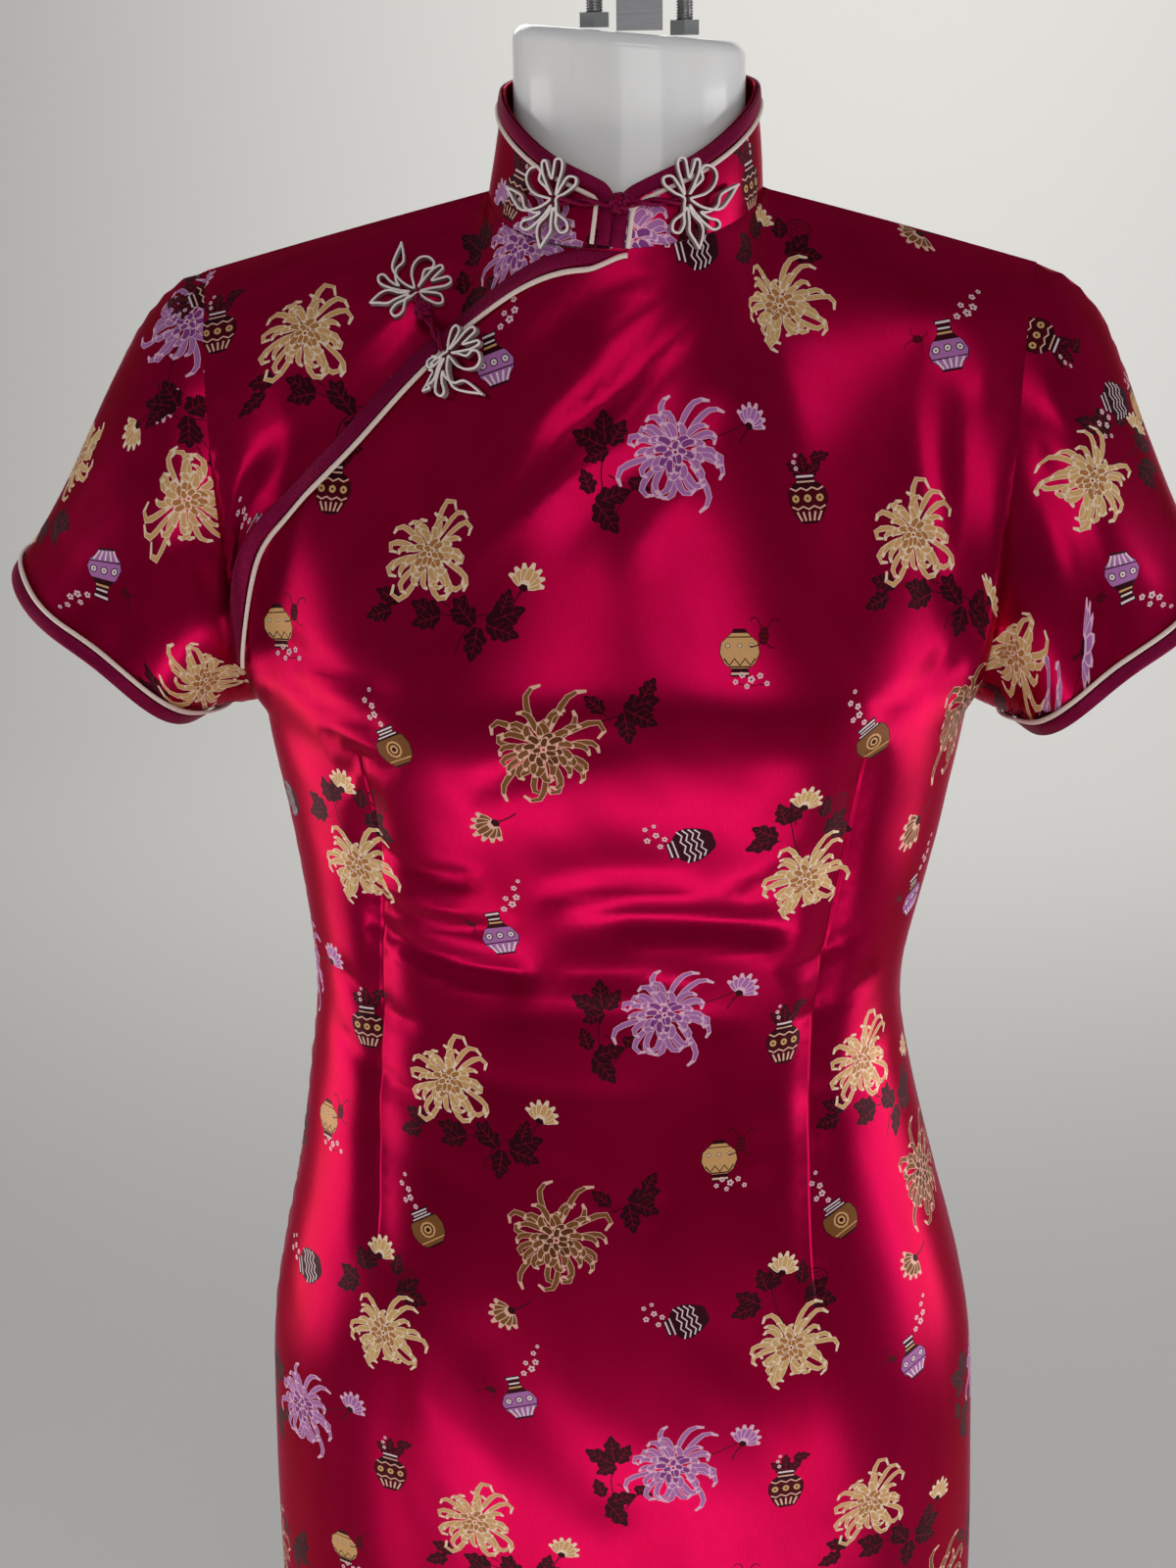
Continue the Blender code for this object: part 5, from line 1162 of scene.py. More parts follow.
def flower_bud(edge, fill):
    """A half-open flower that points up from its dark cup."""
    drawing = Drawing()
    for k in (0, 6, 1, 5, 2, 4, 3):
        heading = math.radians(90 + (k - 3) * 27)
        petal(drawing, (0, 0), heading, 8.4 - 0.5 * abs(k - 3), 2.7, (3 - k) * 0.22, 0.3 * (k - 3),
              edge, fill, points=5)
    drawing.disc((0, -0.6), 1.7, "leaf", 6, 0.8)
    drawing.stroke(bent_line((0, -1.5), math.radians(-110), 7, 0.5, points=4), 0.6, "stem")
    return drawing


def leaf(size):
    """A lobed leaf with pale veins."""
    drawing = Drawing()
    t = np.linspace(0, 1, LEAF_POINTS)
    lobes = 0.62 + 0.38 * np.abs(np.cos(3.0 * math.pi * t)) ** 1.5
    half = size * 0.37 * np.sin(math.pi * np.clip(t, 0.02, 0.98) ** 0.72) ** 0.7 * lobes
    along = t * size
    drawing.add(np.concatenate([np.stack([along, half], -1), np.stack([along, -half], -1)[::-1]]),
                "leaf")
    drawing.stroke([(0.5, 0), (size * 0.45, 0.15), (size * 0.88, 0)], (0.55, 0.45, 0.25), "vein")
    for share in (0.24, 0.46, 0.66):
        reach = size * 0.30 * math.sin(math.pi * share ** 0.72)
        for hand in (-1, 1):
            drawing.stroke([(size * share, 0), (size * share + reach * 0.75, hand * reach)],
                           (0.42, 0.2), "vein")
    return drawing


def spray(stem, leaves):
    """A stem with leaves: the stem's rows and the leaves' rows are both in millimetres."""
    drawing = Drawing()
    for x, y, direction, length, bend in stem:
        line = bent_line((x, y), math.radians(direction), length, math.radians(bend), points=6)
        drawing.stroke(line, 0.62, "stem")
    for x, y, direction, size in leaves:
        drawing.draw(leaf(size * LEAF_SCALE), (x, y), math.radians(direction))
    return drawing


def vase(profile, body, bands):
    """A vase with bands of figures: each band has a kind, its place, its size and its thread."""
    drawing = Drawing()
    rows = np.array(profile)

    def half(y):
        return np.interp(y, rows[:, 1], rows[:, 0]) - VASE_RIM

    def both_sides(right, thread):
        drawing.add(np.concatenate([right, (right * (-1, 1))[::-1]]), thread)

    both_sides(rows, "leaf")
    both_sides(rows[1:-1] - (VASE_RIM, 0), body)
    for kind, low, size, thread in bands:
        if kind == "fill":
            y = np.linspace(low, size, 4)
            both_sides(np.stack([half(y), y], -1), thread)
        if kind == "line":
            drawing.stroke([(-half(low), low), (half(low), low)], size, thread)
        if kind == "zigzag":
            xs = np.linspace(-half(low), half(low), 7)
            drawing.stroke(np.stack([xs, low + size * (-1.0) ** np.arange(7)], -1), 0.6, thread)
        if kind == "stripes":
            for share in (-0.8, -0.4, 0.0, 0.4, 0.8):
                drawing.stroke([(share * half(low), low), (share * half(size), size)], 0.75, thread)
        if kind == "discs":
            for share in (-0.64, 0.0, 0.64):
                centre = (share * half(low), low)
                drawing.disc(centre, size, "leaf")
                drawing.disc(centre, size * 0.74, thread)
                drawing.disc(centre, size * 0.26, "leaf", 5)
        if kind == "eye":
            for k, tone in enumerate((thread, "umber", thread, "leaf")):
                drawing.disc((0, low), size * (1 - 0.24 * k), tone, 10)
    return drawing


def blossoms(rows):
    """Small five-petalled blossoms on a thin branch."""
    drawing = Drawing()
    branch = np.array([(x, y) for x, y, size in rows])
    drawing.stroke(branch, 0.4, "stem")
    for x, y, size in rows:
        for k in range(5):
            turn = math.radians(90 + 72 * k + 25 * x)
            drawing.disc((x + math.cos(turn) * size, y + math.sin(turn) * size), size * 0.66,
                         "blush", 6)
        drawing.disc((x, y), size * 0.42, "leaf", 5)
    return drawing


def bow():
    """A small cord bow with two curling ends."""
    drawing = Drawing()
    drawing.disc((0, 0), 2.5, "shadow", 8, 1.7)
    for k in (-1, 0, 1):
        drawing.stroke([(-1.6, k * 1.9), (1.6, k * 1.9)], 0.35, "vein")
    for hand in (-1, 1):
        drawing.stroke(bent_line((hand * 1.2, 2.6), math.radians(90 - hand * 12), 9.5,
                                 -hand * 0.9, -hand * 2.0, 8), 0.6, "shadow")
        drawing.stroke(bent_line((hand * 1.2, -2.6), math.radians(-90 + hand * 25), 5.5,
                                 hand * 1.3, points=6), 0.6, "shadow")
    return drawing


def medallion():
    """A round tablet of plain fretwork: a ring, a square fret and a lozenge."""
    drawing = Drawing()
    turn = np.linspace(0, 2 * math.pi, 17)
    drawing.stroke(np.stack([np.cos(turn), np.sin(turn)], -1) * 5.6, 0.8, "shadow")
    for hand in (-1, 1):
        drawing.stroke([(hand * 3.3, -2.4), (hand * 3.3, 2.4)], 0.6, "shadow")
        drawing.stroke([(-2.4, hand * 3.3), (2.4, hand * 3.3)], 0.6, "shadow")
    turn = turn[::4]
    drawing.stroke(np.stack([np.cos(turn), np.sin(turn)], -1) * 1.9, 0.6, "shadow")
    return drawing


def flower_motif(name):
    """A chrysanthemum on its leaves, with a bud beside it."""
    tones, seed, size, *bud = FLOWERS[name]
    drawing = Drawing()
    drawing.draw(spray(*SPRAYS[name]))
    drawing.draw(chrysanthemum(*tones, seed, size))
    drawing.draw(flower_bud(*tones[:2]), *bud)
    return drawing


def vase_motif(name):
    """A vase with what stands beside it; a later part covers an earlier one."""
    outline, body, bands, turn, parts = VASES[name]
    drawing = Drawing()
    for part in parts:
        if part == "vase":
            drawing.draw(vase(outline, body, bands), (0, 0), turn, VASE_SCALE)
        if part == "bow":
            drawing.draw(bow(), *BOWS[name])
        if part == "blossoms":
            drawing.draw(blossoms(BLOSSOMS[name]))
        if part == "spray":
            drawing.draw(spray(*SPRAYS[name]))
    return drawing


def motif(name):
    """One motif of the cloth, centred on itself."""
    if name in FLOWERS:
        return flower_motif(name)
    return vase_motif(name) if name in VASES else medallion()


# ---- the cloth's finer form ----------------------------------------------------------------------
class Sampled:
    """A slow function of two parameters, kept as a table and read by smooth cubic steps."""

    def __init__(self, function, a_span, b_span, counts):
        self.counts = counts
        self.low, self.step = zip(*[(low, (high - low) / (count - 1)) for (low, high), count
                                    in zip((a_span, b_span), counts)])
        ga, gb = np.meshgrid(np.linspace(*a_span, counts[0]), np.linspace(*b_span, counts[1]),
                             indexing="ij")
        table = np.concatenate(function(ga, gb), -1)
        table = np.concatenate([2 * table[:1] - table[1:2], table, 2 * table[-1:] - table[-2:-1]])
        self.values = np.concatenate([2 * table[:, :1] - table[:, 1:2], table,
                                      2 * table[:, -1:] - table[:, -2:-1]], 1)

    def place(self, value, axis):
        x = np.clip((value - self.low[axis]) / self.step[axis], 0, self.counts[axis] - 1)
        i = np.minimum(x.astype(int), self.counts[axis] - 2)
        p = (x - i)[..., None]
        return i, (p * (-0.5 + p - 0.5 * p * p), 1 - 2.5 * p * p + 1.5 * p ** 3,
                   p * (0.5 + 2 * p - 1.5 * p * p), 0.5 * p * p * (p - 1))

    def __call__(self, a, b):
        i, across = self.place(np.asarray(a, float), 0)
        j, up = self.place(np.asarray(b, float), 1)
        total = 0.0
        for m in range(4):
            row = 0.0
            for n in range(4):
                row = row + self.values[i + m, j + n] * up[n]
            total = total + row * across[m]
        return total[..., :3], total[..., 3:]


def smooth_body(side):
    """The body's surface and its normal as a table, eased across its columns below the top edge."""
    def eased(u, v):
        points = body(side, u, v, creased=False)
        loose = (smooth((2 - v) / EASE_TOP) * off_sides(u, EASE_SIDE))[..., None]
        for _ in range(EASE_ROUNDS):
            across = points.copy()
            across[1:-1] = (points[:-2] + 2 * points[1:-1] + points[2:]) / 4
            points = points + (across - points) * loose
        outward = np.cross(np.gradient(points, axis=0), np.gradient(points, axis=1))
        return points, unit(outward) * -side
    return Sampled(eased, (-1, 1), (0, 2), BODY_TABLE)


def smooth_sleeve(hand):
    """A sleeve's plain surface and its normal as a table."""
    def plain(q, r):
        away = normal(lambda a, b: sleeve(hand, a % 1.0, b), q, inner(r, 0, 1, ROW_MARGIN), -hand)
        return sleeve(hand, q, r), away
    return Sampled(plain, (0, 1), (0, 1), SLEEVE_TABLE)


BODY_SKIN = {side: smooth_body(side) for side in (-1, 1)}
SLEEVE_SKIN = {hand: smooth_sleeve(hand) for hand in (-1, 1)}


def creases(side, points):
    """Depth of the creases at points: each row is a trough, or a ridge where it is negative."""
    depth = np.zeros(points.shape[:-1])
    for row_side, *row in CREASES:
        if row_side == side:
            *ends, half_width, deep, bow_out = np.array(row) / 1000
            depth += trough(points, ends, half_width, deep, CREASE_END, bow_out)
    return depth


def waves(points, seed, lengths, reach):
    """A few seeded waves that run in different directions."""
    rng = np.random.default_rng(seed)
    total = np.zeros(points.shape[:-1])
    for _ in range(RIPPLE_WAVES):
        direction = rng.normal(size=3) * (1.0, 1.0, RIPPLE_UPRIGHT)
        direction /= np.linalg.norm(direction)
        length = rng.uniform(*lengths)
        total += np.sin(points @ direction * 2 * math.pi / length + rng.uniform(0, 6.28))
    return total * reach / math.sqrt(RIPPLE_WAVES)


def ripple(points, seed):
    """Faint unevenness of cloth that hangs: long waves, and small ones that come and go."""
    patches = smooth(waves(points, seed + PATCH_SEED, PATCH_LENGTHS, 1.0) * PATCH_SWING + PATCH_SHARE)
    return (waves(points, seed, RIPPLE_LENGTHS, RIPPLE_REACH)
            + patches * waves(points, seed + CRINKLE_SEED, CRINKLE_LENGTHS, CRINKLE_REACH))


def seam_pucker(u, v, height):
    """Small even puckers beside the closed side seam, and a soft dip along each seam."""
    inward = 1 - np.abs(u)
    dip = SEAM_DIP * np.exp(-(inward / SEAM_DIP_WIDTH) ** 2) * (v < 2 - NEAR)
    band = smooth((height - PUCKER_LOW) / PUCKER_FADE) * smooth((PUCKER_HIGH - height) / PUCKER_FADE)
    wave = 0.5 + 0.5 * np.cos(2 * math.pi * height / PUCKER_PITCH)
    beside = np.exp(-((inward - PUCKER_OFF) / PUCKER_HALF) ** 2) * (u < 0)
    return dip + PUCKER_DEPTH * wave * beside * band


def darts(side):
    """Each dart of a side: its seam's share across as a function of v, and its first and last v."""
    for row_side, row in DARTS:
        if row_side == side:
            yield spline([(v, u) for v, u in row])[0], row[0][0], row[-1][0]


def dart_grooves(side, u, v):
    """The narrow groove of each dart's seam, fading out at both points."""
    depth = 0.0
    for line, low, high in darts(side):
        off = (u - line(v)) * DART_REACH
        ends = smooth((v - low) / DART_FADE) * smooth((high - v) / DART_FADE)
        depth = depth + ends * (DART_DEPTH * np.exp(-(off / DART_HALF) ** 2)
                                + DART_DIP * np.exp(-(off / DART_DIP_HALF) ** 2))
    return depth


def dart_guides(chart, side):
    """Lines of a panel's mesh along its darts, so that the grooves are crisp."""
    guides = []
    for line, low, high in darts(side):
        v = np.arange(low, high, DART_STEP)
        for off in DART_LINES:
            u = line(v) + off * DART_HALF / DART_REACH
            guides.append((chart.flat(u, v), [(k, k + 1) for k in range(len(v) - 1)]))
    return guides


def cloth_body(side, u, v):
    """The body's surface with its creases, puckers and unevenness."""
    u = np.asarray(u, float)
    v = np.asarray(v, float)
    points, outward = BODY_SKIN[side](u, v)
    points[..., 1] -= side * folds(side, points) * off_sides(u, FOLD_FADE)
    edge = off_sides(u, RELIEF_SIDE) * smooth((2 - v) / RELIEF_TOP)
    deep = creases(side, points) + ripple(points, SEEDS["body"] + side)
    deep = (deep + dart_grooves(side, u, v)) * edge + seam_pucker(u, v, points[..., 2])
    points = points - unit(outward) * deep[..., None]
    return spread(points, u, v, side)


def spread(points, u, v, side):
    """Draw the panel's side edges back below the slit, more towards the hem."""
    share = np.clip((SLIT_HEIGHT - points[..., 2]) / (SLIT_HEIGHT - HEM_HEIGHT), 0, 1) * (v < 1)
    points = points.copy()
    near_side = smooth((np.abs(u) - SPREAD_START) / (1 - SPREAD_START))
    points[..., 1] += side * SLIT_SPREAD * share * near_side
    return points


def fine_normal(surface, a, b, low, high, flip):
    """Outward normal from differences small enough to follow the creases."""
    da = NORMAL_STEP * (high[0] - low[0])
    db = NORMAL_STEP * (high[1] - low[1])
    a0, a1 = np.maximum(a - da, low[0]), np.minimum(a + da, high[0])
    b0, b1 = np.maximum(b - db, low[1]), np.minimum(b + db, high[1])
    along = surface(a1, b) - surface(a0, b)
    up = surface(a, b1) - surface(a, b0)
    return unit(np.cross(along, up)) * flip


# ---- panels --------------------------------------------------------------------------------------
def linear(color):
    c = np.asarray(color, float)
    return np.where(c <= 0.04045, c / 12.92, ((c + 0.055) / 1.055) ** 2.4)


MOTIFS = {name: motif(name) for name, across, along in TILE}
LINES = {name: shown_lines(drawing.shapes) for name, drawing in MOTIFS.items()}


def stretch(flat, rows):
    """Where the cloth's even repeat lies on a panel that darts and ease have drawn in."""
    table = np.array(rows, float)
    along = np.interp(flat[1], table[:, 0], table[:, 1])
    return np.array([flat[0] * np.interp(along, table[:, 1], table[:, 2]), along])


def repeats(ease, origin):
    """Every motif of the even repeat round a panel's origin: its name, place and turn."""
    rows = []
    for i in range(-PATTERN_TILES, PATTERN_TILES + 1):
        for j in range(-PATTERN_TILES, PATTERN_TILES + 1):
            for name, across, along in TILE:
                at = np.array([across + i * TILE_SIZE[0], along + j * TILE_SIZE[1]])
                rows.append((name, *(stretch(at, ease) + origin), 0.0))
    return rows


def unstretched(chart, surface, at):
    """The matrix that undoes the stretch of a panel's flat coordinates round a place."""
    flat = at / 1000 + np.array([(1, 0), (-1, 0), (0, 1), (0, -1)]) * STRETCH_STEP
    points = surface(*chart.place(flat))
    along = np.stack([points[0] - points[1], points[2] - points[3]]) / (2 * STRETCH_STEP)
    sizes, turns = np.linalg.eigh(along @ along.T)
    if sizes.min() < STRETCH_EDGE[0] and sizes.max() < STRETCH_EDGE[1]:
        return np.eye(2)
    return (turns / np.sqrt(np.clip(sizes, *STRETCH_LIMITS))) @ turns.T


def pattern(loop, rows, chart, surface):
    """The figures that fall on a panel, in metres: their lines, outlines and colours."""
    low, high = loop.min(0) * 1000 - MOTIF_REACH, loop.max(0) * 1000 + MOTIF_REACH
    lines = []
    outlines = []
    threads = []
    for name, across, along, turn in rows:
        at = np.array([across, along])
        if np.any(at < low) or np.any(at > high):
            continue
        c, s = math.cos(turn), math.sin(turn)
        turned = np.array([[c, s], [-s, c]]) @ unstretched(chart, surface, at)
        points, pairs = LINES[name]
        lines.append(((points @ turned + at) / 1000, pairs))
        for outline, thread in MOTIFS[name].shapes:
            outlines.append((outline @ turned + at) / 1000)
            threads.append(linear(THREADS[thread]))
    return lines, outlines, threads


def outline_of(chart, corners, step):
    """Points along a panel's edge through corner rows of parameters, with those parameters."""
    ends = np.array(corners, float)
    pieces = []
    for k in range(len(ends)):
        a0, a1 = ends[k], ends[(k + 1) % len(ends)]
        length = np.linalg.norm(chart.flat(*a1[:, None]) - chart.flat(*a0[:, None]))
        count = max(int(length / step), 1)
        share = np.arange(count)[:, None] / count
        pieces.append(a0 * (1 - share) + a1 * share)
    return np.concatenate(pieces)


def edge_parameters(points, loop, parameters):
    """Parameters of points on an outline, from the outline's own corners."""
    found = np.empty((len(points), 2))
    after = np.roll(loop, -1, 0)
    span = after - loop
    size = np.maximum(np.sum(span * span, -1), 1e-18)
    follow = np.roll(parameters, -1, 0)
    for k, point in enumerate(points):
        share = np.clip(np.sum((point - loop) * span, -1) / size, 0, 1)
        off = np.linalg.norm(loop + span * share[:, None] - point, axis=-1)
        i = np.argmin(off)
        found[k] = parameters[i] * (1 - share[i]) + follow[i] * share[i]
    return found


def boundary(faces):
    """The vertices round the rim of a sheet of triangles, in order."""
    edges = {edge: True for face in faces for edge in zip(face, face[1:] + face[:1])}
    follow = {a: b for a, b in edges if (b, a) not in edges}
    start = next(iter(follow))
    loop = [start]
    while follow[loop[-1]] != start:
        loop.append(follow[loop[-1]])
    return loop


def outer_face(loop, lines, outlines):
    """A panel's fine triangles, and the number of the figure's outline that covers each."""
    flat, faces, _ = triangulate(loop, lines, lattice(loop, FINE_STEP))
    tops = topmost(flat[np.array(faces)].mean(1), outlines)
    used = sorted({v for face in faces for v in face})
    renumber = {v: i for i, v in enumerate(used)}
    return flat[used], [[renumber[v] for v in face] for face in faces], tops


def inner_face(rim_flat):
    """The coarse triangles of a panel's inside, and where among them each rim point lies."""
    flat, faces, origins = triangulate(rim_flat, [], lattice(rim_flat, COARSE_STEP))
    place_of = {}
    for vertex, sources in enumerate(origins):
        for source in sources:
            if source < len(rim_flat):
                place_of[source] = vertex
    return flat, [face[::-1] for face in faces], place_of


def weave(mesh, tops, threads, flat):
    """Write a panel's thread colours, the faces that have one, and the cloth coordinates."""
    colour = mesh.color_attributes.new("weave", "BYTE_COLOR", "CORNER")
    table = np.array([(0.0, 0.0, 0.0, 0.0)] + [(*t, 1.0) for t in threads], np.float32)
    top_of_loop = np.zeros(len(mesh.loops), int)
    top_of_loop[:3 * len(tops)] = np.repeat(tops, 3)
    colour.data.foreach_set("color", table[top_of_loop].ravel())
    threaded = mesh.attributes.new("thread", "FLOAT", "FACE")
    has_thread = np.zeros(len(mesh.polygons), np.float32)
    has_thread[:len(tops)] = tops > 0
    threaded.data.foreach_set("value", has_thread)
    uv = mesh.uv_layers.new(name="cloth")
    corner = np.empty(len(mesh.loops), int)
    mesh.loops.foreach_get("vertex_index", corner)
    uv.data.foreach_set("uv", flat[corner].ravel())


def panel(name, chart, surface, away, parameters, rows, guides=()):
    """A closed cloth wall: its outer face carries the woven figures as coloured triangles."""
    loop = chart.flat(parameters[:, 0], parameters[:, 1])
    if signed_area(loop) < 0:
        loop, parameters = loop[::-1], parameters[::-1]
    lines, outlines, threads = pattern(loop, rows, chart, surface)
    flat, faces, tops = outer_face(loop, lines + list(guides), outlines)
    rim = boundary(faces)
    rim_flat = flat[rim]
    a, b = chart.place(flat)
    a[rim], b[rim] = edge_parameters(rim_flat, loop, parameters).T
    back_flat, back_faces, place_of = inner_face(rim_flat)
    back_a, back_b = chart.place(back_flat)
    for source, vertex in place_of.items():
        back_a[vertex], back_b[vertex] = a[rim[source]], b[rim[source]]
    outer = surface(a, b)
    inward = -away(back_a, back_b)
    start = len(outer)
    all_faces = faces + [[v + start for v in face] for face in back_faces]
    for k, corner in enumerate(rim):
        n = (k + 1) % len(rim)
        all_faces.append([rim[n], corner, start + place_of[k], start + place_of[n]])
    normals = np.concatenate([away(a, b), inward])
    corners = outer[np.array(faces)]
    facing = np.cross(corners[:, 1] - corners[:, 0], corners[:, 2] - corners[:, 0])
    if np.sum(facing * normals[np.array(faces)[:, 0]]) < 0:
        all_faces = [face[::-1] for face in all_faces]
    points = np.concatenate([outer, surface(back_a, back_b) + inward * CLOTH])
    mesh = bpy.data.meshes.new(name)
    mesh.from_pydata([tuple(p) for p in points], [], all_faces)
    weave(mesh, tops, threads, np.concatenate([flat, back_flat]))
    mesh.shade_smooth()
    mesh.normals_split_custom_set_from_vertices(normals.tolist())
    return placed(name, mesh), rim_flat.max(0) - rim_flat.min(0), abs(signed_area(rim_flat))


# ---- making the cloth pieces ---------------------------------------------------------------------
def keep(piece, finish, slot, *nodes):
    """Give a new piece its material, its body and the solids it stands for; the slot is not used."""
    piece.data.materials.append(finish)
    if nodes:
        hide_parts(*nodes)
    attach(piece, "root")
    return piece


def front_surface(u, v):
    return cloth_body(-1, u, v)


def back_surface(u, v):
    return cloth_body(1, u, v)


def front_normal(u, v):
    return fine_normal(front_surface, u, v, (-1, 0), (1, 2), 1.0)


def back_normal(u, v):
    return fine_normal(back_surface, u, v, (-1, 0), (1, 2), -1.0)


def underlap_surface(u, v):
    """The underlap lies under the flap's level and comes up to it beyond the flap's edge."""
    points = front_surface(u, v)
    plain, outward = BODY_SKIN[-1](u, v)
    return points - unit(outward) * underlap_inset(plain, u)[..., None]


def underlap_inset(points, u):
    above = points[..., 2] - FLAP_HEIGHT(np.abs(u))
    by_arm = smooth((-u - UNDERLAP_TUCK_START) / UNDERLAP_TUCK_RUN)
    deep = CLOTH + UNDERLAP_GAP + UNDERLAP_TUCK * by_arm
    return deep * (1 - smooth((above - UNDERLAP_CLEAR) / UNDERLAP_BLEND))


def underlap_normal(u, v):
    return fine_normal(underlap_surface, u, v, (-1, 1), (0, 2), 1.0)


def body_chart(surface):
    low, high = BODY_ROWS
    v = np.concatenate([np.linspace(0, 1, low), np.linspace(1, 2, high)[1:]])
    return Chart(surface, np.linspace(-1, 1, BODY_COLUMNS), v, 0.0, 1.0)


def ladder(a, low, high, count):
    """Corners up one edge, without its end."""
    return [(a, b) for b in np.linspace(low, high, count, endpoint=False)]


def level(b, low, high, count):
    """Corners across at one height, without the last."""
    return [(a, b) for a in np.linspace(low, high, count, endpoint=False)]


def front_outline():
    across = np.linspace(0.0, -EDGE, EDGE_CORNERS)
    edge = flap_top(across)
    rows = ladder(EDGE, 0, 2, EDGE_CORNERS) + level(2.0, EDGE, 0.0, HALF_CORNERS)
    rows += list(zip(across, edge)) + ladder(-EDGE, float(edge[-1]), 0, HALF_CORNERS)[1:]
    return rows + level(0.0, -EDGE, EDGE, EDGE_CORNERS)


def back_outline():
    return (ladder(EDGE, 0, 2, EDGE_CORNERS) + level(2.0, EDGE, -EDGE, 2 * HALF_CORNERS)
            + ladder(-EDGE, 2, 0, EDGE_CORNERS) + level(0.0, -EDGE, EDGE, EDGE_CORNERS))


def underlap_outline():
    bottom_corners, end_corners, side_corners = UNDERLAP_CORNERS
    across = np.linspace(-EDGE, UNDERLAP_END, bottom_corners)
    overlap = smooth((1 + across) / FLAP_OVERLAP_RUN)
    overlap = FLAP_OVERLAP_END + (FLAP_OVERLAP - FLAP_OVERLAP_END) * overlap
    bottom = column_at(across, FLAP_HEIGHT(np.abs(across)) - overlap)
    rows = list(zip(across, bottom)) + ladder(UNDERLAP_END, bottom[-1], 2.0, end_corners)[1:]
    rows += level(2.0, UNDERLAP_END, -EDGE, HALF_CORNERS)
    return rows + ladder(-EDGE, 2.0, bottom[0], side_corners)


def cloth_panel(name, chart, surface, away, corners, figures, node, guides=()):
    """A panel of the brocade, cut along its corners, that takes the place of its solid."""
    parameters = outline_of(chart, corners, FINE_STEP)
    piece, size, area = panel(name, chart, surface, away, parameters, figures, guides)
    keep(piece, SATIN, "crimson_satin", node)
    return piece


def armhole_shift(hand):
    """How far a sleeve's start moves to lie just under the body's edge, round the armhole."""
    q = np.linspace(0, 1, ARMHOLE_STATIONS)
    u = hand * ARMHOLE_EDGE + 0 * q
    v = arm_height(q)
    targets = []
    for side in (-1, 1):
        outward = BODY_SKIN[side](u, v)[1]
        targets.append(cloth_body(side, u, v) - unit(outward) * ARMHOLE_TUCK)
    start = SLEEVE_SKIN[hand](q, SLEEVE_START + 0 * q)[0]
    return q, np.where((q <= 0.5)[:, None], targets[0], targets[1]) - start


def sleeve_surface(hand):
    places, shifts = armhole_shift(hand)

    def surface(q, r):
        q = np.asarray(q, float)
        r = np.asarray(r, float)
        points, outward = SLEEVE_SKIN[hand](q, r)
        edge = smooth(r / SLEEVE_FADE[0]) * smooth((1 - r) / SLEEVE_FADE[1])
        deep = 0.0
        for row_hand, place, turn, half, depth in SLEEVE_FOLDS:
            if row_hand == hand:
                off = q - place - turn * (r - 0.5)
                deep = deep + depth * np.exp(-(off / half) ** 2)
        deep = (deep + ripple(points, SEEDS["sleeve"] + hand)) * edge
        by_hem = smooth((r - HEM_WAVE_START) / (1 - HEM_WAVE_START))
        wave = HEM_WAVE * by_hem * np.sin(2 * math.pi * HEM_WAVES * q + HEM_PHASE)
        shift = np.stack([np.interp(q, places, shifts[:, k]) for k in range(3)], -1)
        return (points - unit(outward) * (deep + wave)[..., None]
                + shift * (1 - smooth(r / ARMHOLE_BLEND))[..., None])
    return surface


def sleeve_piece(hand, wearer_side):
    surface = sleeve_surface(hand)

    def away(q, r):
        return fine_normal(surface, q, r, (0, 0), (1, 1), -hand)

    chart = Chart(surface, *[np.linspace(0, 1, count) for count in SLEEVE_LINES], 0.5, 0.0)
    low, high = SLEEVE_SEAM, 1 - SLEEVE_SEAM
    rows = level(SLEEVE_START, low, high, ROUND_CORNERS)
    rows += ladder(high, SLEEVE_START, 1.0, SLEEVE_END_CORNERS)
    rows += level(1.0, high, low, ROUND_CORNERS)
    rows += ladder(low, 1.0, SLEEVE_START, SLEEVE_END_CORNERS)
    name = "cloth_sleeve_" + wearer_side
    return cloth_panel(name, chart, surface, away, rows, PLACED[name], "sleeve_" + wearer_side)


def wrapped(w):
    """The place round the collar for a run that may cross the centre front."""
    return (np.asarray(w, float) + 1) % 2 - 1


def closed_collar(w, k):
    """The collar's surface, whose wearer's-left end reaches across to meet the right one."""
    points = collar(wrapped(w), k)
    edge = smooth((1 - np.abs(np.asarray(k) - 0.5) * 2) / COLLAR_FADE)
    deep = ripple(points, SEEDS["collar"]) * edge
    return points - closed_normal(w, k) * deep[..., None]


def closed_normal(w, k):
    return collar_normal(wrapped(w), k)


def collar_piece():
    low, high = COLLAR_SPAN
    near, far = low + COLLAR_CORNER, high - COLLAR_CORNER
    drop = COLLAR_CORNER_DROP

    def away(w, k):
        return fine_normal(closed_collar, w, k, (low, 0), (high, 1), -1.0)

    columns, lines = COLLAR_LINES
    chart = Chart(closed_collar, np.linspace(low, high, columns), np.linspace(0, 1, lines), 0.0, 0.0)
    turn = np.linspace(0, math.pi / 2, COLLAR_END_CORNERS, endpoint=False)
    rows = level(COLLAR_START, low, high, ROUND_CORNERS)
    rows += ladder(high, COLLAR_START, 1 - drop, COLLAR_END_CORNERS)
    rows += [(high - COLLAR_CORNER * (1 - math.cos(t)), 1 - drop * (1 - math.sin(t))) for t in turn]
    rows += level(1.0, far, near, ROUND_CORNERS)
    rows += [(low + COLLAR_CORNER * (1 - math.sin(t)), 1 - drop * (1 - math.cos(t))) for t in turn]
    rows += ladder(low, 1 - drop, COLLAR_START, COLLAR_END_CORNERS)
    return cloth_panel("cloth_collar", chart, closed_collar, away, rows, PLACED["cloth_collar"],
                       "collar_band")


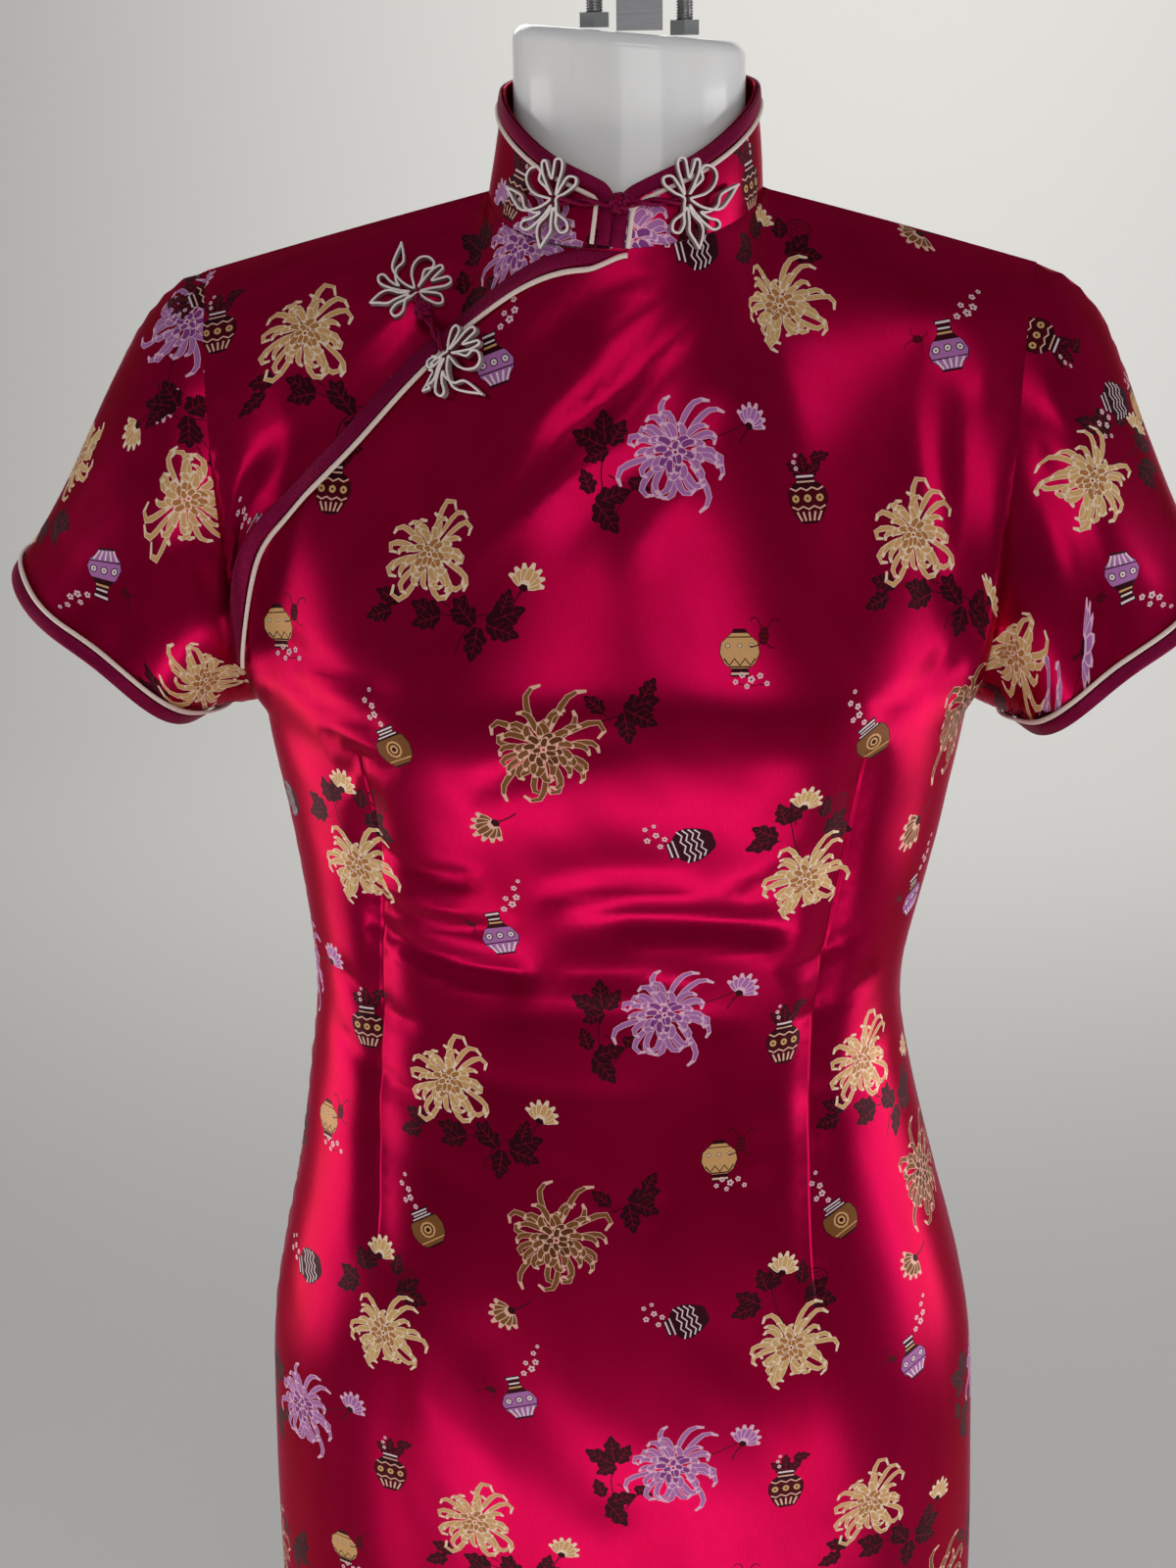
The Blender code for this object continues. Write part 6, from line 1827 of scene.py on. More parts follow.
# ---- trims, frogs and fittings -------------------------------------------------------------------
def tangents(surface, a, b):
    """The surface's two tangent vectors, per unit of its parameters."""
    step = TANGENT_STEP
    along = (surface(a + step, b) - surface(a - step, b)) / (2 * step)
    up = (surface(a, b + step) - surface(a, b - step)) / (2 * step)
    return along, up


def slide(surface, a, b, move):
    """Parameters of the point reached from (a, b) by a small move along the surface."""
    part = move / SLIDE_STEPS
    for _ in range(SLIDE_STEPS):
        along, up = tangents(surface, a, b)
        aa = np.sum(along * along, -1)
        bb = np.sum(up * up, -1)
        ab = np.sum(along * up, -1)
        ma = np.sum(along * part, -1)
        mb = np.sum(up * part, -1)
        scale = np.maximum(aa * bb - ab * ab, 1e-12)
        a = a + (bb * ma - ab * mb) / scale
        b = b + (aa * mb - ab * ma) / scale
    return a, b


def inset(surface, away, a, b, width, ring=False):
    """A path moved to its left along the surface, as seen from outside."""
    points = surface(a, b)
    ahead = unit(np.roll(points, -1, 0) - points)
    behind = np.roll(ahead, 1, 0)
    if not ring:
        ahead[-1] = behind[-1]
        behind[0] = ahead[0]
    run = (ahead + behind) / 2
    mitre = 1 / np.maximum(np.linalg.norm(run, axis=-1, keepdims=True), 0.5)
    width = np.broadcast_to(width, a.shape)[..., None]
    move = unit(np.cross(away(a, b), unit(run))) * width * mitre
    return slide(surface, a, b, move)


def closed(grid):
    """Rows with the first again at the end."""
    return np.concatenate([grid, grid[:1]])


def tube(name, rings, ring=False, colours=None, smooth_angle=40.0):
    """A closed solid through equal rings of corners, with lengths along and round it as UVs."""
    stations, corners = rings.shape[:2]
    mesh = bpy.data.meshes.new(name)
    length, girth = [np.concatenate([[0], np.cumsum(np.linalg.norm(np.diff(line, axis=0), axis=-1))])
                     for line in (rings.mean(1), closed(rings[0]))]
    faces = []
    uvs = []
    tones = []
    last = length[-1] + np.linalg.norm(rings[0].mean(0) - rings[-1].mean(0))
    for i in range(stations if ring else stations - 1):
        after = (i + 1) % stations
        end = last if after == 0 else length[after]
        for j in range(corners):
            side = (j + 1) % corners
            faces.append((i * corners + j, i * corners + side, after * corners + side,
                          after * corners + j))
            uvs += [(length[i], girth[j]), (length[i], girth[j + 1]), (end, girth[j + 1]),
                    (end, girth[j])]
            tones += [j] * 4
    if not ring:
        last_ring = range((stations - 1) * corners, stations * corners)
        for cap in (tuple(range(corners)), tuple(reversed(last_ring))):
            faces.append(cap)
            uvs += [(0, 0)] * corners
            tones += [0] * corners
    mesh.from_pydata([tuple(p) for p in rings.reshape(-1, 3)], [], faces)
    layer = mesh.uv_layers.new(name="cloth")
    layer.data.foreach_set("uv", np.array(uvs, np.float32).ravel())
    if colours is not None:
        attribute = mesh.color_attributes.new("weave", "BYTE_COLOR", "CORNER")
        table = np.array([(*linear(THREADS[c]), 1.0) for c in colours], np.float32)
        attribute.data.foreach_set("color", table[np.array(tones)].ravel())
    return finished(name, mesh, smooth_angle)


BAND = ((0, 0), (0, 0.5), (0.04, 0.85), (0.12, 1.0), (0.35, 1.12), (0.65, 1.12), (0.88, 1.0),
        (0.96, 0.85), (1, 0.5), (1, 0))
ROUND = tuple((0.5 - 0.5 * math.cos(t), 0.5 - 0.5 * math.sin(t) * -1)
              for t in np.linspace(-math.pi / 2, 1.5 * math.pi, 12, endpoint=False))


def trim(name, surface, away, path, widths, heights, section, ring=False):
    """A strip along a path: widths from the path, heights above the cloth, and its cross section."""
    a, b = path
    near, far = widths
    low, high = heights
    corners = []
    for share, rise in section:
        ca, cb = inset(surface, away, a, b, near + (far - near) * share, ring)
        height = np.broadcast_to(low + (high - low) * rise, a.shape)
        corners.append(surface(ca, cb) + away(ca, cb) * height[..., None])
    return tube(name, np.stack(corners, 1), ring)


def near_front(u, v):
    """Normal for what lies on the front, kept off the panel's edges."""
    return body_normal(-1, inner(u, -1, 1, TRIM_MARGIN), np.minimum(v, 2 - ROW_MARGIN))


def edge_trims(name, nodes, surface, away, path, binding_width, piping_width, low, ring=False):
    """A ribbed binding with a line of piping beside it, for the same two solids."""
    strip = trim("binding_" + name, surface, away, path, (0.0, binding_width),
                 (low, low + BINDING_THICK), BAND, ring)
    keep(strip, BINDING, "maroon_binding", nodes[0])
    near = binding_width + TRIM_GAP
    line = trim("piping_" + name, surface, away, path, (near, near + piping_width),
                (low, low + PIPING_THICK), ROUND, ring)
    keep(line, PIPING, "cream_piping", nodes[1])


def flap_trims():
    """The flap's trims, from under the collar's seam down to the sleeve."""
    run = 1 - (1 - np.linspace(0, 1, FLAP_STATIONS)) ** FLAP_TRIM_CROWD
    u = FLAP_TRIM_START + (FLAP_TRIM_END - FLAP_TRIM_START) * run
    path = (u, flap_top(u) - FLAP_TRIM_EDGE)
    low = TRIM_LIFT + ARMHOLE_LIFT * smooth((-u - ARMHOLE_LIFT_START) / ARMHOLE_LIFT_RUN)
    shown = smooth((FLAP_TRIM_START - u) / FLAP_TRIM_RUN)
    shown = FLAP_TRIM_NARROW + (1 - FLAP_TRIM_NARROW) * shown
    edge_trims("flap", ("flap_binding", "flap_piping"), front_surface, near_front, path,
               BINDING_WIDTH * shown, PIPING_WIDTH, low)


def sleeve_trims(hand, wearer_side):
    q = np.linspace(0, 1, SLEEVE_STATIONS, endpoint=False)
    if hand < 0:
        q = q[::-1]
    plain = sleeve_surface(hand)

    def skin(a, b):
        return plain(a % 1.0, b)

    def away(a, b):
        return sleeve_normal(hand, a % 1.0, b)

    edge_trims("sleeve_" + wearer_side, ("sleeve_binding_" + wearer_side,
                                         "sleeve_piping_" + wearer_side),
               skin, away, (q, SLEEVE_TRIM_EDGE + 0 * q), SLEEVE_BINDING_WIDTH, PIPING_WIDTH,
               SLEEVE_TRIM_LIFT, ring=True)


def collar_trims():
    """The collar's free edge, up one end, round the top and down the other end."""
    top = COLLAR_TRIM_EDGE
    rise = np.linspace(COLLAR_TRIM_START, top - COLLAR_CORNER_DROP, COLLAR_END_STATIONS)
    bend = np.linspace(0, 1, COLLAR_CORNER_STATIONS)[1:-1] * math.pi / 2
    low, high = COLLAR_SPAN
    near, far = low + COLLAR_CORNER, high - COLLAR_CORNER
    over = np.linspace(near, far, COLLAR_STATIONS)
    corner = top - COLLAR_CORNER_DROP * (1 - np.sin(bend))
    w = np.concatenate([low + 0 * rise, near - COLLAR_CORNER * np.cos(bend), over,
                        far + COLLAR_CORNER * np.cos(bend[::-1]), high + 0 * rise])
    k = np.concatenate([rise, corner, top + 0 * over, corner[::-1], rise[::-1]])
    edge_trims("collar", ("collar_binding", "collar_piping"), closed_collar, closed_normal, (w, k),
               COLLAR_BINDING_WIDTH, PIPING_WIDTH * COLLAR_PIPING_SHARE, TRIM_LIFT)


def spot(surface, away, centre, height):
    a = np.array(float(centre[0]))
    b = np.array(float(centre[1]))
    return surface(a, b) + away(a, b) * height


def rounded(points, steps):
    """A closed smooth line through points."""
    before, after, beyond = np.roll(points, 1, 0), np.roll(points, -1, 0), np.roll(points, -2, 0)
    t = (np.arange(steps) / steps)[None, :, None]
    a, b, c, d = [x[:, None] for x in (before, points, after, beyond)]
    line = 0.5 * (2 * b + (c - a) * t + (2 * a - 5 * b + 4 * c - d) * t * t
                  + (3 * b - a - 3 * c + d) * t ** 3)
    return line.reshape(-1, points.shape[1])


def flower_line(turn, mirror):
    """The ribbon's line in the flower's plane, turned towards its knot."""
    line = rounded(np.array(FROG_LINE) / 1000 * (1, mirror), FROG_STEPS)
    c, s = math.cos(turn), math.sin(turn)
    return line @ np.array([[c, s], [-s, c]])


RIBBON_SECTION = ((-0.38, 0.0), (-0.38, 0.80), (-0.36, 0.94), (0.0, 1.06), (0.36, 0.94),
                  (0.38, 0.80), (0.38, 0.0))
# The inner side face takes the ribbon tone, the ribbon's cream painted grey as painted shade inside the
# loops; the top takes ribbon_edge, and the outer side and the foot are maroon.
RIBBON_TONES_SHADED_INSIDE = ("ribbon", "ribbon_edge", "ribbon_edge", "ribbon_edge", "ribbon_edge", "binding",
                "binding")


def frog_flower(name, surface, away, centre, knot_point, mirror, base):
    """A flower of satin ribbon standing on edge round its heart, open towards its knot."""
    a0 = np.array(float(centre[0]))
    b0 = np.array(float(centre[1]))
    out = away(a0, b0)
    right = unit(np.cross(UPWARD, out))
    above = np.cross(out, right)
    toward = knot_point - surface(a0, b0)
    line = flower_line(math.atan2(toward @ above, toward @ right), mirror)
    run = unit(np.roll(line, -1, 0) - np.roll(line, 1, 0))
    side = np.stack([-run[:, 1], run[:, 0]], -1) * FROG_THICK * mirror
    corners = []
    for across, rise in RIBBON_SECTION:
        flat = line + side * across
        move = flat[:, :1] * right + flat[:, 1:] * above
        a, b = slide(surface, a0 + 0 * flat[:, 0], b0 + 0 * flat[:, 0], move)
        corners.append(surface(a, b) + away(a, b) * (base + FROG_HEIGHT * rise))
    piece = tube("ribbon_" + name, np.stack(corners, 1), ring=True, colours=RIBBON_TONES_SHADED_INSIDE)
    keep(piece, RIBBON, "cream_ribbon", "frog_flower_" + name)


def round_tube(name, points, radius, sides=10, ring=False):
    """A cord of round section through points, with its frame carried along."""
    points = np.asarray(points, float)
    run = unit(np.roll(points, -1, 0) - np.roll(points, 1, 0))
    if not ring:
        run[0] = unit(points[1] - points[0])
        run[-1] = unit(points[-1] - points[-2])
    guide = np.array([0.31, 0.18, 0.93])
    normals = []
    for direction in run:
        guide = guide - direction * (guide @ direction)
        guide = guide / np.linalg.norm(guide)
        normals.append(guide)
    normals = np.array(normals)
    side = np.cross(run, normals)
    turn = np.linspace(0, 2 * math.pi, sides, endpoint=False)
    rings = (points[:, None] + radius * (np.cos(turn)[None, :, None] * normals[:, None]
                                         + np.sin(turn)[None, :, None] * side[:, None]))
    return tube(name, rings, ring, smooth_angle=75.0)


def joined(name, parts):
    """Several new meshes as one object."""
    shape = bmesh.new()
    for part in parts:
        shape.from_mesh(part.data)
    mesh = bpy.data.meshes.new(name)
    shape.to_mesh(mesh)
    shape.free()
    mesh.shade_smooth()
    for part in parts:
        bpy.data.objects.remove(part)
    return placed(name, mesh)


def ball_knot(name, centre, out, node):
    """A button knot: one cord that winds over and under itself round a small ball."""
    t = np.linspace(0, 2 * math.pi, KNOT_STATIONS, endpoint=False)
    tilt = KNOT_SWING * np.cos(KNOT_LOOPS * t)
    radius = KNOT_RADIUS - KNOT_CORD + KNOT_WEAVE * np.sin(2 * KNOT_LOOPS * t)
    local = np.stack([radius * np.cos(tilt) * np.cos(KNOT_TURNS * t),
                      radius * np.cos(tilt) * np.sin(KNOT_TURNS * t),
                      radius * np.sin(tilt) * KNOT_FLATNESS], -1)
    frame_z = unit(np.asarray(out, float))
    frame_x = unit(np.cross((0, 0, 1.0), frame_z))
    frame_y = np.cross(frame_z, frame_x)
    points = centre + local @ np.stack([frame_x, frame_y, frame_z])
    core = bpy.data.meshes.new(name + "_core")
    shape = bmesh.new()
    bmesh.ops.create_icosphere(shape, subdivisions=3, radius=KNOT_RADIUS - KNOT_CORE * KNOT_CORD)
    shape.to_mesh(core)
    shape.free()
    core.transform(Matrix.Translation(Vector(centre)))
    ball = placed(name + "_core", core)
    piece = joined("cord_" + name, [round_tube(name + "_cord", points, KNOT_CORD, ring=True), ball])
    keep(piece, BINDING, "maroon_binding", node)


def two_strands(name, start, end, out, node):
    """The closing cord: two strands side by side that cross once on the way."""
    run = end - start
    side = unit(np.cross(out, run))
    t = np.linspace(0, 1, STRAND_STATIONS)
    parts = []
    for hand in (-1, 1):
        swing, lift = [wave(math.pi * STRAND_TWISTS * t)[:, None] * hand * STRAND_RADIUS * STRAND_TOUCH
                       for wave in (np.cos, np.sin)]
        points = start + run * t[:, None] + side * swing + unit(np.asarray(out)) * lift
        parts.append(round_tube(name + "_strand", points, STRAND_RADIUS, STRAND_SIDES))
    keep(joined("cord_" + name, parts), BINDING, "maroon_binding", node)


def close_frog(place, flowers, middle, out):
    ball_knot("knot_" + place, middle, out, "frog_knot_" + place)
    for name, surface, away, centre, base, mirror in flowers:
        frog_flower(name, surface, away, centre, middle, mirror, base)
        end = spot(surface, away, centre, base + FROG_CORD_LIFT + LOOP_RADIUS)
        back = unit(middle - end)
        two_strands(name, end + back * STRAND_START, middle - back * (KNOT_RADIUS - STRAND_HIDDEN),
                    np.asarray(out), "frog_loop_" + name)


def frogs():
    over_trims = TRIM_LIFT + GAP + PIPING_THICK
    around, up = COLLAR_FROG
    flowers = (("collar_right", collar, collar_normal, (-around, up), over_trims, 1),
               ("collar_left", collar, collar_normal, (around, up), over_trims, -1))
    rise = over_trims + KNOT_RADIUS * KNOT_FLATNESS
    middle = spot(collar, collar_normal, (1 - COLLAR_END, COLLAR_KNOT_UP), rise + GAP)
    middle[0] = LEAN_SHIFT(middle[2])
    close_frog("collar", flowers, middle, np.array(COLLAR_KNOT_OUT))
    flowers = (("chest_upper", underlap_surface, near_front, CHEST_FROG_UPPER, GAP, 1),
               ("chest_lower", front_surface, near_front, CHEST_FROG_LOWER, over_trims, -1))
    middle = spot(front_surface, near_front, CHEST_FROG_KNOT, rise)
    out = near_front(np.array(CHEST_FROG_KNOT[0]), np.array(CHEST_FROG_KNOT[1]))
    close_frog("chest", flowers, middle, out)


def threaded_stud(wearer_side):
    """A stud with a screw thread over the solid's own length and radius."""
    low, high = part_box("neck_stud_" + wearer_side)
    centre = (low + high) / 2
    radius = (high.x - low.x) / 2
    rows = np.linspace(low.z, high.z, STUD_ROWS)
    turn = np.linspace(0, 2 * math.pi, STUD_SIDES, endpoint=False)
    phase = (rows[:, None] / STUD_PITCH - turn[None, :] / (2 * math.pi)) % 1.0
    depth = np.abs(phase - 0.5) * 2
    foot, head = STUD_RUN_OUT
    top = smooth((rows[:, None] - low.z) / foot) * smooth((high.z - rows[:, None]) / head)
    r = radius - STUD_THREAD * (1 - depth * top)
    rings = np.stack([centre.x + r * np.cos(turn), centre.y + r * np.sin(turn),
                      rows[:, None] + 0 * r], -1)
    piece = tube("threaded_stud_" + wearer_side, rings, smooth_angle=30.0)
    keep(piece, STEEL, "steel", "neck_stud_" + wearer_side)


# ---- the form ------------------------------------------------------------------------------------
def columns_across():
    half = np.concatenate([np.linspace(0, NECK_SHARE, FORM_NECK_COLUMNS + 1),
                           np.linspace(NECK_SHARE, 1, FORM_SHOULDER_COLUMNS + 1)[1:]])
    return np.concatenate([-half[:0:-1], half])


def window(value, place):
    """0 before a start, rising smoothly to 1 after a run."""
    start, run = place
    return smooth((value - start) / run)


def form_point(side, u, v):
    """The form's skin, inside the cloth and close to it at the shoulders."""
    seat = window(v, FORM_SEAT_UP) * window(np.abs(u) - NECK_SHARE, FORM_SEAT_OUT)
    under = window(v, FORM_UNDER_UP) * window(-u, FORM_UNDER_ACROSS[side])
    up, across = FORM_UNDER_END
    under = under * (1 - window(v, up) * window(-u, across))
    start, end = FORM_WAIST
    waist = window(v, start) * (1 - window(v, end))
    underlap = CLOTH + UNDERLAP_GAP + UNDERLAP_TUCK
    deep = FORM_CLEARANCE + FORM_WAIST_EASE * waist + underlap * under
    deep = CLOTH + deep + (FORM_SEAT - deep) * seat
    return body(side, u, v, creased=False) - body_normal(side, u, v) * deep[..., None]


def neck_height(x):
    return NECK_TOP_HEIGHT - NECK_TOP_TILT * (x - NECK_SHIFT)


def neck_top(angle, inward, drop):
    """A ring of the neck's cut top, drawn inward and down from its full size."""
    x = NECK_SHIFT + (NECK_TOP_HALF[0] - inward) * np.sin(angle)
    y = -(NECK_TOP_HALF[1] - inward) * np.cos(angle)
    return np.stack([x, y, neck_height(x) - drop], -1)


class Sheets:
    """Grids of points and caps that make up one mesh."""

    def __init__(self):
        self.points = []
        self.faces = []

    def grid(self, grid):
        start = len(self.points)
        columns, rows = grid.shape[:2]
        self.points.extend(grid.reshape(-1, 3))
        for i in range(columns - 1):
            for j in range(rows - 1):
                corner = start + i * rows + j
                self.faces.append((corner, corner + rows, corner + rows + 1, corner + 1))

    def end(self, rings):
        """Rings that follow each other, the last one capped."""
        self.grid(closed(np.stack(rings, 1)))
        start = len(self.points)
        self.faces.append(tuple(range(start, start + len(rings[-1]))))
        self.points.extend(rings[-1])


def round_both(front, back):
    """A ring along a line of the front and back along the same line of the back."""
    return np.concatenate([front, back[::-1][1:-1]])


def drawn_in(ring, share):
    return mix(ring, ring.mean(0), 0 * ring[:, 0] + share)


def foot_rings(rim):
    tuck = drawn_in(rim, FOOT_TUCK) - np.array([0, 0, FORM_FOOT])
    inward, down = FOOT_BEND
    middle = mix(rim, tuck, 0 * rim[:, 0] + inward) - [0, 0, FORM_FOOT * down]
    return [rim, middle, tuck]


def stump_rings(loop):
    """The rounded cap that closes an armhole."""
    hand = math.copysign(1.0, loop[0, 0])
    return [loop] + [drawn_in(loop, share) + [hand * STUMP_BULGE * bulge, 0, 0]
                     for share, bulge in STUMP_RINGS]


def neck_rings(ring):
    """The neck, from its root under the collar to its bevelled top."""
    round_x = ring[:, 0] - LEAN_SHIFT(ring[:, 2])
    angle = np.arctan2(round_x / NECK_HALF, -ring[:, 1] / NECK_FRONT[0])
    top = neck_top(angle, 0.0, NECK_BEVEL)
    rings = [ring]
    for rise, share in NECK_RINGS:
        rings.append(mix(ring, top, 0 * angle + share))
        rings[-1][:, 2] = ring[:, 2] + (top[:, 2] - ring[:, 2]) * rise
    for bend in NECK_BENDS:
        turn = bend * math.pi / 2
        rings.append(neck_top(angle, NECK_BEVEL * (1 - math.cos(turn)),
                              NECK_BEVEL * (1 - math.sin(turn))))
    return rings


def dress_form():
    u = columns_across()
    low = (np.linspace(FORM_BOTTOM, CHEST_HEIGHT, FORM_LOW_ROWS)[:-1] - HEM_HEIGHT)
    v = np.concatenate([low / (CHEST_HEIGHT - HEM_HEIGHT), np.linspace(1, 2, FORM_UPPER_ROWS + 1)])
    chest = len(v) - FORM_UPPER_ROWS - 1
    gu, gv = np.meshgrid(u, v, indexing="ij")
    front, back = [form_point(side, gu, gv) for side in (-1, 1)]
    sheets = Sheets()
    sheets.grid(front)
    sheets.grid(back)
    sheets.end(foot_rings(round_both(front[:, 0], back[:, 0])))
    for column in (0, -1):
        sheets.end(stump_rings(round_both(front[column, chest:], back[column, chest:])))
    at_neck = np.abs(u) <= NECK_SHARE + 1e-9
    sheets.end(neck_rings(round_both(front[at_neck, -1], back[at_neck, -1])))
    mesh = bpy.data.meshes.new("moulded_form")
    mesh.from_pydata([tuple(map(float, p)) for p in sheets.points], [], sheets.faces)
    made = finished("moulded_form", mesh, FORM_SMOOTH_ANGLE, FORM_MERGE)
    keep(made, PLASTIC, "white_form", "dress_form")


# ---- materials -----------------------------------------------------------------------------------
class Shader:
    """A material's node tree, built by short calls."""

    def __init__(self, name):
        self.material = bpy.data.materials.new(name)
        self.material.use_nodes = True
        self.nodes = self.material.node_tree.nodes
        self.links = self.material.node_tree.links
        self.surface = self.nodes["Principled BSDF"]

    def put(self, socket, value):
        if isinstance(value, bpy.types.NodeSocket):
            self.links.new(value, socket)
        else:
            socket.default_value = value

    def node(self, kind, output=0, settings=None, **inputs):
        made = self.nodes.new(kind)
        for key, value in (settings or {}).items():
            setattr(made, key, value)
        for key, value in inputs.items():
            name = key.replace("_", " ")
            self.put(made.inputs[int(name[1:]) if name[0] == "i" and name[1:].isdigit() else name],
                     value)
        return made.outputs[output]

    def math(self, operation, *values):
        return self.node("ShaderNodeMath", settings={"operation": operation},
                         **{"i%d" % k: v for k, v in enumerate(values)})

    def noise(self, scale, detail=2.0, vector=None):
        extra = {} if vector is None else {"Vector": vector}
        return self.node("ShaderNodeTexNoise", 0, Scale=scale, Detail=detail, **extra)

    def ramp(self, value, *stops):
        made = self.nodes.new("ShaderNodeValToRGB")
        self.links.new(value, made.inputs[0])
        line = made.color_ramp.elements
        while len(line) < len(stops):
            line.new(0.5)
        for element, (place, color) in zip(line, stops):
            element.position = place
            element.color = (*color, 1.0)
        return made.outputs[0]

    def mix(self, share, a, b):
        made = self.nodes.new("ShaderNodeMix")
        made.data_type = "RGBA"
        self.put(made.inputs[0], share)
        for slot, value in ((6, a), (7, b)):
            if isinstance(value, bpy.types.NodeSocket):
                self.links.new(value, made.inputs[slot])
            else:
                made.inputs[slot].default_value = (*value, 1.0)
        return made.outputs[2]

    def bump(self, height, strength, distance, under=None):
        extra = {} if under is None else {"Normal": under}
        return self.node("ShaderNodeBump", Height=height, Strength=strength, Distance=distance, **extra)

    def finish(self, **inputs):
        for key, value in inputs.items():
            self.put(self.surface.inputs[key.replace("_", " ")], value)
        return self.material


def uv_waves(shader, pitch, along):
    """A wave across the cloth's UVs with one crest each pitch, in metres."""
    uv = shader.node("ShaderNodeUVMap", settings={"uv_map": "cloth"})
    split = shader.nodes.new("ShaderNodeSeparateXYZ")
    shader.links.new(uv, split.inputs[0])
    turn = shader.math("MULTIPLY", split.outputs[0 if along else 1], 2 * math.pi / pitch)
    return shader.math("SINE", turn)


def satin():
    shader = Shader("brocade_satin")
    uv = shader.node("ShaderNodeUVMap", settings={"uv_map": "cloth"})
    figure = shader.node("ShaderNodeAttribute", 0, {"attribute_name": "weave"})
    thread = shader.node("ShaderNodeAttribute", 2, {"attribute_name": "thread"})
    cloudy = shader.noise(7.0, 3.0)
    ground = shader.ramp(cloudy, (0.25, SATIN_DARK), (0.75, SATIN_LIGHT))
    slub = shader.node("ShaderNodeMapping", Vector=uv, Scale=SLUB)
    slub = shader.noise(1.0, 2.0, slub)
    ground = shader.mix(shader.math("MULTIPLY", slub, 0.16), ground, SATIN_DEEP)
    hatch = shader.math("MULTIPLY_ADD", uv_waves(shader, HATCH_PITCH, False), 0.5, 0.5)
    speck = shader.node("ShaderNodeMapping", Vector=uv, Scale=(WEAR, WEAR, 1.0))
    speck = shader.noise(1.0, 2.0, speck)
    worn = shader.math("MULTIPLY", shader.math("MULTIPLY_ADD", speck, 0.8, 0.2), hatch)
    figure = shader.mix(shader.math("MULTIPLY", worn, WEAR_SHARE), figure, SATIN_DEEP)
    color = shader.mix(thread, ground, figure)
    rough = shader.math("MULTIPLY_ADD", thread, 0.16, shader.math("MULTIPLY_ADD", slub, 0.10,
                                                                 SATIN_ROUGHNESS))
    metal = shader.math("MULTIPLY_ADD", thread, -SATIN_METAL * 0.8, SATIN_METAL)
    height = shader.math("MULTIPLY_ADD", hatch, shader.math("MULTIPLY", thread, 0.6),
                         shader.math("MULTIPLY", slub, 0.35))
    return shader.finish(Base_Color=color, Roughness=rough, Metallic=metal,
                         Anisotropic=0.35, Specular_IOR_Level=0.25,
                         Specular_Tint=SATIN_SHEEN,
                         Normal=shader.bump(height, 0.25, 0.00012))


def ribbed_binding():
    shader = Shader("maroon_ribbed_binding")
    rib = shader.math("MULTIPLY_ADD", uv_waves(shader, RIB_PITCH, True), 0.5, 0.5)
    cloudy = shader.noise(90.0, 3.0)
    base = shader.ramp(cloudy, (0.3, BINDING_DARK), (0.7, BINDING_LIGHT))
    base = shader.mix(shader.math("MULTIPLY", rib, 0.45), base, BINDING_DEEP)
    return shader.finish(Base_Color=base, Roughness=0.40, Metallic=0.45, Specular_IOR_Level=0.3,
                         Specular_Tint=BINDING_SHEEN, Normal=shader.bump(rib, 0.6, 0.00022))


def piping():
    shader = Shader("cream_satin_piping")
    twist = shader.math("MULTIPLY_ADD", uv_waves(shader, TWIST_PITCH, True), 0.5, 0.5)
    base = shader.ramp(shader.noise(160.0, 3.0), (0.3, PIPING_DARK), (0.7, PIPING_LIGHT))
    return shader.finish(Base_Color=base, Roughness=0.42, Sheen_Weight=0.4, Specular_IOR_Level=0.6,
                         Normal=shader.bump(twist, 0.35, 0.0001))


def ribbon():
    shader = Shader("two_tone_ribbon")
    # The weave attribute gives each face its tone: maroon outside, near-white top, and on the inner
    # face the cream painted grey as painted shade.
    tone = shader.node("ShaderNodeAttribute", 0, {"attribute_name": "weave"})
    cloudy = shader.noise(220.0, 3.0)
    tone = shader.mix(shader.math("MULTIPLY", cloudy, 0.16), tone, RIBBON_DEEP)
    thread = uv_waves(shader, RIBBON_PITCH, True)
    return shader.finish(Base_Color=tone, Roughness=0.38, Sheen_Weight=0.4,
                         Normal=shader.bump(thread, 0.3, 0.00008))


def plastic():
    shader = Shader("moulded_white")
    broad = shader.noise(11.0, 2.0)
    fine = shader.noise(420.0, 2.0)
    scuff = shader.ramp(shader.noise(38.0, 6.0), (0.60, (0.0, 0.0, 0.0)), (0.74, (1.0, 1.0, 1.0)))
    base = shader.ramp(broad, (0.3, PLASTIC_DARK), (0.7, PLASTIC_LIGHT))
    base = shader.mix(shader.math("MULTIPLY", scuff, 0.12), base, PLASTIC_SCUFF)
    rough = shader.math("MULTIPLY_ADD", fine, 0.10, 0.14)
    return shader.finish(Base_Color=base, Roughness=rough, Coat_Weight=0.3, Coat_Roughness=0.08,
                         Normal=shader.bump(broad, 0.12, 0.002))


def steel(name, color, roughness):
    shader = Shader(name)
    place = shader.node("ShaderNodeTexCoord", 3)
    streak = shader.node("ShaderNodeMapping", Vector=place, Scale=(60.0, 60.0, 1400.0))
    streak = shader.noise(1.0, 3.0, streak)
    base = shader.mix(shader.math("MULTIPLY", shader.noise(45.0, 4.0), 0.5), color,
                      tuple(c * 0.6 for c in color))
    rough = shader.math("MULTIPLY_ADD", streak, 0.22, roughness)
    return shader.finish(Base_Color=base, Metallic=1.0, Roughness=rough,
                         Normal=shader.bump(streak, 0.2, 0.0002))


def plain(name, color, roughness):
    shader = Shader(name)
    base = shader.ramp(shader.noise(1.3, 2.0), (0.3, tuple(c * 0.97 for c in color)), (0.7, color))
    return shader.finish(Base_Color=base, Roughness=roughness)


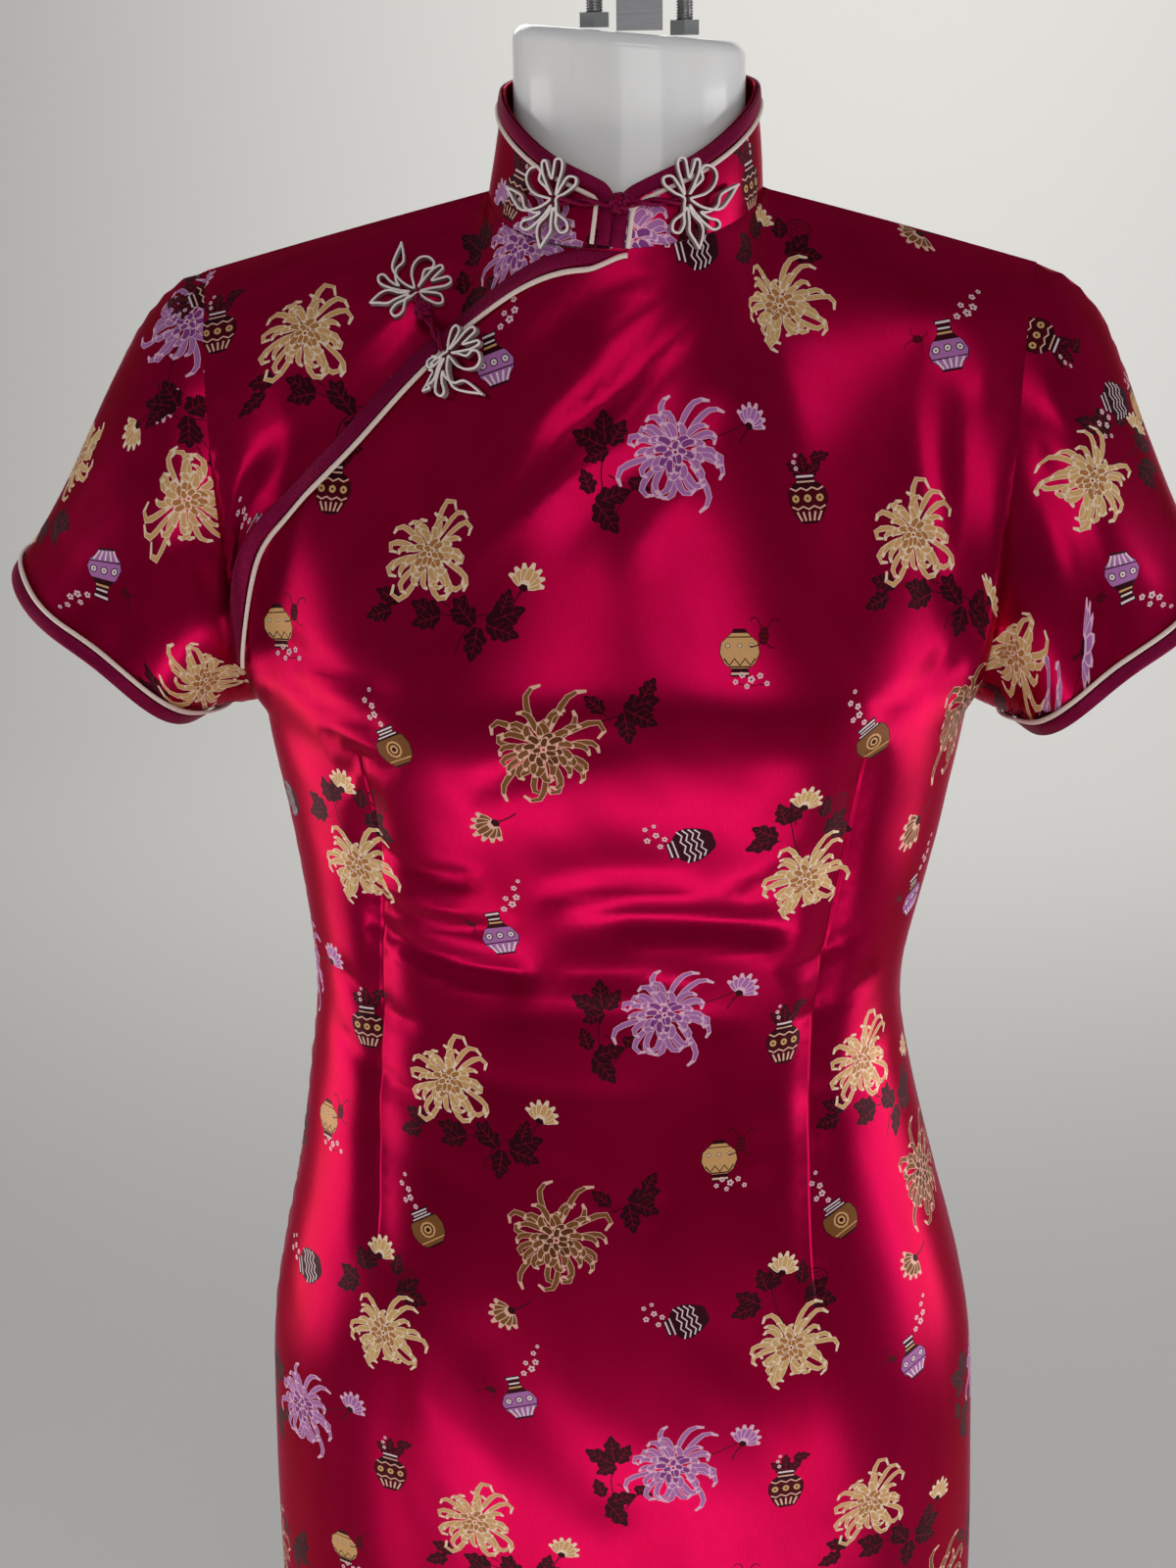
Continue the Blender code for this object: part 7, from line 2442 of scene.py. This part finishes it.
# ---- the stage -----------------------------------------------------------------------------------
def sweep_of_stage(name, profile, half_width, finish):
    """A backdrop sheet: a line in the plane of y and z, drawn out across x."""
    mesh = bpy.data.meshes.new(name)
    rows = [(x, y, z) for y, z in profile for x in (-half_width, half_width)]
    mesh.from_pydata(rows, [], [(2 * k, 2 * k + 1, 2 * k + 3, 2 * k + 2)
                                for k in range(len(profile) - 1)])
    mesh.shade_smooth()
    mesh.materials.append(finish)
    placed(name, mesh)


def camera():
    heading = VIEW_TURN + VIEW_ASIDE
    flat = Vector((-math.sin(heading), math.cos(heading), 0.0))
    right = Vector((math.cos(heading), math.sin(heading), 0.0))
    ahead = flat * math.cos(VIEW_DOWN) - Vector((0, 0, math.sin(VIEW_DOWN)))
    above = right.cross(ahead)
    c, s = math.cos(VIEW_ROLL), math.sin(VIEW_ROLL)
    side, up = right * c - above * s, right * s + above * c
    place = Vector((VIEW_DISTANCE * math.sin(VIEW_TURN), -VIEW_DISTANCE * math.cos(VIEW_TURN),
                    VIEW_HEIGHT))
    data = bpy.data.cameras.new("view")
    data.lens = VIEW_LENS
    data.sensor_width = SENSOR
    made = placed("view", data)
    made.matrix_world = Matrix((
        (side.x, up.x, -ahead.x, place.x), (side.y, up.y, -ahead.y, place.y),
        (side.z, up.z, -ahead.z, place.z), (0, 0, 0, 1)))
    bpy.context.scene.camera = made


def lamp(name, place, aim, size, power, color):
    data = bpy.data.lights.new(name, "AREA")
    data.shape = "RECTANGLE"
    data.size, data.size_y = size
    data.energy = power
    data.color = color
    made = placed(name, data)
    made.location = place
    made.rotation_euler = (Vector(aim) - Vector(place)).to_track_quat("-Z", "Y").to_euler()
    made.visible_camera = False


def stage():
    turn = np.linspace(0, math.pi / 2, COVE_STEPS)
    profile = [(-STAGE_REACH, STAGE_FLOOR)]
    profile += [(COVE_START + COVE_RADIUS * math.sin(t),
                 STAGE_FLOOR + COVE_RADIUS * (1 - math.cos(t))) for t in turn]
    profile += [(COVE_START + COVE_RADIUS, WALL_HEIGHT)]
    sweep_of_stage("floor_and_backdrop", profile, STAGE_REACH,
                   plain("pale_floor", FLOOR_COLOR, FLOOR_ROUGHNESS))
    for row in LAMPS:
        lamp(*row)
    world = bpy.data.worlds.new("studio")
    bpy.context.scene.world = world
    world.use_nodes = True
    sky = world.node_tree.nodes["Background"]
    sky.inputs[0].default_value = (*WORLD_COLOR, 1.0)
    sky.inputs[1].default_value = WORLD_LIGHT
    bpy.context.scene.view_settings.view_transform = "Standard"


# ---- run -----------------------------------------------------------------------------------------
SATIN = satin()
BINDING = ribbed_binding()
PIPING = piping()
RIBBON = ribbon()
PLASTIC = plastic()
STEEL = steel("zinc_steel", ZINC, 0.22)
PLATE = steel("brushed_plate", PLATED, 0.34)

FRONT_CHART = body_chart(front_surface)
cloth_panel("cloth_front", FRONT_CHART, front_surface, front_normal, front_outline(),
            repeats(FRONT_EASE, FRONT_ORIGIN), "front_panel", dart_guides(FRONT_CHART, -1))
cloth_panel("cloth_underlap", FRONT_CHART, underlap_surface, underlap_normal, underlap_outline(),
            repeats(FRONT_EASE, UNDERLAP_ORIGIN), "front_underlap")
cloth_panel("cloth_back", body_chart(back_surface), back_surface, back_normal, back_outline(),
            repeats(EVEN, BACK_ORIGIN), "back_panel")
for hand, wearer_side in HANDS:
    sleeve_piece(hand, wearer_side)
    sleeve_trims(hand, wearer_side)
collar_piece()
flap_trims()
collar_trims()
frogs()
dress_form()
for wearer_side in ("right", "left"):
    threaded_stud(wearer_side)
for finish, names in ((STEEL, ("neck_nut_right", "neck_nut_left")),
                      (PLATE, ("neck_strap", "stand_base", "stand_pole", "stand_socket",
                               "stand_flange"))):
    for name in names:
        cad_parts[name].data.materials.clear()
        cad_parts[name].data.materials.append(finish)
camera()
stage()
